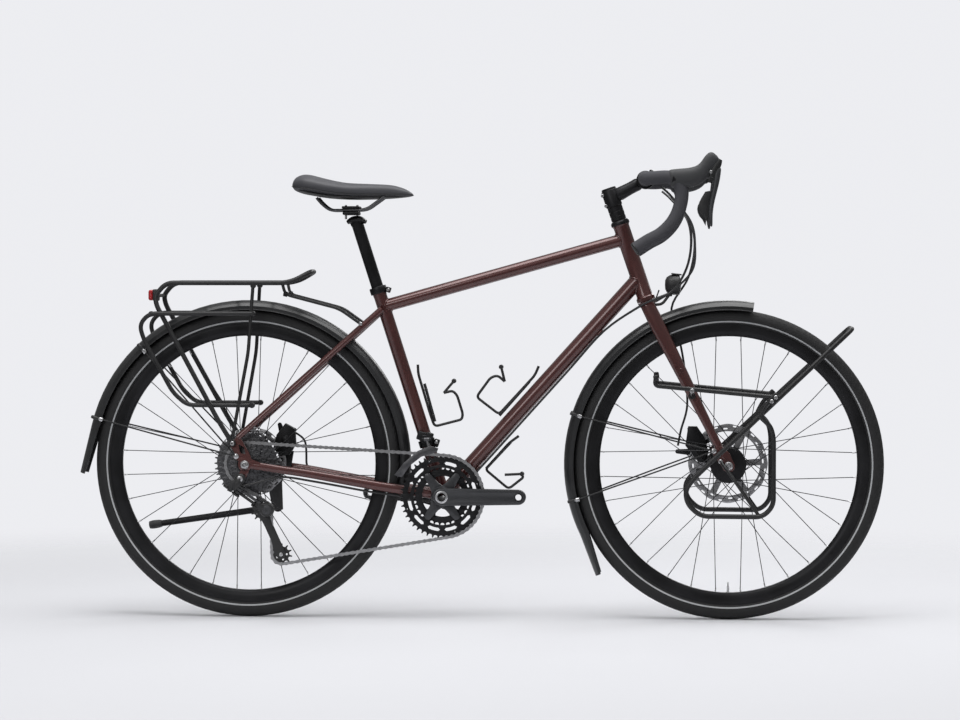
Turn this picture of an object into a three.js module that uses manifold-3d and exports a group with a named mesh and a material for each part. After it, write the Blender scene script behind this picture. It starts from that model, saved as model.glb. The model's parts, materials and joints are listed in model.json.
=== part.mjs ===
// A touring bicycle with two racks, mudguards, disc brakes and a derailleur drive.
// Millimetres: X forward, Y to the rider's left, Z up, origin on the ground below the middle.
import * as THREE from "three";
import { mergeVertices } from "three/addons/utils/BufferGeometryUtils.js";
import Module from "manifold-3d";

const wasm = await Module();
wasm.setup();

// Clearances and facet counts that every piece shares
const GAP = 0.3;
const OVERRUN = 30;
const MERGE_DISTANCE = 1e-4;
const SIMPLIFY_TOLERANCE = 0.05;
const TUBE_SIDES = 12;
const RACK_SIDES = 6;
const ROUND_SIDES = 16;
const WHEEL_SIDES = 28;
const HUB_SIDES = 10;
const BEND_ANGLE = 42;

// Wheels
const WHEEL = { base: 1086, rearAxleX: -526 };
const TYRE = { radius: 349, width: 39, innerRadius: 17, beadRadius: 311.2, edgeRadius: 316, crownDegrees: 26 };
const RIM = {
  tipRadius: 315.5, seatRadius: 310.9, shoulderRadius: 300, innerRadius: 289,
  halfWidth: 12.5, halfSeat: 10.5, halfNose: 6.5,
  valveRadius: 3, valveTip: 268,
};
const SPOKE = { count: 32, radius: 0.9, crossAngle: 66, stagger: 1.1 };
const AXLE = { radius: 5, bore: 5.4, capRadius: 9, capLength: 7 };
const FRONT_HUB = {
  flangeRadius: 40, shellRadius: 33, neckRadius: 9, bossRadius: 17,
  flangeOffset: 31, flangeThickness: 4.4, halfShell: 26, bossEnd: 43, halfLength: 47,
};
const REAR_HUB = {
  flangeRadius: 27, shellRadius: 18, neckRadius: 9, bossRadius: 17, carrierRadius: 17.1,
  rightFlange: 20, leftFlange: 34, flangeThickness: 4.4, bossEnd: 48, carrierEnd: 64, halfLength: 64,
};
const ROTOR = { thickness: 1.8, trackWidth: 16, arms: 6, hubWidth: 7, armAngle: 24, frontRadius: 90, rearRadius: 80 };
const FRONT_ROTOR_Y = 41;
const REAR_ROTOR_Y = 46;

// Frame
const FRAME = {
  chainstayLength: 449.4, bottomBracketDrop: 71.4,
  seatAngle: 72.31, seatTubeLength: 494.3, seatTubeRadius: 15, seatBore: 13.9,
  headAngle: 71.27, headTubeLength: 170.3, headTubeRadius: 18, headBore: 14.8,
  topTubeRadius: 14.3, topTubeBelowSeatTop: 46, topTubeBelowHeadTop: 32.7,
  downTubeRadius: 17.5, downTubeAboveHeadBottom: 42.9,
  shellRadius: 20.5, shellBore: 17.3, shellHalfWidth: 34,
  cupRadius: 21, upperCupHeight: 11, lowerCupHeight: 9.5,
};
const DROPOUT = { halfSpacing: 67.8, thickness: 6.2, radius: 15 };
const SEATSTAY = { radius: 8, endRadius: 7, topHalfSpread: 17, guardHalfSpread: 35, endHalfSpread: 71, endGap: 1.6, bridgeRadius: 6 };
const CHAINSTAY_BRIDGE = { aheadOfAxle: 378, above: -62, radius: 5 };

// Fork
const FORK = {
  axleToHeadBottom: 417.9, rake: 56.4, steererRadius: 14.3, steererAboveHead: 84,
  dropoutHalfSpacing: 50.3, dropoutThickness: 6, dropoutRadius: 14,
  crownDrop: 14, crownHalfDepth: 17, crownBarRadius: 13, crownHalfSpread: 37, bladeScale: 1.9,
};
const FORK_EYE = { x: -33, z: 34, radius: 5 };
const SPINDLE = { radius: 12, bore: 12.4 };
const CUP = { radius: 20, width: 6.5 };
const COLLAR = { radius: 19.5, height: 15, lugRadius: 5, lugHalfWidth: 8 };

// Drive train, with the chain plane of each wheel that it runs on
const PITCH = 12.7;
const CHAIN = { halfWidth: 2.9, halfInner: 1.6, halfHeight: 4.1, halfRoller: 2.2 };
const TOOTH = { root: 4.8, tip: 2.6, halfRoot: 2.1, halfTip: 1 };
const RING = { teeth: 46, smallTeeth: 32, y: -47, smallY: -40, thickness: 1.8, holeRadius: 78, smallHoleRadius: 55, boltCircle: 55 };
const CASSETTE = {
  teeth: [11, 13, 15, 17, 19, 21, 24, 28, 32, 36], chainIndex: 6, firstY: -62, spacing: 3.95,
  thickness: 1.8, bore: 19.1, bodyRadius: 22,
};
const CRANK = {
  length: 172.5, innerY: 57.5, thickness: 14, bossRadius: 20, pedalEndRadius: 17, pedalHole: 7,
  hubRadius: 22, spiderY: -45.7, spiderThickness: 4.4, spiderAngle: 54.5, armHalfWidth: 9,
};
const JOCKEY = { teeth: 11, thickness: 2.2, bore: 3.3, pin: 3 };
const DERAILLEUR = {
  mountX: -9, mountZ: -31, kneeX: 47.6, kneeZ: -102.3, guideX: 34, guideZ: -106,
  tensionX: 76.5, tensionZ: -205, cageHalfGap: 4.5, plate: 1.8, linkRadius: 7.5, linkLength: 15,
  linkStartX: -14, linkStartZ: -58, linkStartY: -80, linkEndX: 27, linkEndZ: -87, linkEndY: -62,
  kneeRadius: 13, mountRadius: 10, earThickness: 4,
};
const FRONT_DERAILLEUR = {
  bandAlong: 116, bandHeight: 16, bandRadius: 19, hingeX: -36, hingeZ: 127, hingeY: -34,
  outerY: -51.6, innerY: -41.8, plate: 1.2,
};

// Brakes
const CALIPER = { innerY: 32.6, outerY: 54, slotClearance: 1.2, armThickness: 4, footThickness: 6, armRadius: 8 };

// Cockpit
const STEM = { spacerRadius: 17, clampRadius: 18.5, clampHeight: 40, bore: 14.8, capHeight: 4, reach: 76.1, rise: 40.8, barRadius: 15.9, barWall: 4.5, barHalfWidth: 23, armRadius: 14 };
const BAR = { centreRadius: 15.9, centreHalf: 58, tapeRadius: 15 };
const HOOD_Y = 206;
const HINGE = { radius: 6, half: 7, ear: 3, offset: 8 };

// Seat
const SEATPOST = { radius: 13.6, above: 163, below: 110 };

// Mudguards, racks, stand, lights and bottle cages; places are measured from the axle they stand over
const GUARD = { radius: 366, halfWidth: 23.5, halfCrown: 15, crownDrop: 4, skirtDrop: 17, wall: 1.6, steps: 13, stayRadius: 1.8 };
const FRONT_GUARD = { fromDegrees: 81, toDegrees: 206, flapLength: 96, flapDrop: 10 };
const REAR_GUARD = { fromDegrees: -13, toDegrees: 166, flapLength: 114, flapDrop: 0.4 };
const GUARD_CLIP = { reach: 13, radius: 4 };
const RACK = { tubeRadius: 5.5, braceRadius: 4, bend: 26 };
const REAR_RACK = {
  halfTop: 58, halfHoop: 46, halfBend: 62, halfFoot: 80.3, halfSide: 73,
  topZ: 409, frontX: 101, hoopX: 146, hoopZ: 434, rearX: -180, bendX: -204, bendZ: 380,
  shoulderX: -200, shoulderZ: 358, ankleX: -58, ankleZ: 98, footX: -27, footZ: 48.6,
  strutX: 18, strutKneeX: 8, strutKneeZ: 252, sideZ: 340, sideRearX: -216, sideCornerX: -238, sideCornerZ: 315,
  sideLowX: -162, sideLowZ: 162, lowZ: 134, lowRearX: -130, lowFrontX: 17,
};
const FRONT_RACK = {
  halfSide: 105, halfHoop: 62, joinX: 68, joinZ: 114, shoulderX: 92, shoulderZ: 91, frontX: 98.4, lowFrontZ: -85,
  toeX: 75, lowZ: -109, heelX: -63, rearX: -92, rearLowZ: -82, cornerX: -97, cornerZ: -50, elbowX: -75, elbowZ: -22,
  hoopX: 273.7, hoopZ: 306.6, armRearX: -162, armRearZ: 181, armFrontX: 100, armFrontZ: 156, hookZ: 202,
  boltX: -82, boltZ: 157, braceTopX: -18, braceTopZ: 10, braceLowX: 66, braceLowZ: -107,
};
const STAND = {
  pivotX: 55, pivotZ: -106, pivotY: 86, legLength: 298, legRadius: 7.5, discRadius: 11, discLength: 12,
  footHalf: 17, plateInnerY: 74.3, plateThickness: 7,
};
const TAIL_LIGHT = { halfWidth: 24, radius: 14, depth: 18.5, x: -226, z: 381 };
const HEADLIGHT = { radius: 23, depth: 24, x: -134, z: 405 };
const CAGE = { wire: 3, knob: 5, postShare: 0.8 };

const CABLE = { radius: 2.5, halfSpread: 13, underTube: 17 };

// Saddle, hoods and levers
const SADDLE = { railRadius: 3.5, railSpread: 22 };
const LEVER = { pivotX: 510, pivotZ: 994, rootHalf: 4.2, rootRadius: 9, slotClear: 0.6 };

const v = (x, y, z) => new THREE.Vector3(x, y, z);
const ACROSS = v(0, 1, 0);
const radians = THREE.MathUtils.degToRad;

// Solids and geometries

function solidOf(geometry) {
  const loose = geometry.index ? geometry.toNonIndexed() : geometry;
  const bare = new THREE.BufferGeometry();
  bare.setAttribute("position", loose.getAttribute("position").clone());
  const merged = mergeVertices(bare, MERGE_DISTANCE);
  const corners = merged.index.array;
  const kept = [];
  for (let i = 0; i < corners.length; i += 3) {
    const [a, b, c] = [corners[i], corners[i + 1], corners[i + 2]];
    if (a !== b && b !== c && c !== a) kept.push(a, b, c);
  }
  const vertProperties = new Float32Array(merged.attributes.position.array);
  const build = (list) =>
    new wasm.Manifold(new wasm.Mesh({ numProp: 3, vertProperties, triVerts: new Uint32Array(list) }));
  const solid = build(kept);
  if (solid.volume() > 0) return solid;
  for (let i = 0; i < kept.length; i += 3) [kept[i + 1], kept[i + 2]] = [kept[i + 2], kept[i + 1]];
  return build(kept);
}

function geometryOf(solid) {
  const mesh = solid.getMesh();
  const positions = new Float32Array(mesh.numVert * 3);
  for (let i = 0; i < mesh.numVert; i++) {
    positions.set(mesh.vertProperties.subarray(i * mesh.numProp, i * mesh.numProp + 3), i * 3);
  }
  const geometry = new THREE.BufferGeometry();
  geometry.setAttribute("position", new THREE.BufferAttribute(positions, 3));
  geometry.setIndex(new THREE.BufferAttribute(new Uint32Array(mesh.triVerts), 1));
  geometry.computeVertexNormals();
  return geometry;
}

function fuse(...geometries) {
  const [first, ...rest] = geometries.flat().map(solidOf);
  return geometryOf(rest.reduce((whole, next) => whole.add(next), first));
}

function carve(geometry, ...cutters) {
  return geometryOf(cutters.flat().map(solidOf).reduce((rest, next) => rest.subtract(next), solidOf(geometry)));
}

function mirrored(geometry) {
  const copy = geometry.clone();
  copy.scale(1, -1, 1);
  return geometryOf(solidOf(copy));
}

// Both sides of a piece that is drawn on one side
const pair = (geometry) => [geometry, mirrored(geometry)];

// A closed surface through rings of points, with flat ends
function skin(rings) {
  const count = rings[0].length;
  const positions = [];
  const face = (a, b, c) => positions.push(...a.toArray(), ...b.toArray(), ...c.toArray());
  for (let i = 0; i + 1 < rings.length; i++) {
    for (let j = 0; j < count; j++) {
      const k = (j + 1) % count;
      face(rings[i][j], rings[i][k], rings[i + 1][k]);
      face(rings[i][j], rings[i + 1][k], rings[i + 1][j]);
    }
  }
  const [first, last] = [rings[0], rings[rings.length - 1]];
  for (let j = 1; j + 1 < count; j++) {
    face(first[0], first[j + 1], first[j]);
    face(last[0], last[j], last[j + 1]);
  }
  const geometry = new THREE.BufferGeometry();
  geometry.setAttribute("position", new THREE.Float32BufferAttribute(positions, 3));
  return geometry;
}

// An oval bar through stations of { at, wide, deep }, where wide is half its size across
function loft(stations, corners = 8, squareness = 1) {
  const rings = stations.map((station, i) => {
    const before = stations[Math.max(i - 1, 0)].at;
    const after = stations[Math.min(i + 1, stations.length - 1)].at;
    const run = after.clone().sub(before).normalize();
    const deepWay = new THREE.Vector3().crossVectors(ACROSS, run).normalize();
    const wideWay = new THREE.Vector3().crossVectors(run, deepWay).normalize();
    return Array.from({ length: corners }, (_, k) => {
      const angle = ((k + 0.5) / corners) * 2 * Math.PI;
      const round = (value) => Math.sign(value) * Math.abs(value) ** squareness;
      return station.at.clone()
        .addScaledVector(wideWay, station.wide * round(Math.cos(angle)))
        .addScaledVector(deepWay, station.deep * round(Math.sin(angle)));
    });
  });
  return skin(rings);
}

// A straight round bar between two points
function strut(from, to, fromRadius, toRadius = fromRadius, sides = TUBE_SIDES) {
  const run = to.clone().sub(from);
  const geometry = new THREE.CylinderGeometry(toRadius, fromRadius, run.length(), sides);
  geometry.applyQuaternion(new THREE.Quaternion().setFromUnitVectors(ACROSS, run.clone().normalize()));
  const middle = from.clone().addScaledVector(run, 0.5);
  return geometry.translate(middle.x, middle.y, middle.z);
}

// A round piece turned about Y from [radius, y] points; it closes on itself around a bore
function turned(profile, sides = ROUND_SIDES) {
  const points = profile.map(([radius, y]) => new THREE.Vector2(radius, y));
  if (profile[0][0] > 0) points.push(points[0].clone());
  return new THREE.LatheGeometry(points, sides);
}

// The same, stood on a foot point along any direction
function turnedAlong(profile, foot, direction, sides = ROUND_SIDES) {
  const geometry = turned(profile, sides);
  geometry.applyQuaternion(new THREE.Quaternion().setFromUnitVectors(ACROSS, direction));
  return geometry.translate(foot.x, foot.y, foot.z);
}

// A flat plate whose outline is given as [x, z] points, from one y to another
function plate(outline, fromY, toY, holes = []) {
  const shape = outline instanceof THREE.Shape ? outline : shapeOf(outline);
  shape.holes = holes.map(shapeOf);
  const geometry = new THREE.ExtrudeGeometry(shape, { depth: toY - fromY, bevelEnabled: false });
  return geometry.rotateX(Math.PI / 2).translate(0, toY, 0);
}

function shapeOf(outline) {
  return new THREE.Shape(outline.map(([x, y]) => new THREE.Vector2(x, y)));
}

// Points round a centre, in the side view, from one angle to another
function arc(centreX, centreZ, radius, fromDegrees, toDegrees, steps) {
  return Array.from({ length: steps + 1 }, (_, i) => {
    const angle = radians(fromDegrees + ((toDegrees - fromDegrees) * i) / steps);
    return [centreX + radius * Math.cos(angle), centreZ + radius * Math.sin(angle)];
  });
}

function circle(centreX, centreZ, radius, sides = ROUND_SIDES) {
  return arc(centreX, centreZ, radius, 0, 360 - 360 / sides, sides - 1);
}

// The outline of a flat link with a round end of its own radius at each of its two centres
function linkOutline([ax, az], radiusA, [bx, bz], radiusB, steps = 5) {
  const heading = THREE.MathUtils.radToDeg(Math.atan2(bz - az, bx - ax));
  return [
    ...arc(ax, az, radiusA, heading + 90, heading + 270, steps),
    ...arc(bx, bz, radiusB, heading - 90, heading + 90, steps),
  ];
}

// A path of straight runs with round bends, with one section at each end of a run and a few in a bend
class BentPath extends THREE.Curve {
  constructor(corners, bend) {
    super();
    this.stations = [corners[0]];
    for (let i = 1; i + 1 < corners.length; i++) {
      const [before, corner, after] = [corners[i - 1], corners[i], corners[i + 1]];
      const reach = Math.min(bend, before.distanceTo(corner) * 0.45, after.distanceTo(corner) * 0.45);
      const start = corner.clone().add(before.clone().sub(corner).setLength(reach));
      const end = corner.clone().add(after.clone().sub(corner).setLength(reach));
      const turn = new THREE.QuadraticBezierCurve3(start, corner, end);
      const angle = corner.clone().sub(before).angleTo(after.clone().sub(corner));
      const steps = Math.round(THREE.MathUtils.radToDeg(angle) / BEND_ANGLE);
      this.stations.push(...(bend > 0 && steps > 0 ? turn.getPoints(steps) : [corner]));
    }
    this.stations.push(corners[corners.length - 1]);
  }
  getPointAt(u) {
    return this.stations[Math.round(u * (this.stations.length - 1))].clone();
  }
  getTangentAt(u, target = new THREE.Vector3()) {
    const i = Math.round(u * (this.stations.length - 1));
    const before = this.stations[Math.max(i - 1, 0)];
    const after = this.stations[Math.min(i + 1, this.stations.length - 1)];
    const arriving = this.stations[i].clone().sub(before).normalize();
    const leaving = after.clone().sub(this.stations[i]).normalize();
    return target.addVectors(arriving, leaving).normalize();
  }
}

// A bent round tube; a bend of zero keeps one section at each point
function tube(corners, radius, bend = 0, sides = RACK_SIDES) {
  const extrudePath = new BentPath(corners, bend);
  const section = shapeOf(circle(0, 0, radius, sides));
  return new THREE.ExtrudeGeometry(section, { extrudePath, steps: extrudePath.stations.length - 1 });
}

const sideways = (points, y) => points.map(([x, z]) => v(x, y, z));

// Finishes
const finish = (color, roughness, metalness) => () => new THREE.MeshStandardMaterial({ color, roughness, metalness });
const FINISHES = {
  framePaint: finish(0x4a1f1e, 0.35, 0.5),
  blackTube: finish(0x17181a, 0.5, 0.3),
  blackPlastic: finish(0x1b1c1e, 0.6, 0),
  blackMetal: finish(0x222326, 0.4, 0.7),
  rubber: finish(0x121213, 0.85, 0),
  steel: finish(0x9a9ca0, 0.35, 0.9),
  cover: finish(0x151618, 0.7, 0),
  tape: finish(0x18191b, 0.75, 0),
  lens: finish(0xa8333c, 0.3, 0),
};

const bicycle = new THREE.Group();

function add(name, geometry, look, group = bicycle) {
  const mesh = new THREE.Mesh(geometryOf(solidOf(geometry).simplify(SIMPLIFY_TOLERANCE)), FINISHES[look]());
  mesh.name = name;
  group.add(mesh);
  return mesh;
}

function groupAt(place, parent = bicycle) {
  const group = new THREE.Group();
  group.position.copy(place);
  parent.add(group);
  return group;
}

// Places that the frame's sizes fix, in the side plane
const REAR_AXLE = v(WHEEL.rearAxleX, 0, TYRE.radius);
const FRONT_AXLE = v(WHEEL.rearAxleX + WHEEL.base, 0, TYRE.radius);
const SEAT_WAY = v(-Math.cos(radians(FRAME.seatAngle)), 0, Math.sin(radians(FRAME.seatAngle)));
const HEAD_WAY = v(-Math.cos(radians(FRAME.headAngle)), 0, Math.sin(radians(FRAME.headAngle)));
const HEAD_FRONT = v(HEAD_WAY.z, 0, -HEAD_WAY.x);
const BOTTOM_BRACKET = v(
  REAR_AXLE.x + Math.sqrt(FRAME.chainstayLength ** 2 - FRAME.bottomBracketDrop ** 2), 0,
  REAR_AXLE.z - FRAME.bottomBracketDrop,
);
const HEAD_BOTTOM = FRONT_AXLE.clone()
  .addScaledVector(HEAD_WAY, FORK.axleToHeadBottom).addScaledVector(HEAD_FRONT, -FORK.rake);
const HEAD_TOP = HEAD_BOTTOM.clone().addScaledVector(HEAD_WAY, FRAME.headTubeLength);
const SEAT_TOP = BOTTOM_BRACKET.clone().addScaledVector(SEAT_WAY, FRAME.seatTubeLength);
const TOP_TUBE_REAR = SEAT_TOP.clone().addScaledVector(SEAT_WAY, -FRAME.topTubeBelowSeatTop);
const TOP_TUBE_FRONT = HEAD_TOP.clone().addScaledVector(HEAD_WAY, -FRAME.topTubeBelowHeadTop);
const DOWN_TUBE_FRONT = HEAD_BOTTOM.clone().addScaledVector(HEAD_WAY, FRAME.downTubeAboveHeadBottom);
const onHead = (along, ahead = 0) =>
  HEAD_BOTTOM.clone().addScaledVector(HEAD_WAY, along).addScaledVector(HEAD_FRONT, ahead);
const onSeat = (along) => BOTTOM_BRACKET.clone().addScaledVector(SEAT_WAY, along);
const from = (place, x, z, y = 0) => v(place.x + x, y, place.z + z);

const BAR_CENTRE = onHead(FRAME.headTubeLength + FORK.steererAboveHead - STEM.clampHeight / 2).add(v(STEM.reach, 0, STEM.rise));
const BLADE_OUTER = 53.5;

// Cutters a running gap larger than the tubes that others are coped to
const clearOf = (start, end, radius) => strut(start, end, radius + GAP, radius + GAP, ROUND_SIDES);
const seatTubeCutter = clearOf(BOTTOM_BRACKET, SEAT_TOP, FRAME.seatTubeRadius);
const headTubeCutter = clearOf(HEAD_BOTTOM, HEAD_TOP, FRAME.headTubeRadius);
const shellCutter = clearOf(
  v(BOTTOM_BRACKET.x, -FRAME.shellHalfWidth - OVERRUN, BOTTOM_BRACKET.z),
  v(BOTTOM_BRACKET.x, FRAME.shellHalfWidth + OVERRUN, BOTTOM_BRACKET.z), FRAME.shellRadius,
);

// Frame tubes
{
  const { headTubeRadius, headBore, cupRadius, headTubeLength, upperCupHeight, lowerCupHeight } = FRAME;
  const profile = [
    [headBore, -lowerCupHeight], [cupRadius, -lowerCupHeight], [cupRadius, 0], [headTubeRadius, 0],
    [headTubeRadius, headTubeLength], [cupRadius, headTubeLength],
    [cupRadius, headTubeLength + upperCupHeight], [headBore, headTubeLength + upperCupHeight],
  ];
  add("head_tube", turnedAlong(profile, HEAD_BOTTOM, HEAD_WAY), "framePaint");

  const topTube = strut(TOP_TUBE_REAR, TOP_TUBE_FRONT, FRAME.topTubeRadius);
  add("top_tube", carve(topTube, seatTubeCutter, headTubeCutter), "framePaint");

  const downTube = strut(BOTTOM_BRACKET, DOWN_TUBE_FRONT, FRAME.downTubeRadius);
  add("down_tube", carve(downTube, seatTubeCutter, headTubeCutter, shellCutter), "framePaint");

  const seatTube = strut(BOTTOM_BRACKET, SEAT_TOP, FRAME.seatTubeRadius);
  const shell = strut(
    BOTTOM_BRACKET.clone().setY(-FRAME.shellHalfWidth), BOTTOM_BRACKET.clone().setY(FRAME.shellHalfWidth),
    FRAME.shellRadius, FRAME.shellRadius, ROUND_SIDES,
  );
  const seatBore = strut(onSeat(0), onSeat(FRAME.seatTubeLength + OVERRUN), FRAME.seatBore);
  const shellBore = strut(
    BOTTOM_BRACKET.clone().setY(-OVERRUN * 2), BOTTOM_BRACKET.clone().setY(OVERRUN * 2),
    FRAME.shellBore, FRAME.shellBore, ROUND_SIDES,
  );
  add("seat_tube", carve(fuse(seatTube, shell), seatBore, shellBore), "framePaint");
}

// Chainstays with their bridge and dropouts, and seatstays
const SEATSTAY_END = from(REAR_AXLE, -11.5, 64.8);
const SEATSTAY_TOP = from(SEAT_TOP, 12, -50);
const HANGER = { x: -9, z: -31, radius: 9 };
const RACK_EYE = { x: -27, z: 48.6, radius: 7 };
const GUARD_EYE = { x: -19, z: 19.3, radius: 6 };
{
  // Each row is how far ahead of the axle, how far above it, the half spread and the half width and depth
  const CHAINSTAY_STATIONS = [
    [434, -69, 26, 7.5, 10.5], [406, -65.5, 29, 8, 10.8], [358, -58.5, 33, 8, 11],
    [276, -45, 44, 8.5, 10.5], [146, -21, 60.5, 8, 9.5], [86, -12, 66.5, 7.2, 9], [8, -1, 71.2, 3.1, 8],
  ];
  const stay = loft(CHAINSTAY_STATIONS.map(([ahead, above, y, wide, deep]) => (
    { at: from(REAR_AXLE, ahead, above, y), wide, deep }
  )), 8);
  const stayWay = SEATSTAY_TOP.clone().sub(SEATSTAY_END).normalize();
  const stayEdge = v(-stayWay.z, 0, stayWay.x);
  const armEnd = SEATSTAY_END.clone().addScaledVector(stayWay, -SEATSTAY.endGap);
  const corner = (side) => armEnd.clone().addScaledVector(stayEdge, side * SEATSTAY.radius);
  const [rearCorner, frontCorner] = [corner(1), corner(-1)];
  const inner = DROPOUT.halfSpacing;
  const outer = DROPOUT.halfSpacing + DROPOUT.thickness;
  const plateOutline = [
    ...arc(REAR_AXLE.x, REAR_AXLE.z, DROPOUT.radius, 150, 400, 8),
    [frontCorner.x, frontCorner.z], [rearCorner.x, rearCorner.z],
    [REAR_AXLE.x + RACK_EYE.x - RACK_EYE.radius, REAR_AXLE.z + RACK_EYE.z],
    [REAR_AXLE.x + GUARD_EYE.x - GUARD_EYE.radius, REAR_AXLE.z + GUARD_EYE.z],
  ];
  const dropout = plate(plateOutline, inner, outer);
  const hanger = plate(
    linkOutline([REAR_AXLE.x, REAR_AXLE.z - DROPOUT.radius], HANGER.radius,
      [REAR_AXLE.x + HANGER.x, REAR_AXLE.z + HANGER.z], HANGER.radius, 3), -outer, -inner,
  );
  const axleClearance = strut(
    v(REAR_AXLE.x, -outer - OVERRUN, REAR_AXLE.z), v(REAR_AXLE.x, outer + OVERRUN, REAR_AXLE.z), AXLE.bore, AXLE.bore, 8,
  );
  const bridgePlace = from(REAR_AXLE, CHAINSTAY_BRIDGE.aheadOfAxle, CHAINSTAY_BRIDGE.above);
  const bridge = strut(
    bridgePlace.clone().setY(-CHAINSTAY_STATIONS[2][2]), bridgePlace.clone().setY(CHAINSTAY_STATIONS[2][2]),
    CHAINSTAY_BRIDGE.radius, CHAINSTAY_BRIDGE.radius, 8,
  );
  const chainstays = fuse(pair(stay), pair(dropout), hanger, bridge);
  add("chainstays", carve(chainstays, shellCutter, seatTubeCutter, axleClearance), "framePaint");

  const along = (share) => SEATSTAY_TOP.clone().lerp(SEATSTAY_END, share);
  const guardShare = 0.24;
  const seatstay = loft([
    { at: along(0).setY(SEATSTAY.topHalfSpread), wide: SEATSTAY.radius, deep: SEATSTAY.radius },
    { at: along(guardShare).setY(SEATSTAY.guardHalfSpread), wide: SEATSTAY.radius, deep: SEATSTAY.radius },
    { at: along(1).setY(SEATSTAY.endHalfSpread), wide: SEATSTAY.endRadius, deep: SEATSTAY.endRadius },
  ], 8);
  const seatBridge = strut(
    along(0.18).setY(-SEATSTAY.guardHalfSpread + SEATSTAY.radius),
    along(0.18).setY(SEATSTAY.guardHalfSpread - SEATSTAY.radius), SEATSTAY.bridgeRadius, SEATSTAY.bridgeRadius, 8,
  );
  add("seatstays", carve(fuse(pair(seatstay), seatBridge), seatTubeCutter), "framePaint");
}

// Bottom bracket cups and the seat collar
{
  const [inner, face, outer] = [SPINDLE.bore, FRAME.shellHalfWidth + GAP, FRAME.shellHalfWidth + CUP.width];
  const sleeve = FRAME.shellBore - GAP;
  const cups = turned([
    [inner, -outer], [CUP.radius, -outer], [CUP.radius, -face], [sleeve, -face],
    [sleeve, face], [CUP.radius, face], [CUP.radius, outer], [inner, outer],
  ]).translate(BOTTOM_BRACKET.x, 0, BOTTOM_BRACKET.z);
  add("bottom_bracket", cups, "blackMetal");

  const collar = strut(onSeat(FRAME.seatTubeLength - COLLAR.height), onSeat(FRAME.seatTubeLength), COLLAR.radius);
  const lugPlace = onSeat(FRAME.seatTubeLength - COLLAR.height / 2).add(v(COLLAR.radius, 0, 0));
  const lug = strut(
    lugPlace.clone().setY(-COLLAR.lugHalfWidth), lugPlace.clone().setY(COLLAR.lugHalfWidth),
    COLLAR.lugRadius, COLLAR.lugRadius, 6,
  );
  const lugClear = clearOf(onSeat(FRAME.seatTubeLength - OVERRUN), onSeat(FRAME.seatTubeLength + OVERRUN), FRAME.seatTubeRadius);
  add("seat_collar", carve(fuse(collar, lug), lugClear), "blackMetal");
}

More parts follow.
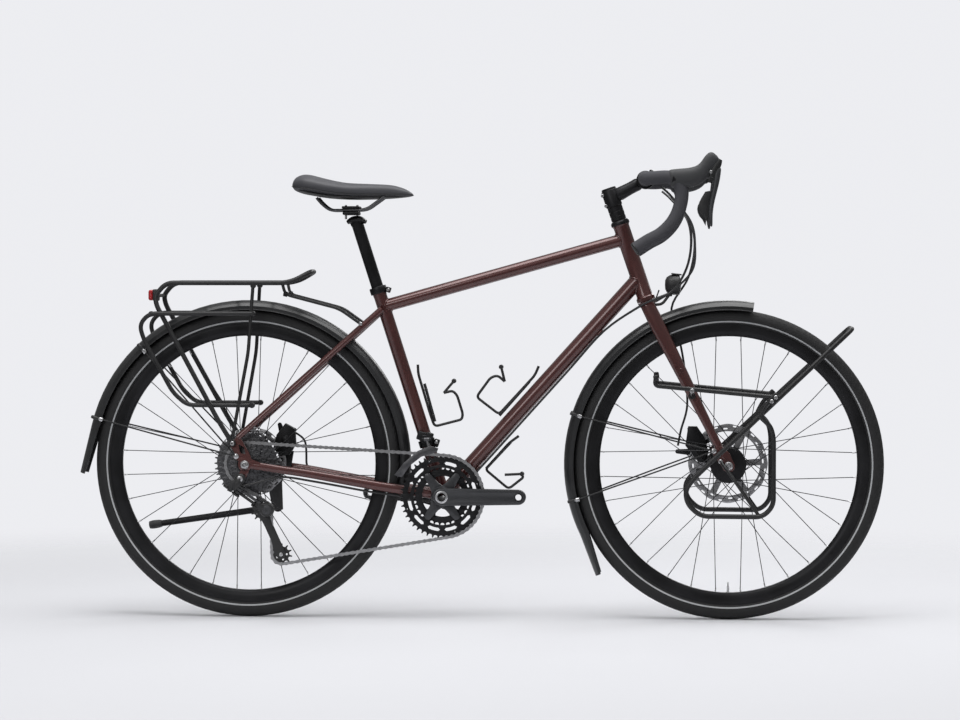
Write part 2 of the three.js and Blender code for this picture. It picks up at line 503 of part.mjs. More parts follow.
// Wheels
function wheel(side, axlePlace, hub, hubProfile, flanges, rotorRadius, rotorY) {
  const group = groupAt(axlePlace);
  const halfTyre = TYRE.width / 2;
  const centreRadius = TYRE.radius - halfTyre * Math.cos(radians(TYRE.crownDegrees));
  const round = (radius, degrees) => [
    centreRadius + radius * Math.cos(radians(degrees)), radius * Math.sin(radians(degrees)),
  ];
  const halfBead = RIM.halfSeat - GAP;
  const TREAD_ANGLES = [-128, -75, -26, 26, 75, 128];
  const INSIDE_ANGLES = [50, -50];
  const tyreProfile = [
    ...TREAD_ANGLES.map((angle) => round(halfTyre, angle)),
    [TYRE.edgeRadius, halfBead], [TYRE.beadRadius, halfBead],
    ...INSIDE_ANGLES.map((angle) => round(TYRE.innerRadius, angle)),
    [TYRE.beadRadius, -halfBead], [TYRE.edgeRadius, -halfBead],
  ];
  add(side + "_tyre", turned(tyreProfile, WHEEL_SIDES), "rubber", group);

  const rimProfile = [
    [RIM.tipRadius, -RIM.halfWidth], [RIM.shoulderRadius, -RIM.halfWidth], [RIM.innerRadius, -RIM.halfNose],
    [RIM.innerRadius, RIM.halfNose], [RIM.shoulderRadius, RIM.halfWidth], [RIM.tipRadius, RIM.halfWidth],
    [RIM.seatRadius, RIM.halfSeat], [RIM.seatRadius, -RIM.halfSeat],
  ];
  const valve = strut(v(0, 0, RIM.valveTip), v(0, 0, RIM.shoulderRadius), RIM.valveRadius, RIM.valveRadius, 6);

  const spokeEnd = RIM.innerRadius + SPOKE.radius;
  const spokeStart = hub.flangeRadius + SPOKE.radius + GAP;
  const spokes = Array.from({ length: SPOKE.count }, (_, i) => {
    const onLeft = i % 2 === 0;
    const trailing = i % 4 < 2;
    const rimAngle = ((i + 0.5) / SPOKE.count) * 360;
    const lean = (trailing ? 1 : -1) * SPOKE.crossAngle;
    const flangeAngle = radians(rimAngle + lean);
    const stagger = trailing ? SPOKE.stagger : -SPOKE.stagger;
    const y = (onLeft ? flanges.left : -flanges.right) + stagger;
    return strut(
      v(spokeStart * Math.cos(flangeAngle), y, spokeStart * Math.sin(flangeAngle)),
      v(spokeEnd * Math.cos(radians(rimAngle)), stagger, spokeEnd * Math.sin(radians(rimAngle))),
      SPOKE.radius, SPOKE.radius, 3,
    );
  });
  add(side + "_rim", fuse(turned(rimProfile, WHEEL_SIDES), valve, spokes), "blackMetal", group);
  add(side + "_hub", turned(hubProfile, HUB_SIDES), "blackMetal", group);

  const ringInner = rotorRadius - ROTOR.trackWidth;
  const bossRadius = hub.bossRadius + GAP;
  const hubRing = bossRadius + ROTOR.hubWidth;
  const rotorPlate = (outline, holes) => plate(outline, rotorY - ROTOR.thickness / 2, rotorY + ROTOR.thickness / 2, holes);
  const step = 360 / ROTOR.arms;
  const arms = Array.from({ length: ROTOR.arms }, (_, i) => {
    const heading = i * step;
    return rotorPlate([
      ...arc(0, 0, hubRing - ROTOR.hubWidth / 2, heading - ROTOR.armAngle / 2, heading + ROTOR.armAngle / 2, 1),
      ...arc(0, 0, ringInner + ROTOR.hubWidth / 2, heading + ROTOR.armAngle * 1.5, heading + ROTOR.armAngle, 1),
    ]);
  });
  const track = rotorPlate(circle(0, 0, rotorRadius, 20), [circle(0, 0, ringInner, 20)]);
  const centre = rotorPlate(circle(0, 0, hubRing, 12), [circle(0, 0, bossRadius / Math.cos(Math.PI / 12), 12)]);
  add(side + "_rotor", fuse(track, centre, arms), "steel", group);
  return group;
}

{
  const hub = FRONT_HUB;
  const flangeEdge = hub.flangeOffset + hub.flangeThickness / 2;
  const flangeFoot = hub.flangeOffset - hub.flangeThickness / 2;
  const profile = [
    [AXLE.bore, -hub.halfLength], [hub.neckRadius, -hub.halfLength], [hub.neckRadius, -flangeEdge - hub.flangeThickness],
    [hub.flangeRadius, -flangeEdge], [hub.flangeRadius, -flangeFoot], [hub.shellRadius, -hub.halfShell],
    [hub.shellRadius, hub.halfShell], [hub.flangeRadius, flangeFoot], [hub.flangeRadius, flangeEdge],
    [hub.bossRadius, flangeEdge + hub.flangeThickness], [hub.bossRadius, hub.bossEnd], [hub.neckRadius, hub.bossEnd],
    [hub.neckRadius, hub.halfLength], [AXLE.bore, hub.halfLength],
  ];
  wheel("front", FRONT_AXLE, hub, profile, { left: hub.flangeOffset, right: hub.flangeOffset }, ROTOR.frontRadius, FRONT_ROTOR_Y);
}
{
  const hub = REAR_HUB;
  const half = hub.flangeThickness / 2;
  const profile = [
    [AXLE.bore, -hub.halfLength], [hub.carrierRadius - GAP, -hub.carrierEnd], [hub.carrierRadius - GAP, -hub.rightFlange - half],
    [hub.flangeRadius, -hub.rightFlange - half], [hub.flangeRadius, -hub.rightFlange + half],
    [hub.shellRadius, -hub.rightFlange + hub.flangeThickness * 2], [hub.shellRadius, hub.leftFlange - hub.flangeThickness * 2],
    [hub.flangeRadius, hub.leftFlange - half], [hub.flangeRadius, hub.leftFlange + half],
    [hub.bossRadius, hub.leftFlange + half + hub.flangeThickness], [hub.bossRadius, hub.bossEnd], [hub.neckRadius, hub.bossEnd],
    [hub.neckRadius, hub.halfLength], [AXLE.bore, hub.halfLength],
  ];
  wheel("rear", REAR_AXLE, hub, profile, { left: hub.leftFlange, right: hub.rightFlange }, ROTOR.rearRadius, REAR_ROTOR_Y);
}

// Axles through the dropouts, with a collar inside and a nut outside each
function axle(name, place, halfSpacing, thickness, hubHalf) {
  const face = halfSpacing - GAP;
  const nut = halfSpacing + thickness + GAP;
  const half = [
    [AXLE.radius, hubHalf + GAP], [AXLE.capRadius, hubHalf + GAP], [AXLE.capRadius, face], [AXLE.radius, face],
    [AXLE.radius, nut], [AXLE.capRadius, nut], [AXLE.capRadius, nut + AXLE.capLength],
  ];
  const other = half.map(([radius, y]) => [radius, -y]).reverse();
  const profile = [[0, -nut - AXLE.capLength], ...other, ...half, [0, nut + AXLE.capLength]];
  add(name, turned(profile, 8), "steel", groupAt(place));
}
axle("rear_axle", REAR_AXLE, DROPOUT.halfSpacing, DROPOUT.thickness, REAR_HUB.halfLength);
axle("front_axle", FRONT_AXLE, FORK.dropoutHalfSpacing, FORK.dropoutThickness, FRONT_HUB.halfLength);

// Fork: steerer, crown, two blades and their dropouts
{
  // Each row: along the blade from crown to dropout as a share, half spread, half width, half depth
  const BLADE_SHARES = [[-0.03, 8, 8], [0.14, 8.5, 8.6], [0.5, 7.6, 6.6], [0.93, 6, 4.4], [1, 4.5, 3.5]];
  const BLADE_SPREADS = [31, 37, 44, 50.5, 51.8];
  const crown = onHead(-FRAME.lowerCupHeight - FORK.crownDrop);
  const tip = FRONT_AXLE.clone().add(v(-10, 0, 18));
  const crownBar = strut(
    crown.clone().setY(-FORK.crownHalfSpread), crown.clone().setY(FORK.crownHalfSpread), FORK.crownBarRadius,
    FORK.crownBarRadius, 10,
  );
  const bladeStations = [
    ...BLADE_SHARES.map(([share, wide, deep], i) => ({
      at: crown.clone().lerp(tip, share).setY(BLADE_SPREADS[i]), wide, deep: deep * FORK.bladeScale,
    })),
  ];
  const steererTop = FRAME.headTubeLength + FORK.steererAboveHead;
  const steerer = strut(onHead(-FRAME.lowerCupHeight - FORK.crownDrop), onHead(steererTop), FORK.steererRadius);
  const race = turnedAlong([
    [0, -FORK.crownDrop], [FORK.crownHalfDepth, -FORK.crownDrop], [FRAME.cupRadius, -GAP], [0, -GAP],
  ], onHead(-FRAME.lowerCupHeight), HEAD_WAY, 12);
  const inner = FORK.dropoutHalfSpacing;
  const outer = inner + FORK.dropoutThickness;
  const outline = [
    ...arc(FRONT_AXLE.x, FRONT_AXLE.z, FORK.dropoutRadius, 190, 380, 6),
    [FRONT_AXLE.x + FORK.dropoutRadius * 0.4, FRONT_AXLE.z + FORK.dropoutRadius * 2],
    [FRONT_AXLE.x - FORK.dropoutRadius, FRONT_AXLE.z + FORK.dropoutRadius * 3],
    [FRONT_AXLE.x + FORK_EYE.x - FORK_EYE.radius, FRONT_AXLE.z + FORK_EYE.z + FORK_EYE.radius],
    [FRONT_AXLE.x + FORK_EYE.x - FORK_EYE.radius, FRONT_AXLE.z + FORK_EYE.z - FORK_EYE.radius],
  ];
  const dropout = plate(outline, inner, outer);
  const fork = fuse(steerer, race, crownBar, pair(loft(bladeStations, 8)), pair(dropout));
  const axleClear = strut(
    v(FRONT_AXLE.x, -outer - OVERRUN, FRONT_AXLE.z), v(FRONT_AXLE.x, outer + OVERRUN, FRONT_AXLE.z), AXLE.bore, AXLE.bore, 8,
  );
  add("fork", carve(fork, axleClear), "framePaint");
}

// Toothed wheels

// The radius at which a chain of that many teeth runs
const pitchRadius = (teeth) => (teeth * PITCH) / (2 * Math.PI);

// Teeth that pass between a chain's rollers; phase is the angle of one roller, in radians
function toothOutline(teeth, phase = 0) {
  const radius = pitchRadius(teeth);
  const outline = [];
  for (let i = 0; i < teeth; i++) {
    const middle = phase + ((i + 0.5) / teeth) * 2 * Math.PI;
    const point = (along, out) => {
      const angle = middle + along / radius;
      outline.push([(radius + out) * Math.cos(angle), (radius + out) * Math.sin(angle)]);
    };
    point(-TOOTH.halfRoot, -TOOTH.root);
    point(-TOOTH.halfTip, TOOTH.tip);
    point(TOOTH.halfTip, TOOTH.tip);
    point(TOOTH.halfRoot, -TOOTH.root);
  }
  return outline;
}

// Pointed teeth with two points each, for a wheel that the chain isn't on
function pointedOutline(teeth) {
  const radius = pitchRadius(teeth);
  return Array.from({ length: teeth * 2 }, (_, i) => {
    const angle = (i / (teeth * 2)) * 2 * Math.PI;
    const out = i % 2 ? TOOTH.tip : -TOOTH.root;
    return [(radius + out) * Math.cos(angle), (radius + out) * Math.sin(angle)];
  });
}

const REAR_CHAIN_Y = CASSETTE.firstY + CASSETTE.chainIndex * CASSETTE.spacing;
const RING_RADIUS = pitchRadius(RING.teeth);
const COG_TEETH = CASSETTE.teeth[CASSETTE.chainIndex];
const GUIDE = from(REAR_AXLE, DERAILLEUR.guideX, DERAILLEUR.guideZ);
const KNEE = from(REAR_AXLE, DERAILLEUR.kneeX, DERAILLEUR.kneeZ);

// The point where a belt's straight run leaves circle a for circle b; the signs say on which side it lies
function tangent(a, radiusA, signA, b, radiusB, signB) {
  const [dx, dz] = [b.x - a.x, b.z - a.z];
  const distance = Math.hypot(dx, dz);
  const heading = Math.atan2(dz, dx);
  const lean = Math.asin((signA * radiusA - signB * radiusB) / distance);
  const normal = heading + Math.PI / 2 - lean;
  const point = (centre, radius, sign) => [
    centre.x + sign * radius * Math.cos(normal), centre.z + sign * radius * Math.sin(normal),
  ];
  return [point(a, radiusA, signA), point(b, radiusB, signB)];
}

// The chain's pitch line as runs and arcs, for a tension wheel at a given place
function chainLine(tension) {
  const cogRadius = pitchRadius(COG_TEETH);
  const jockeyRadius = pitchRadius(JOCKEY.teeth);
  const [cogTop, ringTop] = tangent(REAR_AXLE, cogRadius, 1, BOTTOM_BRACKET, RING_RADIUS, 1);
  const [ringLow, tensionLow] = tangent(BOTTOM_BRACKET, RING_RADIUS, 1, tension, jockeyRadius, 1);
  const [tensionRear, guideFront] = tangent(tension, jockeyRadius, 1, GUIDE, jockeyRadius, -1);
  const [guideTop, cogLow] = tangent(GUIDE, jockeyRadius, -1, REAR_AXLE, cogRadius, 1);
  const parts = [
    { run: [cogTop, ringTop], y: [REAR_CHAIN_Y, RING.y] },
    { around: BOTTOM_BRACKET, radius: RING_RADIUS, ends: [ringTop, ringLow], way: -1, y: [RING.y, RING.y] },
    { run: [ringLow, tensionLow], y: [RING.y, REAR_CHAIN_Y] },
    { around: tension, radius: jockeyRadius, ends: [tensionLow, tensionRear], way: -1, y: [REAR_CHAIN_Y, REAR_CHAIN_Y] },
    { run: [tensionRear, guideFront], y: [REAR_CHAIN_Y, REAR_CHAIN_Y] },
    { around: GUIDE, radius: jockeyRadius, ends: [guideFront, guideTop], way: 1, y: [REAR_CHAIN_Y, REAR_CHAIN_Y] },
    { run: [guideTop, cogLow], y: [REAR_CHAIN_Y, REAR_CHAIN_Y] },
    { around: REAR_AXLE, radius: cogRadius, ends: [cogLow, cogTop], way: -1, y: [REAR_CHAIN_Y, REAR_CHAIN_Y] },
  ];
  for (const part of parts) {
    if (part.run) {
      const [[ax, az], [bx, bz]] = part.run;
      part.length = Math.hypot(bx - ax, bz - az);
      continue;
    }
    const angleOf = ([x, z]) => Math.atan2(z - part.around.z, x - part.around.x);
    part.start = angleOf(part.ends[0]);
    const turn = (angleOf(part.ends[1]) - part.start) * part.way;
    part.sweep = ((turn % (2 * Math.PI)) + 2 * Math.PI) % (2 * Math.PI);
    part.length = part.sweep * part.radius;
  }
  return parts;
}

const lengthOf = (parts) => parts.reduce((sum, part) => sum + part.length, 0);

// The cage swings about the knee until the chain is a whole number of links
function tensionAt(degrees) {
  const [x, z] = [REAR_AXLE.x + DERAILLEUR.tensionX - KNEE.x, REAR_AXLE.z + DERAILLEUR.tensionZ - KNEE.z];
  const [c, n] = [Math.cos(radians(degrees)), Math.sin(radians(degrees))];
  return v(KNEE.x + x * c - z * n, 0, KNEE.z + x * n + z * c);
}
const LINKS = 2 * Math.round(lengthOf(chainLine(tensionAt(0))) / PITCH / 2);
let [slack, taut] = [-12, 12];
for (let i = 0; i < 40; i++) {
  const middle = (slack + taut) / 2;
  if (lengthOf(chainLine(tensionAt(middle))) > LINKS * PITCH) slack = middle;
  else taut = middle;
}
const TENSION = tensionAt(slack);
const CHAIN_PARTS = chainLine(TENSION);

// A point of the pitch line, its direction and the y of the chain there
function onChain(distance) {
  let rest = ((distance % (LINKS * PITCH)) + LINKS * PITCH) % (LINKS * PITCH);
  for (const part of CHAIN_PARTS) {
    if (rest > part.length) {
      rest -= part.length;
      continue;
    }
    const share = rest / part.length;
    const y = part.y[0] + (part.y[1] - part.y[0]) * share;
    if (part.run) {
      const [[ax, az], [bx, bz]] = part.run;
      const way = v((bx - ax) / part.length, 0, (bz - az) / part.length);
      return { at: v(ax + (bx - ax) * share, y, az + (bz - az) * share), way };
    }
    const angle = part.start + part.way * part.sweep * share;
    const at = v(part.around.x + part.radius * Math.cos(angle), y, part.around.z + part.radius * Math.sin(angle));
    return { at, way: v(-Math.sin(angle) * part.way, 0, Math.cos(angle) * part.way) };
  }
  return onChain(0);
}

// The angle of the first roller on a wheel that the chain runs on
function rollerPhase(centre) {
  let passed = 0;
  for (const part of CHAIN_PARTS) {
    if (part.around === centre) {
      const first = Math.ceil(passed / PITCH) * PITCH - passed;
      return part.start + (part.way * first) / part.radius;
    }
    passed += part.length;
  }
  return 0;
}

// The chain: a band with a window for each tooth where it runs on a wheel
{
  const slots = [];
  for (let link = 0; link < LINKS; link++) {
    const [start, end] = [link * PITCH + CHAIN.halfRoller, (link + 1) * PITCH - CHAIN.halfRoller];
    const middle = onChain((start + end) / 2).at;
    const meshes = CHAIN_PARTS.some(({ around, radius }) => (
      around && Math.hypot(middle.x - around.x, middle.z - around.z) < radius + TOOTH.tip + CHAIN.halfHeight + CHAIN.halfRoller
    ));
    slots.push({ at: start, window: meshes }, { at: end, window: false });
  }
  const kept = slots.filter(({ window }, i) => window || slots[(i + slots.length - 1) % slots.length].window);
  const rows = kept.map(({ at: distance, window }) => {
    const { at, way } = onChain(distance);
    const up = new THREE.Vector3().crossVectors(ACROSS, way).normalize();
    const corner = (y, side) => at.clone().addScaledVector(up, side * CHAIN.halfHeight).addScaledVector(ACROSS, y);
    const { halfWidth, halfInner } = CHAIN;
    const [top, low] = [1, -1].map((side) => [-halfWidth, -halfInner, halfInner, halfWidth].map((y) => corner(y, side)));
    return { top, low, window };
  });
  const positions = [];
  const quad = (a, b, c, d) => {
    for (const point of [a, b, c, a, c, d]) positions.push(point.x, point.y, point.z);
  };
  rows.forEach(({ top, low, window }, i) => {
    const { top: nextTop, low: nextLow } = rows[(i + 1) % rows.length];
    quad(low[0], nextLow[0], nextTop[0], top[0]);
    quad(top[3], nextTop[3], nextLow[3], low[3]);
    for (const [a, b] of [[0, 1], [1, 2], [2, 3]]) {
      if (window && a === 1) continue;
      quad(top[a], nextTop[a], nextTop[b], top[b]);
      quad(low[b], nextLow[b], nextLow[a], low[a]);
    }
    if (window) {
      quad(top[1], nextTop[1], nextLow[1], low[1]);
      quad(low[2], nextLow[2], nextTop[2], top[2]);
      quad(top[2], top[1], low[1], low[2]);
      quad(nextTop[1], nextTop[2], nextLow[2], nextLow[1]);
    }
  });
  const chain = new THREE.BufferGeometry();
  chain.setAttribute("position", new THREE.Float32BufferAttribute(positions, 3));
  add("chain", chain, "steel");
}

// Cassette
{
  const group = groupAt(REAR_AXLE);
  const cogs = CASSETTE.teeth.map((teeth, i) => {
    const y = CASSETTE.firstY + i * CASSETTE.spacing;
    const meshed = i === CASSETTE.chainIndex;
    const outline = meshed ? toothOutline(teeth, rollerPhase(REAR_AXLE)) : pointedOutline(teeth);
    return plate(outline, y - CASSETTE.thickness / 2, y + CASSETTE.thickness / 2);
  });
  const lastY = CASSETTE.firstY + (CASSETTE.teeth.length - 1) * CASSETTE.spacing;
  const [start, end] = [CASSETTE.firstY - CASSETTE.thickness, lastY + CASSETTE.thickness];
  const body = turned([[0, start], [CASSETTE.bodyRadius, start], [CASSETTE.bodyRadius, end], [0, end]], 8);
  const bore = strut(v(0, start - OVERRUN, 0), v(0, end + OVERRUN, 0), CASSETTE.bore, CASSETTE.bore, 8);
  add("cassette", carve(fuse(body, cogs), bore), "steel", group);
}

// Chainrings, cranks and spindle
{
  const group = groupAt(BOTTOM_BRACKET);
  const angles = [1, -1].flatMap((side) => [CRANK.spiderAngle * side, 180 - CRANK.spiderAngle * side]);
  const lobes = (fromRadius, toRadius, halfWidth, fromY, toY) => angles.map((angle) => {
    const c = Math.cos(radians(angle));
    const n = Math.sin(radians(angle));
    const point = (along, across) => [along * c - across * n, along * n + across * c];
    return plate([
      point(fromRadius, -halfWidth), point(toRadius, -halfWidth), point(toRadius, halfWidth), point(fromRadius, halfWidth),
    ], fromY, toY);
  });
  const ring = (name, outline, holeRadius, y) => {
    const [low, high] = [y - RING.thickness / 2, y + RING.thickness / 2];
    const disc = plate(outline, low, high, [circle(0, 0, holeRadius, 18)]);
    const reach = holeRadius + RING.thickness * 2;
    add(name, fuse(disc, lobes(RING.boltCircle - CRANK.armHalfWidth / 2, reach, CRANK.armHalfWidth / 2, low, high)), "blackMetal", group);
  };
  ring("chainring_large", toothOutline(RING.teeth, rollerPhase(BOTTOM_BRACKET)), RING.holeRadius, RING.y);
  ring("chainring_small", pointedOutline(RING.smallTeeth), RING.smallHoleRadius, RING.smallY);

  const outerY = CRANK.innerY + CRANK.thickness;
  const cupFace = FRAME.shellHalfWidth + CUP.width + GAP;
  const arm = (end) => linkOutline([0, 0], CRANK.bossRadius, [end, 0], CRANK.pedalEndRadius);
  const hole = (end) => [circle(end, 0, CRANK.pedalHole, 10)];
  const spiderEnd = CRANK.spiderY + CRANK.spiderThickness;
  const hub = turned([[0, -outerY], [CRANK.hubRadius, -outerY], [CRANK.hubRadius, -cupFace], [0, -cupFace]], 12);
  const spindle = strut(v(0, -outerY, 0), v(0, outerY, 0), SPINDLE.radius);
  const right = plate(arm(CRANK.length), -outerY, -CRANK.innerY, hole(CRANK.length));
  const spider = lobes(0, RING.boltCircle + CRANK.armHalfWidth / 2, CRANK.armHalfWidth, CRANK.spiderY, spiderEnd);
  add("crank_right", fuse(hub, spindle, right, spider), "blackMetal", group);

  const left = plate(arm(-CRANK.length), CRANK.innerY, outerY, hole(-CRANK.length));
  const boss = turned([[0, cupFace], [CRANK.hubRadius, cupFace], [CRANK.hubRadius, outerY], [0, outerY]], 12);
  const bore = strut(v(0, cupFace - OVERRUN, 0), v(0, outerY + OVERRUN, 0), SPINDLE.radius + GAP);
  add("crank_left", carve(fuse(left, boss), bore), "blackMetal", group);
}

// Rear derailleur
{
  const d = DERAILLEUR;
  const linkStart = from(REAR_AXLE, d.linkStartX, d.linkStartZ, d.linkStartY);
  const linkEnd = from(REAR_AXLE, d.linkEndX, d.linkEndZ, d.linkEndY);
  const hingeWay = v(linkStart.z - linkEnd.z, 0, linkEnd.x - linkStart.x).normalize();
  const pivot = (place, radius, halfLength) => strut(
    place.clone().addScaledVector(hingeWay, -halfLength), place.clone().addScaledVector(hingeWay, halfLength), radius, radius, 8,
  );
  const half = d.linkLength / 2;
  const link = fuse(
    strut(linkStart, linkEnd, d.linkRadius, d.linkRadius, 8),
    pivot(linkStart, d.linkRadius, half), pivot(linkEnd, d.linkRadius, half),
  );
  add("derailleur_link", link, "blackPlastic");

  const pocketRadius = d.linkRadius / Math.cos(Math.PI / 8) + GAP * 2;
  const pocket = (place) => pivot(place, pocketRadius, half + GAP);
  const slot = (start, end) => strut(start, end, d.linkRadius * 1.2, d.linkRadius * 1.2, 6);
  const yoke = (place) => pivot(place, pocketRadius + d.earThickness, half + GAP + d.earThickness);
  const along = linkEnd.clone().sub(linkStart).normalize();
  const swept = (place, way) => [-34, 0, 34].map((degrees) => {
    const turned = along.clone().applyAxisAngle(hingeWay, radians(degrees)).multiplyScalar(way * OVERRUN);
    return slot(place, place.clone().add(turned));
  });
  const mountFace = DROPOUT.halfSpacing + DROPOUT.thickness + GAP;
  const mount = strut(
    from(REAR_AXLE, d.mountX, d.mountZ, -mountFace), from(REAR_AXLE, d.mountX, d.mountZ, -mountFace - d.kneeRadius),
    d.mountRadius,
  );
  const mountArm = strut(
    from(REAR_AXLE, d.mountX, d.mountZ, -mountFace - d.mountRadius), linkStart.clone().addScaledVector(along, -d.linkRadius),
    d.linkRadius, d.linkRadius, 6,
  );
  add("derailleur_body", carve(fuse(mount, mountArm, yoke(linkStart)), pocket(linkStart), swept(linkStart, 1)), "blackPlastic");

  const outerPlateY = REAR_CHAIN_Y - d.cageHalfGap - d.plate;
  const knee = strut(KNEE.clone().setY(outerPlateY - GAP), KNEE.clone().setY(linkEnd.y), d.kneeRadius);
  const kneeArm = strut(
    KNEE.clone().setY(linkEnd.y + d.kneeRadius / 2), linkEnd.clone().addScaledVector(along, d.linkRadius),
    d.linkRadius, d.linkRadius, 8,
  );
  add("derailleur_knuckle", carve(fuse(knee, kneeArm, yoke(linkEnd)), pocket(linkEnd), swept(linkEnd, -1)), "blackPlastic");

  const wheels = [GUIDE, TENSION];
  const side = (radius) => linkOutline([GUIDE.x, GUIDE.z], radius, [TENSION.x, TENSION.z], radius);
  const outerPlate = fuse(
    plate(side(d.mountRadius), outerPlateY, outerPlateY + d.plate),
    plate(circle(KNEE.x, KNEE.z, d.mountRadius, 12), outerPlateY, outerPlateY + d.plate),
  );
  const innerY = REAR_CHAIN_Y + d.cageHalfGap;
  const innerPlate = plate(side(d.mountRadius), innerY, innerY + d.plate);
  const pins = wheels.map((place) => strut(place.clone().setY(outerPlateY), place.clone().setY(innerY + d.plate), JOCKEY.pin, JOCKEY.pin, 8));
  add("derailleur_cage", fuse(outerPlate, innerPlate, pins), "blackMetal");

  wheels.forEach((place, i) => {
    const name = ["jockey_upper", "jockey_lower"][i];
    const outline = toothOutline(JOCKEY.teeth, rollerPhase(place));
    const halfThickness = JOCKEY.thickness / 2;
    const wheelPlate = plate(outline, REAR_CHAIN_Y - halfThickness, REAR_CHAIN_Y + halfThickness, [circle(0, 0, JOCKEY.bore, 8)]);
    add(name, wheelPlate, "blackPlastic", groupAt(place));
  });
}

// Front derailleur: the band on the seat tube with its body, and the cage that the chain runs through
{
  const d = FRONT_DERAILLEUR;
  const hinge = from(BOTTOM_BRACKET, d.hingeX, d.hingeZ, d.hingeY);
  const bandTop = d.bandAlong + d.bandHeight;
  const band = strut(onSeat(d.bandAlong), onSeat(bandTop), d.bandRadius);
  const lugEnd = hinge.clone().add(v(HINGE.offset, 0, HINGE.offset));
  const arm = strut(onSeat(d.bandAlong + d.bandHeight / 2), lugEnd, HINGE.radius, HINGE.radius, 8);
  const ear = (x) => strut(hinge.clone().add(v(x, 0, 0)), hinge.clone().add(v(x + HINGE.ear, 0, 0)), HINGE.radius, HINGE.radius, 8);
  const clamp = fuse(band, arm, ear(HINGE.half + GAP), ear(-HINGE.half - GAP - HINGE.ear), strut(
    hinge.clone().add(v(-HINGE.half - HINGE.ear, 0, HINGE.offset)), hinge.clone().add(v(HINGE.half + HINGE.ear, 0, HINGE.offset)),
    HINGE.ear, HINGE.ear, 6,
  ));
  const room = strut(hinge.clone().add(v(-HINGE.half - GAP, 0, 0)), hinge.clone().add(v(HINGE.half + GAP, 0, 0)), HINGE.radius + GAP, HINGE.radius + GAP, 10);
  const tubeRoom = clearOf(onSeat(d.bandAlong - OVERRUN), onSeat(bandTop + OVERRUN), FRAME.seatTubeRadius);
  add("front_derailleur_clamp", carve(clamp, tubeRoom, room), "blackMetal");

  const CAGE_OUTLINE = [
    [-9, 108], [-28, 114], [-56, 102], [-88, 74], [-108, 48], [-91.2, 43], [-73, 69.2], [-46.8, 89.6], [-12.2, 100],
  ];
  const outline = CAGE_OUTLINE.map(([x, z]) => [BOTTOM_BRACKET.x + x, BOTTOM_BRACKET.z + z]);
  const outer = plate(outline, d.outerY - d.plate, d.outerY);
  const inner = plate(outline, d.innerY, d.innerY + d.plate);
  const bridge = (x, z, radius) => strut(from(BOTTOM_BRACKET, x, z, d.outerY - d.plate), from(BOTTOM_BRACKET, x, z, d.innerY + d.plate), radius, radius, 6);
  const barrel = strut(hinge.clone().add(v(-HINGE.half, 0, 0)), hinge.clone().add(v(HINGE.half, 0, 0)), HINGE.radius, HINGE.radius, 10);
  const hanger = strut(hinge, from(BOTTOM_BRACKET, -30, 108, d.innerY + d.plate), HINGE.radius - GAP, HINGE.ear, 6);
  add("front_derailleur_cage", fuse(outer, inner, bridge(-17, 106, 3), bridge(-99, 44, 4), barrel, hanger), "steel");
}

// Mudguards: a bent channel with a flap at its end, and a pair of stays on each side
function mudguard(name, axlePlace, sizes, eye, clipPlaces) {
  const { radius, halfWidth, halfCrown, crownDrop, skirtDrop, wall, steps, stayRadius } = GUARD;
  const section = [
    [-halfWidth, -skirtDrop], [-halfWidth, -crownDrop], [-halfCrown, 0], [halfCrown, 0], [halfWidth, -crownDrop],
    [halfWidth, -skirtDrop], [halfWidth - wall, -skirtDrop], [halfCrown, -wall], [-halfCrown, -wall],
    [wall - halfWidth, -skirtDrop],
  ];
  const sweep = sizes.toDegrees - sizes.fromDegrees;
  const rings = Array.from({ length: steps + 1 }, (_, i) => {
    const angle = radians(sizes.fromDegrees + (sweep * i) / steps);
    return section.map(([y, out]) => from(
      axlePlace, (radius + out) * Math.cos(angle), (radius + out) * Math.sin(angle), y,
    ));
  });
  const last = radians(sizes.toDegrees);
  const run = v(-Math.sin(last), 0, Math.cos(last)).multiplyScalar(sizes.flapLength);
  run.add(v(Math.cos(last), 0, Math.sin(last)).multiplyScalar(sizes.flapDrop));
  rings.push(rings[steps].map((point) => point.clone().add(run)));
  const eyePlace = from(axlePlace, eye.x, eye.z, eye.y);
  const stays = clipPlaces.flatMap(([x, z]) => {
    const edge = from(axlePlace, x, z, halfWidth + stayRadius / 2);
    const elbow = eyePlace.clone().lerp(edge, eye.elbow).setY(eye.y);
    const tip = edge.clone().add(v(x, 0, z).setLength(GUARD_CLIP.reach));
    const clip = strut(edge.clone().setY(halfWidth - wall), edge.clone().setY(halfWidth + GUARD_CLIP.radius), GUARD_CLIP.radius, GUARD_CLIP.radius, 4);
    return [tube([eyePlace, elbow, edge, tip], stayRadius, 0, 4), clip];
  });
  const eyeRing = strut(eyePlace.clone().setY(eye.face), eyePlace.clone().setY(eye.y + stayRadius), eye.radius, eye.radius, 8);
  add(name, fuse(skin(rings), pair(fuse(stays, eyeRing))), "blackPlastic");
}
mudguard("rear_mudguard", REAR_AXLE, REAR_GUARD,
  { ...GUARD_EYE, face: DROPOUT.halfSpacing + DROPOUT.thickness + GAP, y: 78, elbow: 0.14 }, [[-237, 256], [-338, 100]]);
mudguard("front_mudguard", FRONT_AXLE, FRONT_GUARD,
  { ...FORK_EYE, face: FORK.dropoutHalfSpacing + FORK.dropoutThickness + GAP, y: 62, elbow: 0.36 }, [[-337, 110], [-342, -80]]);

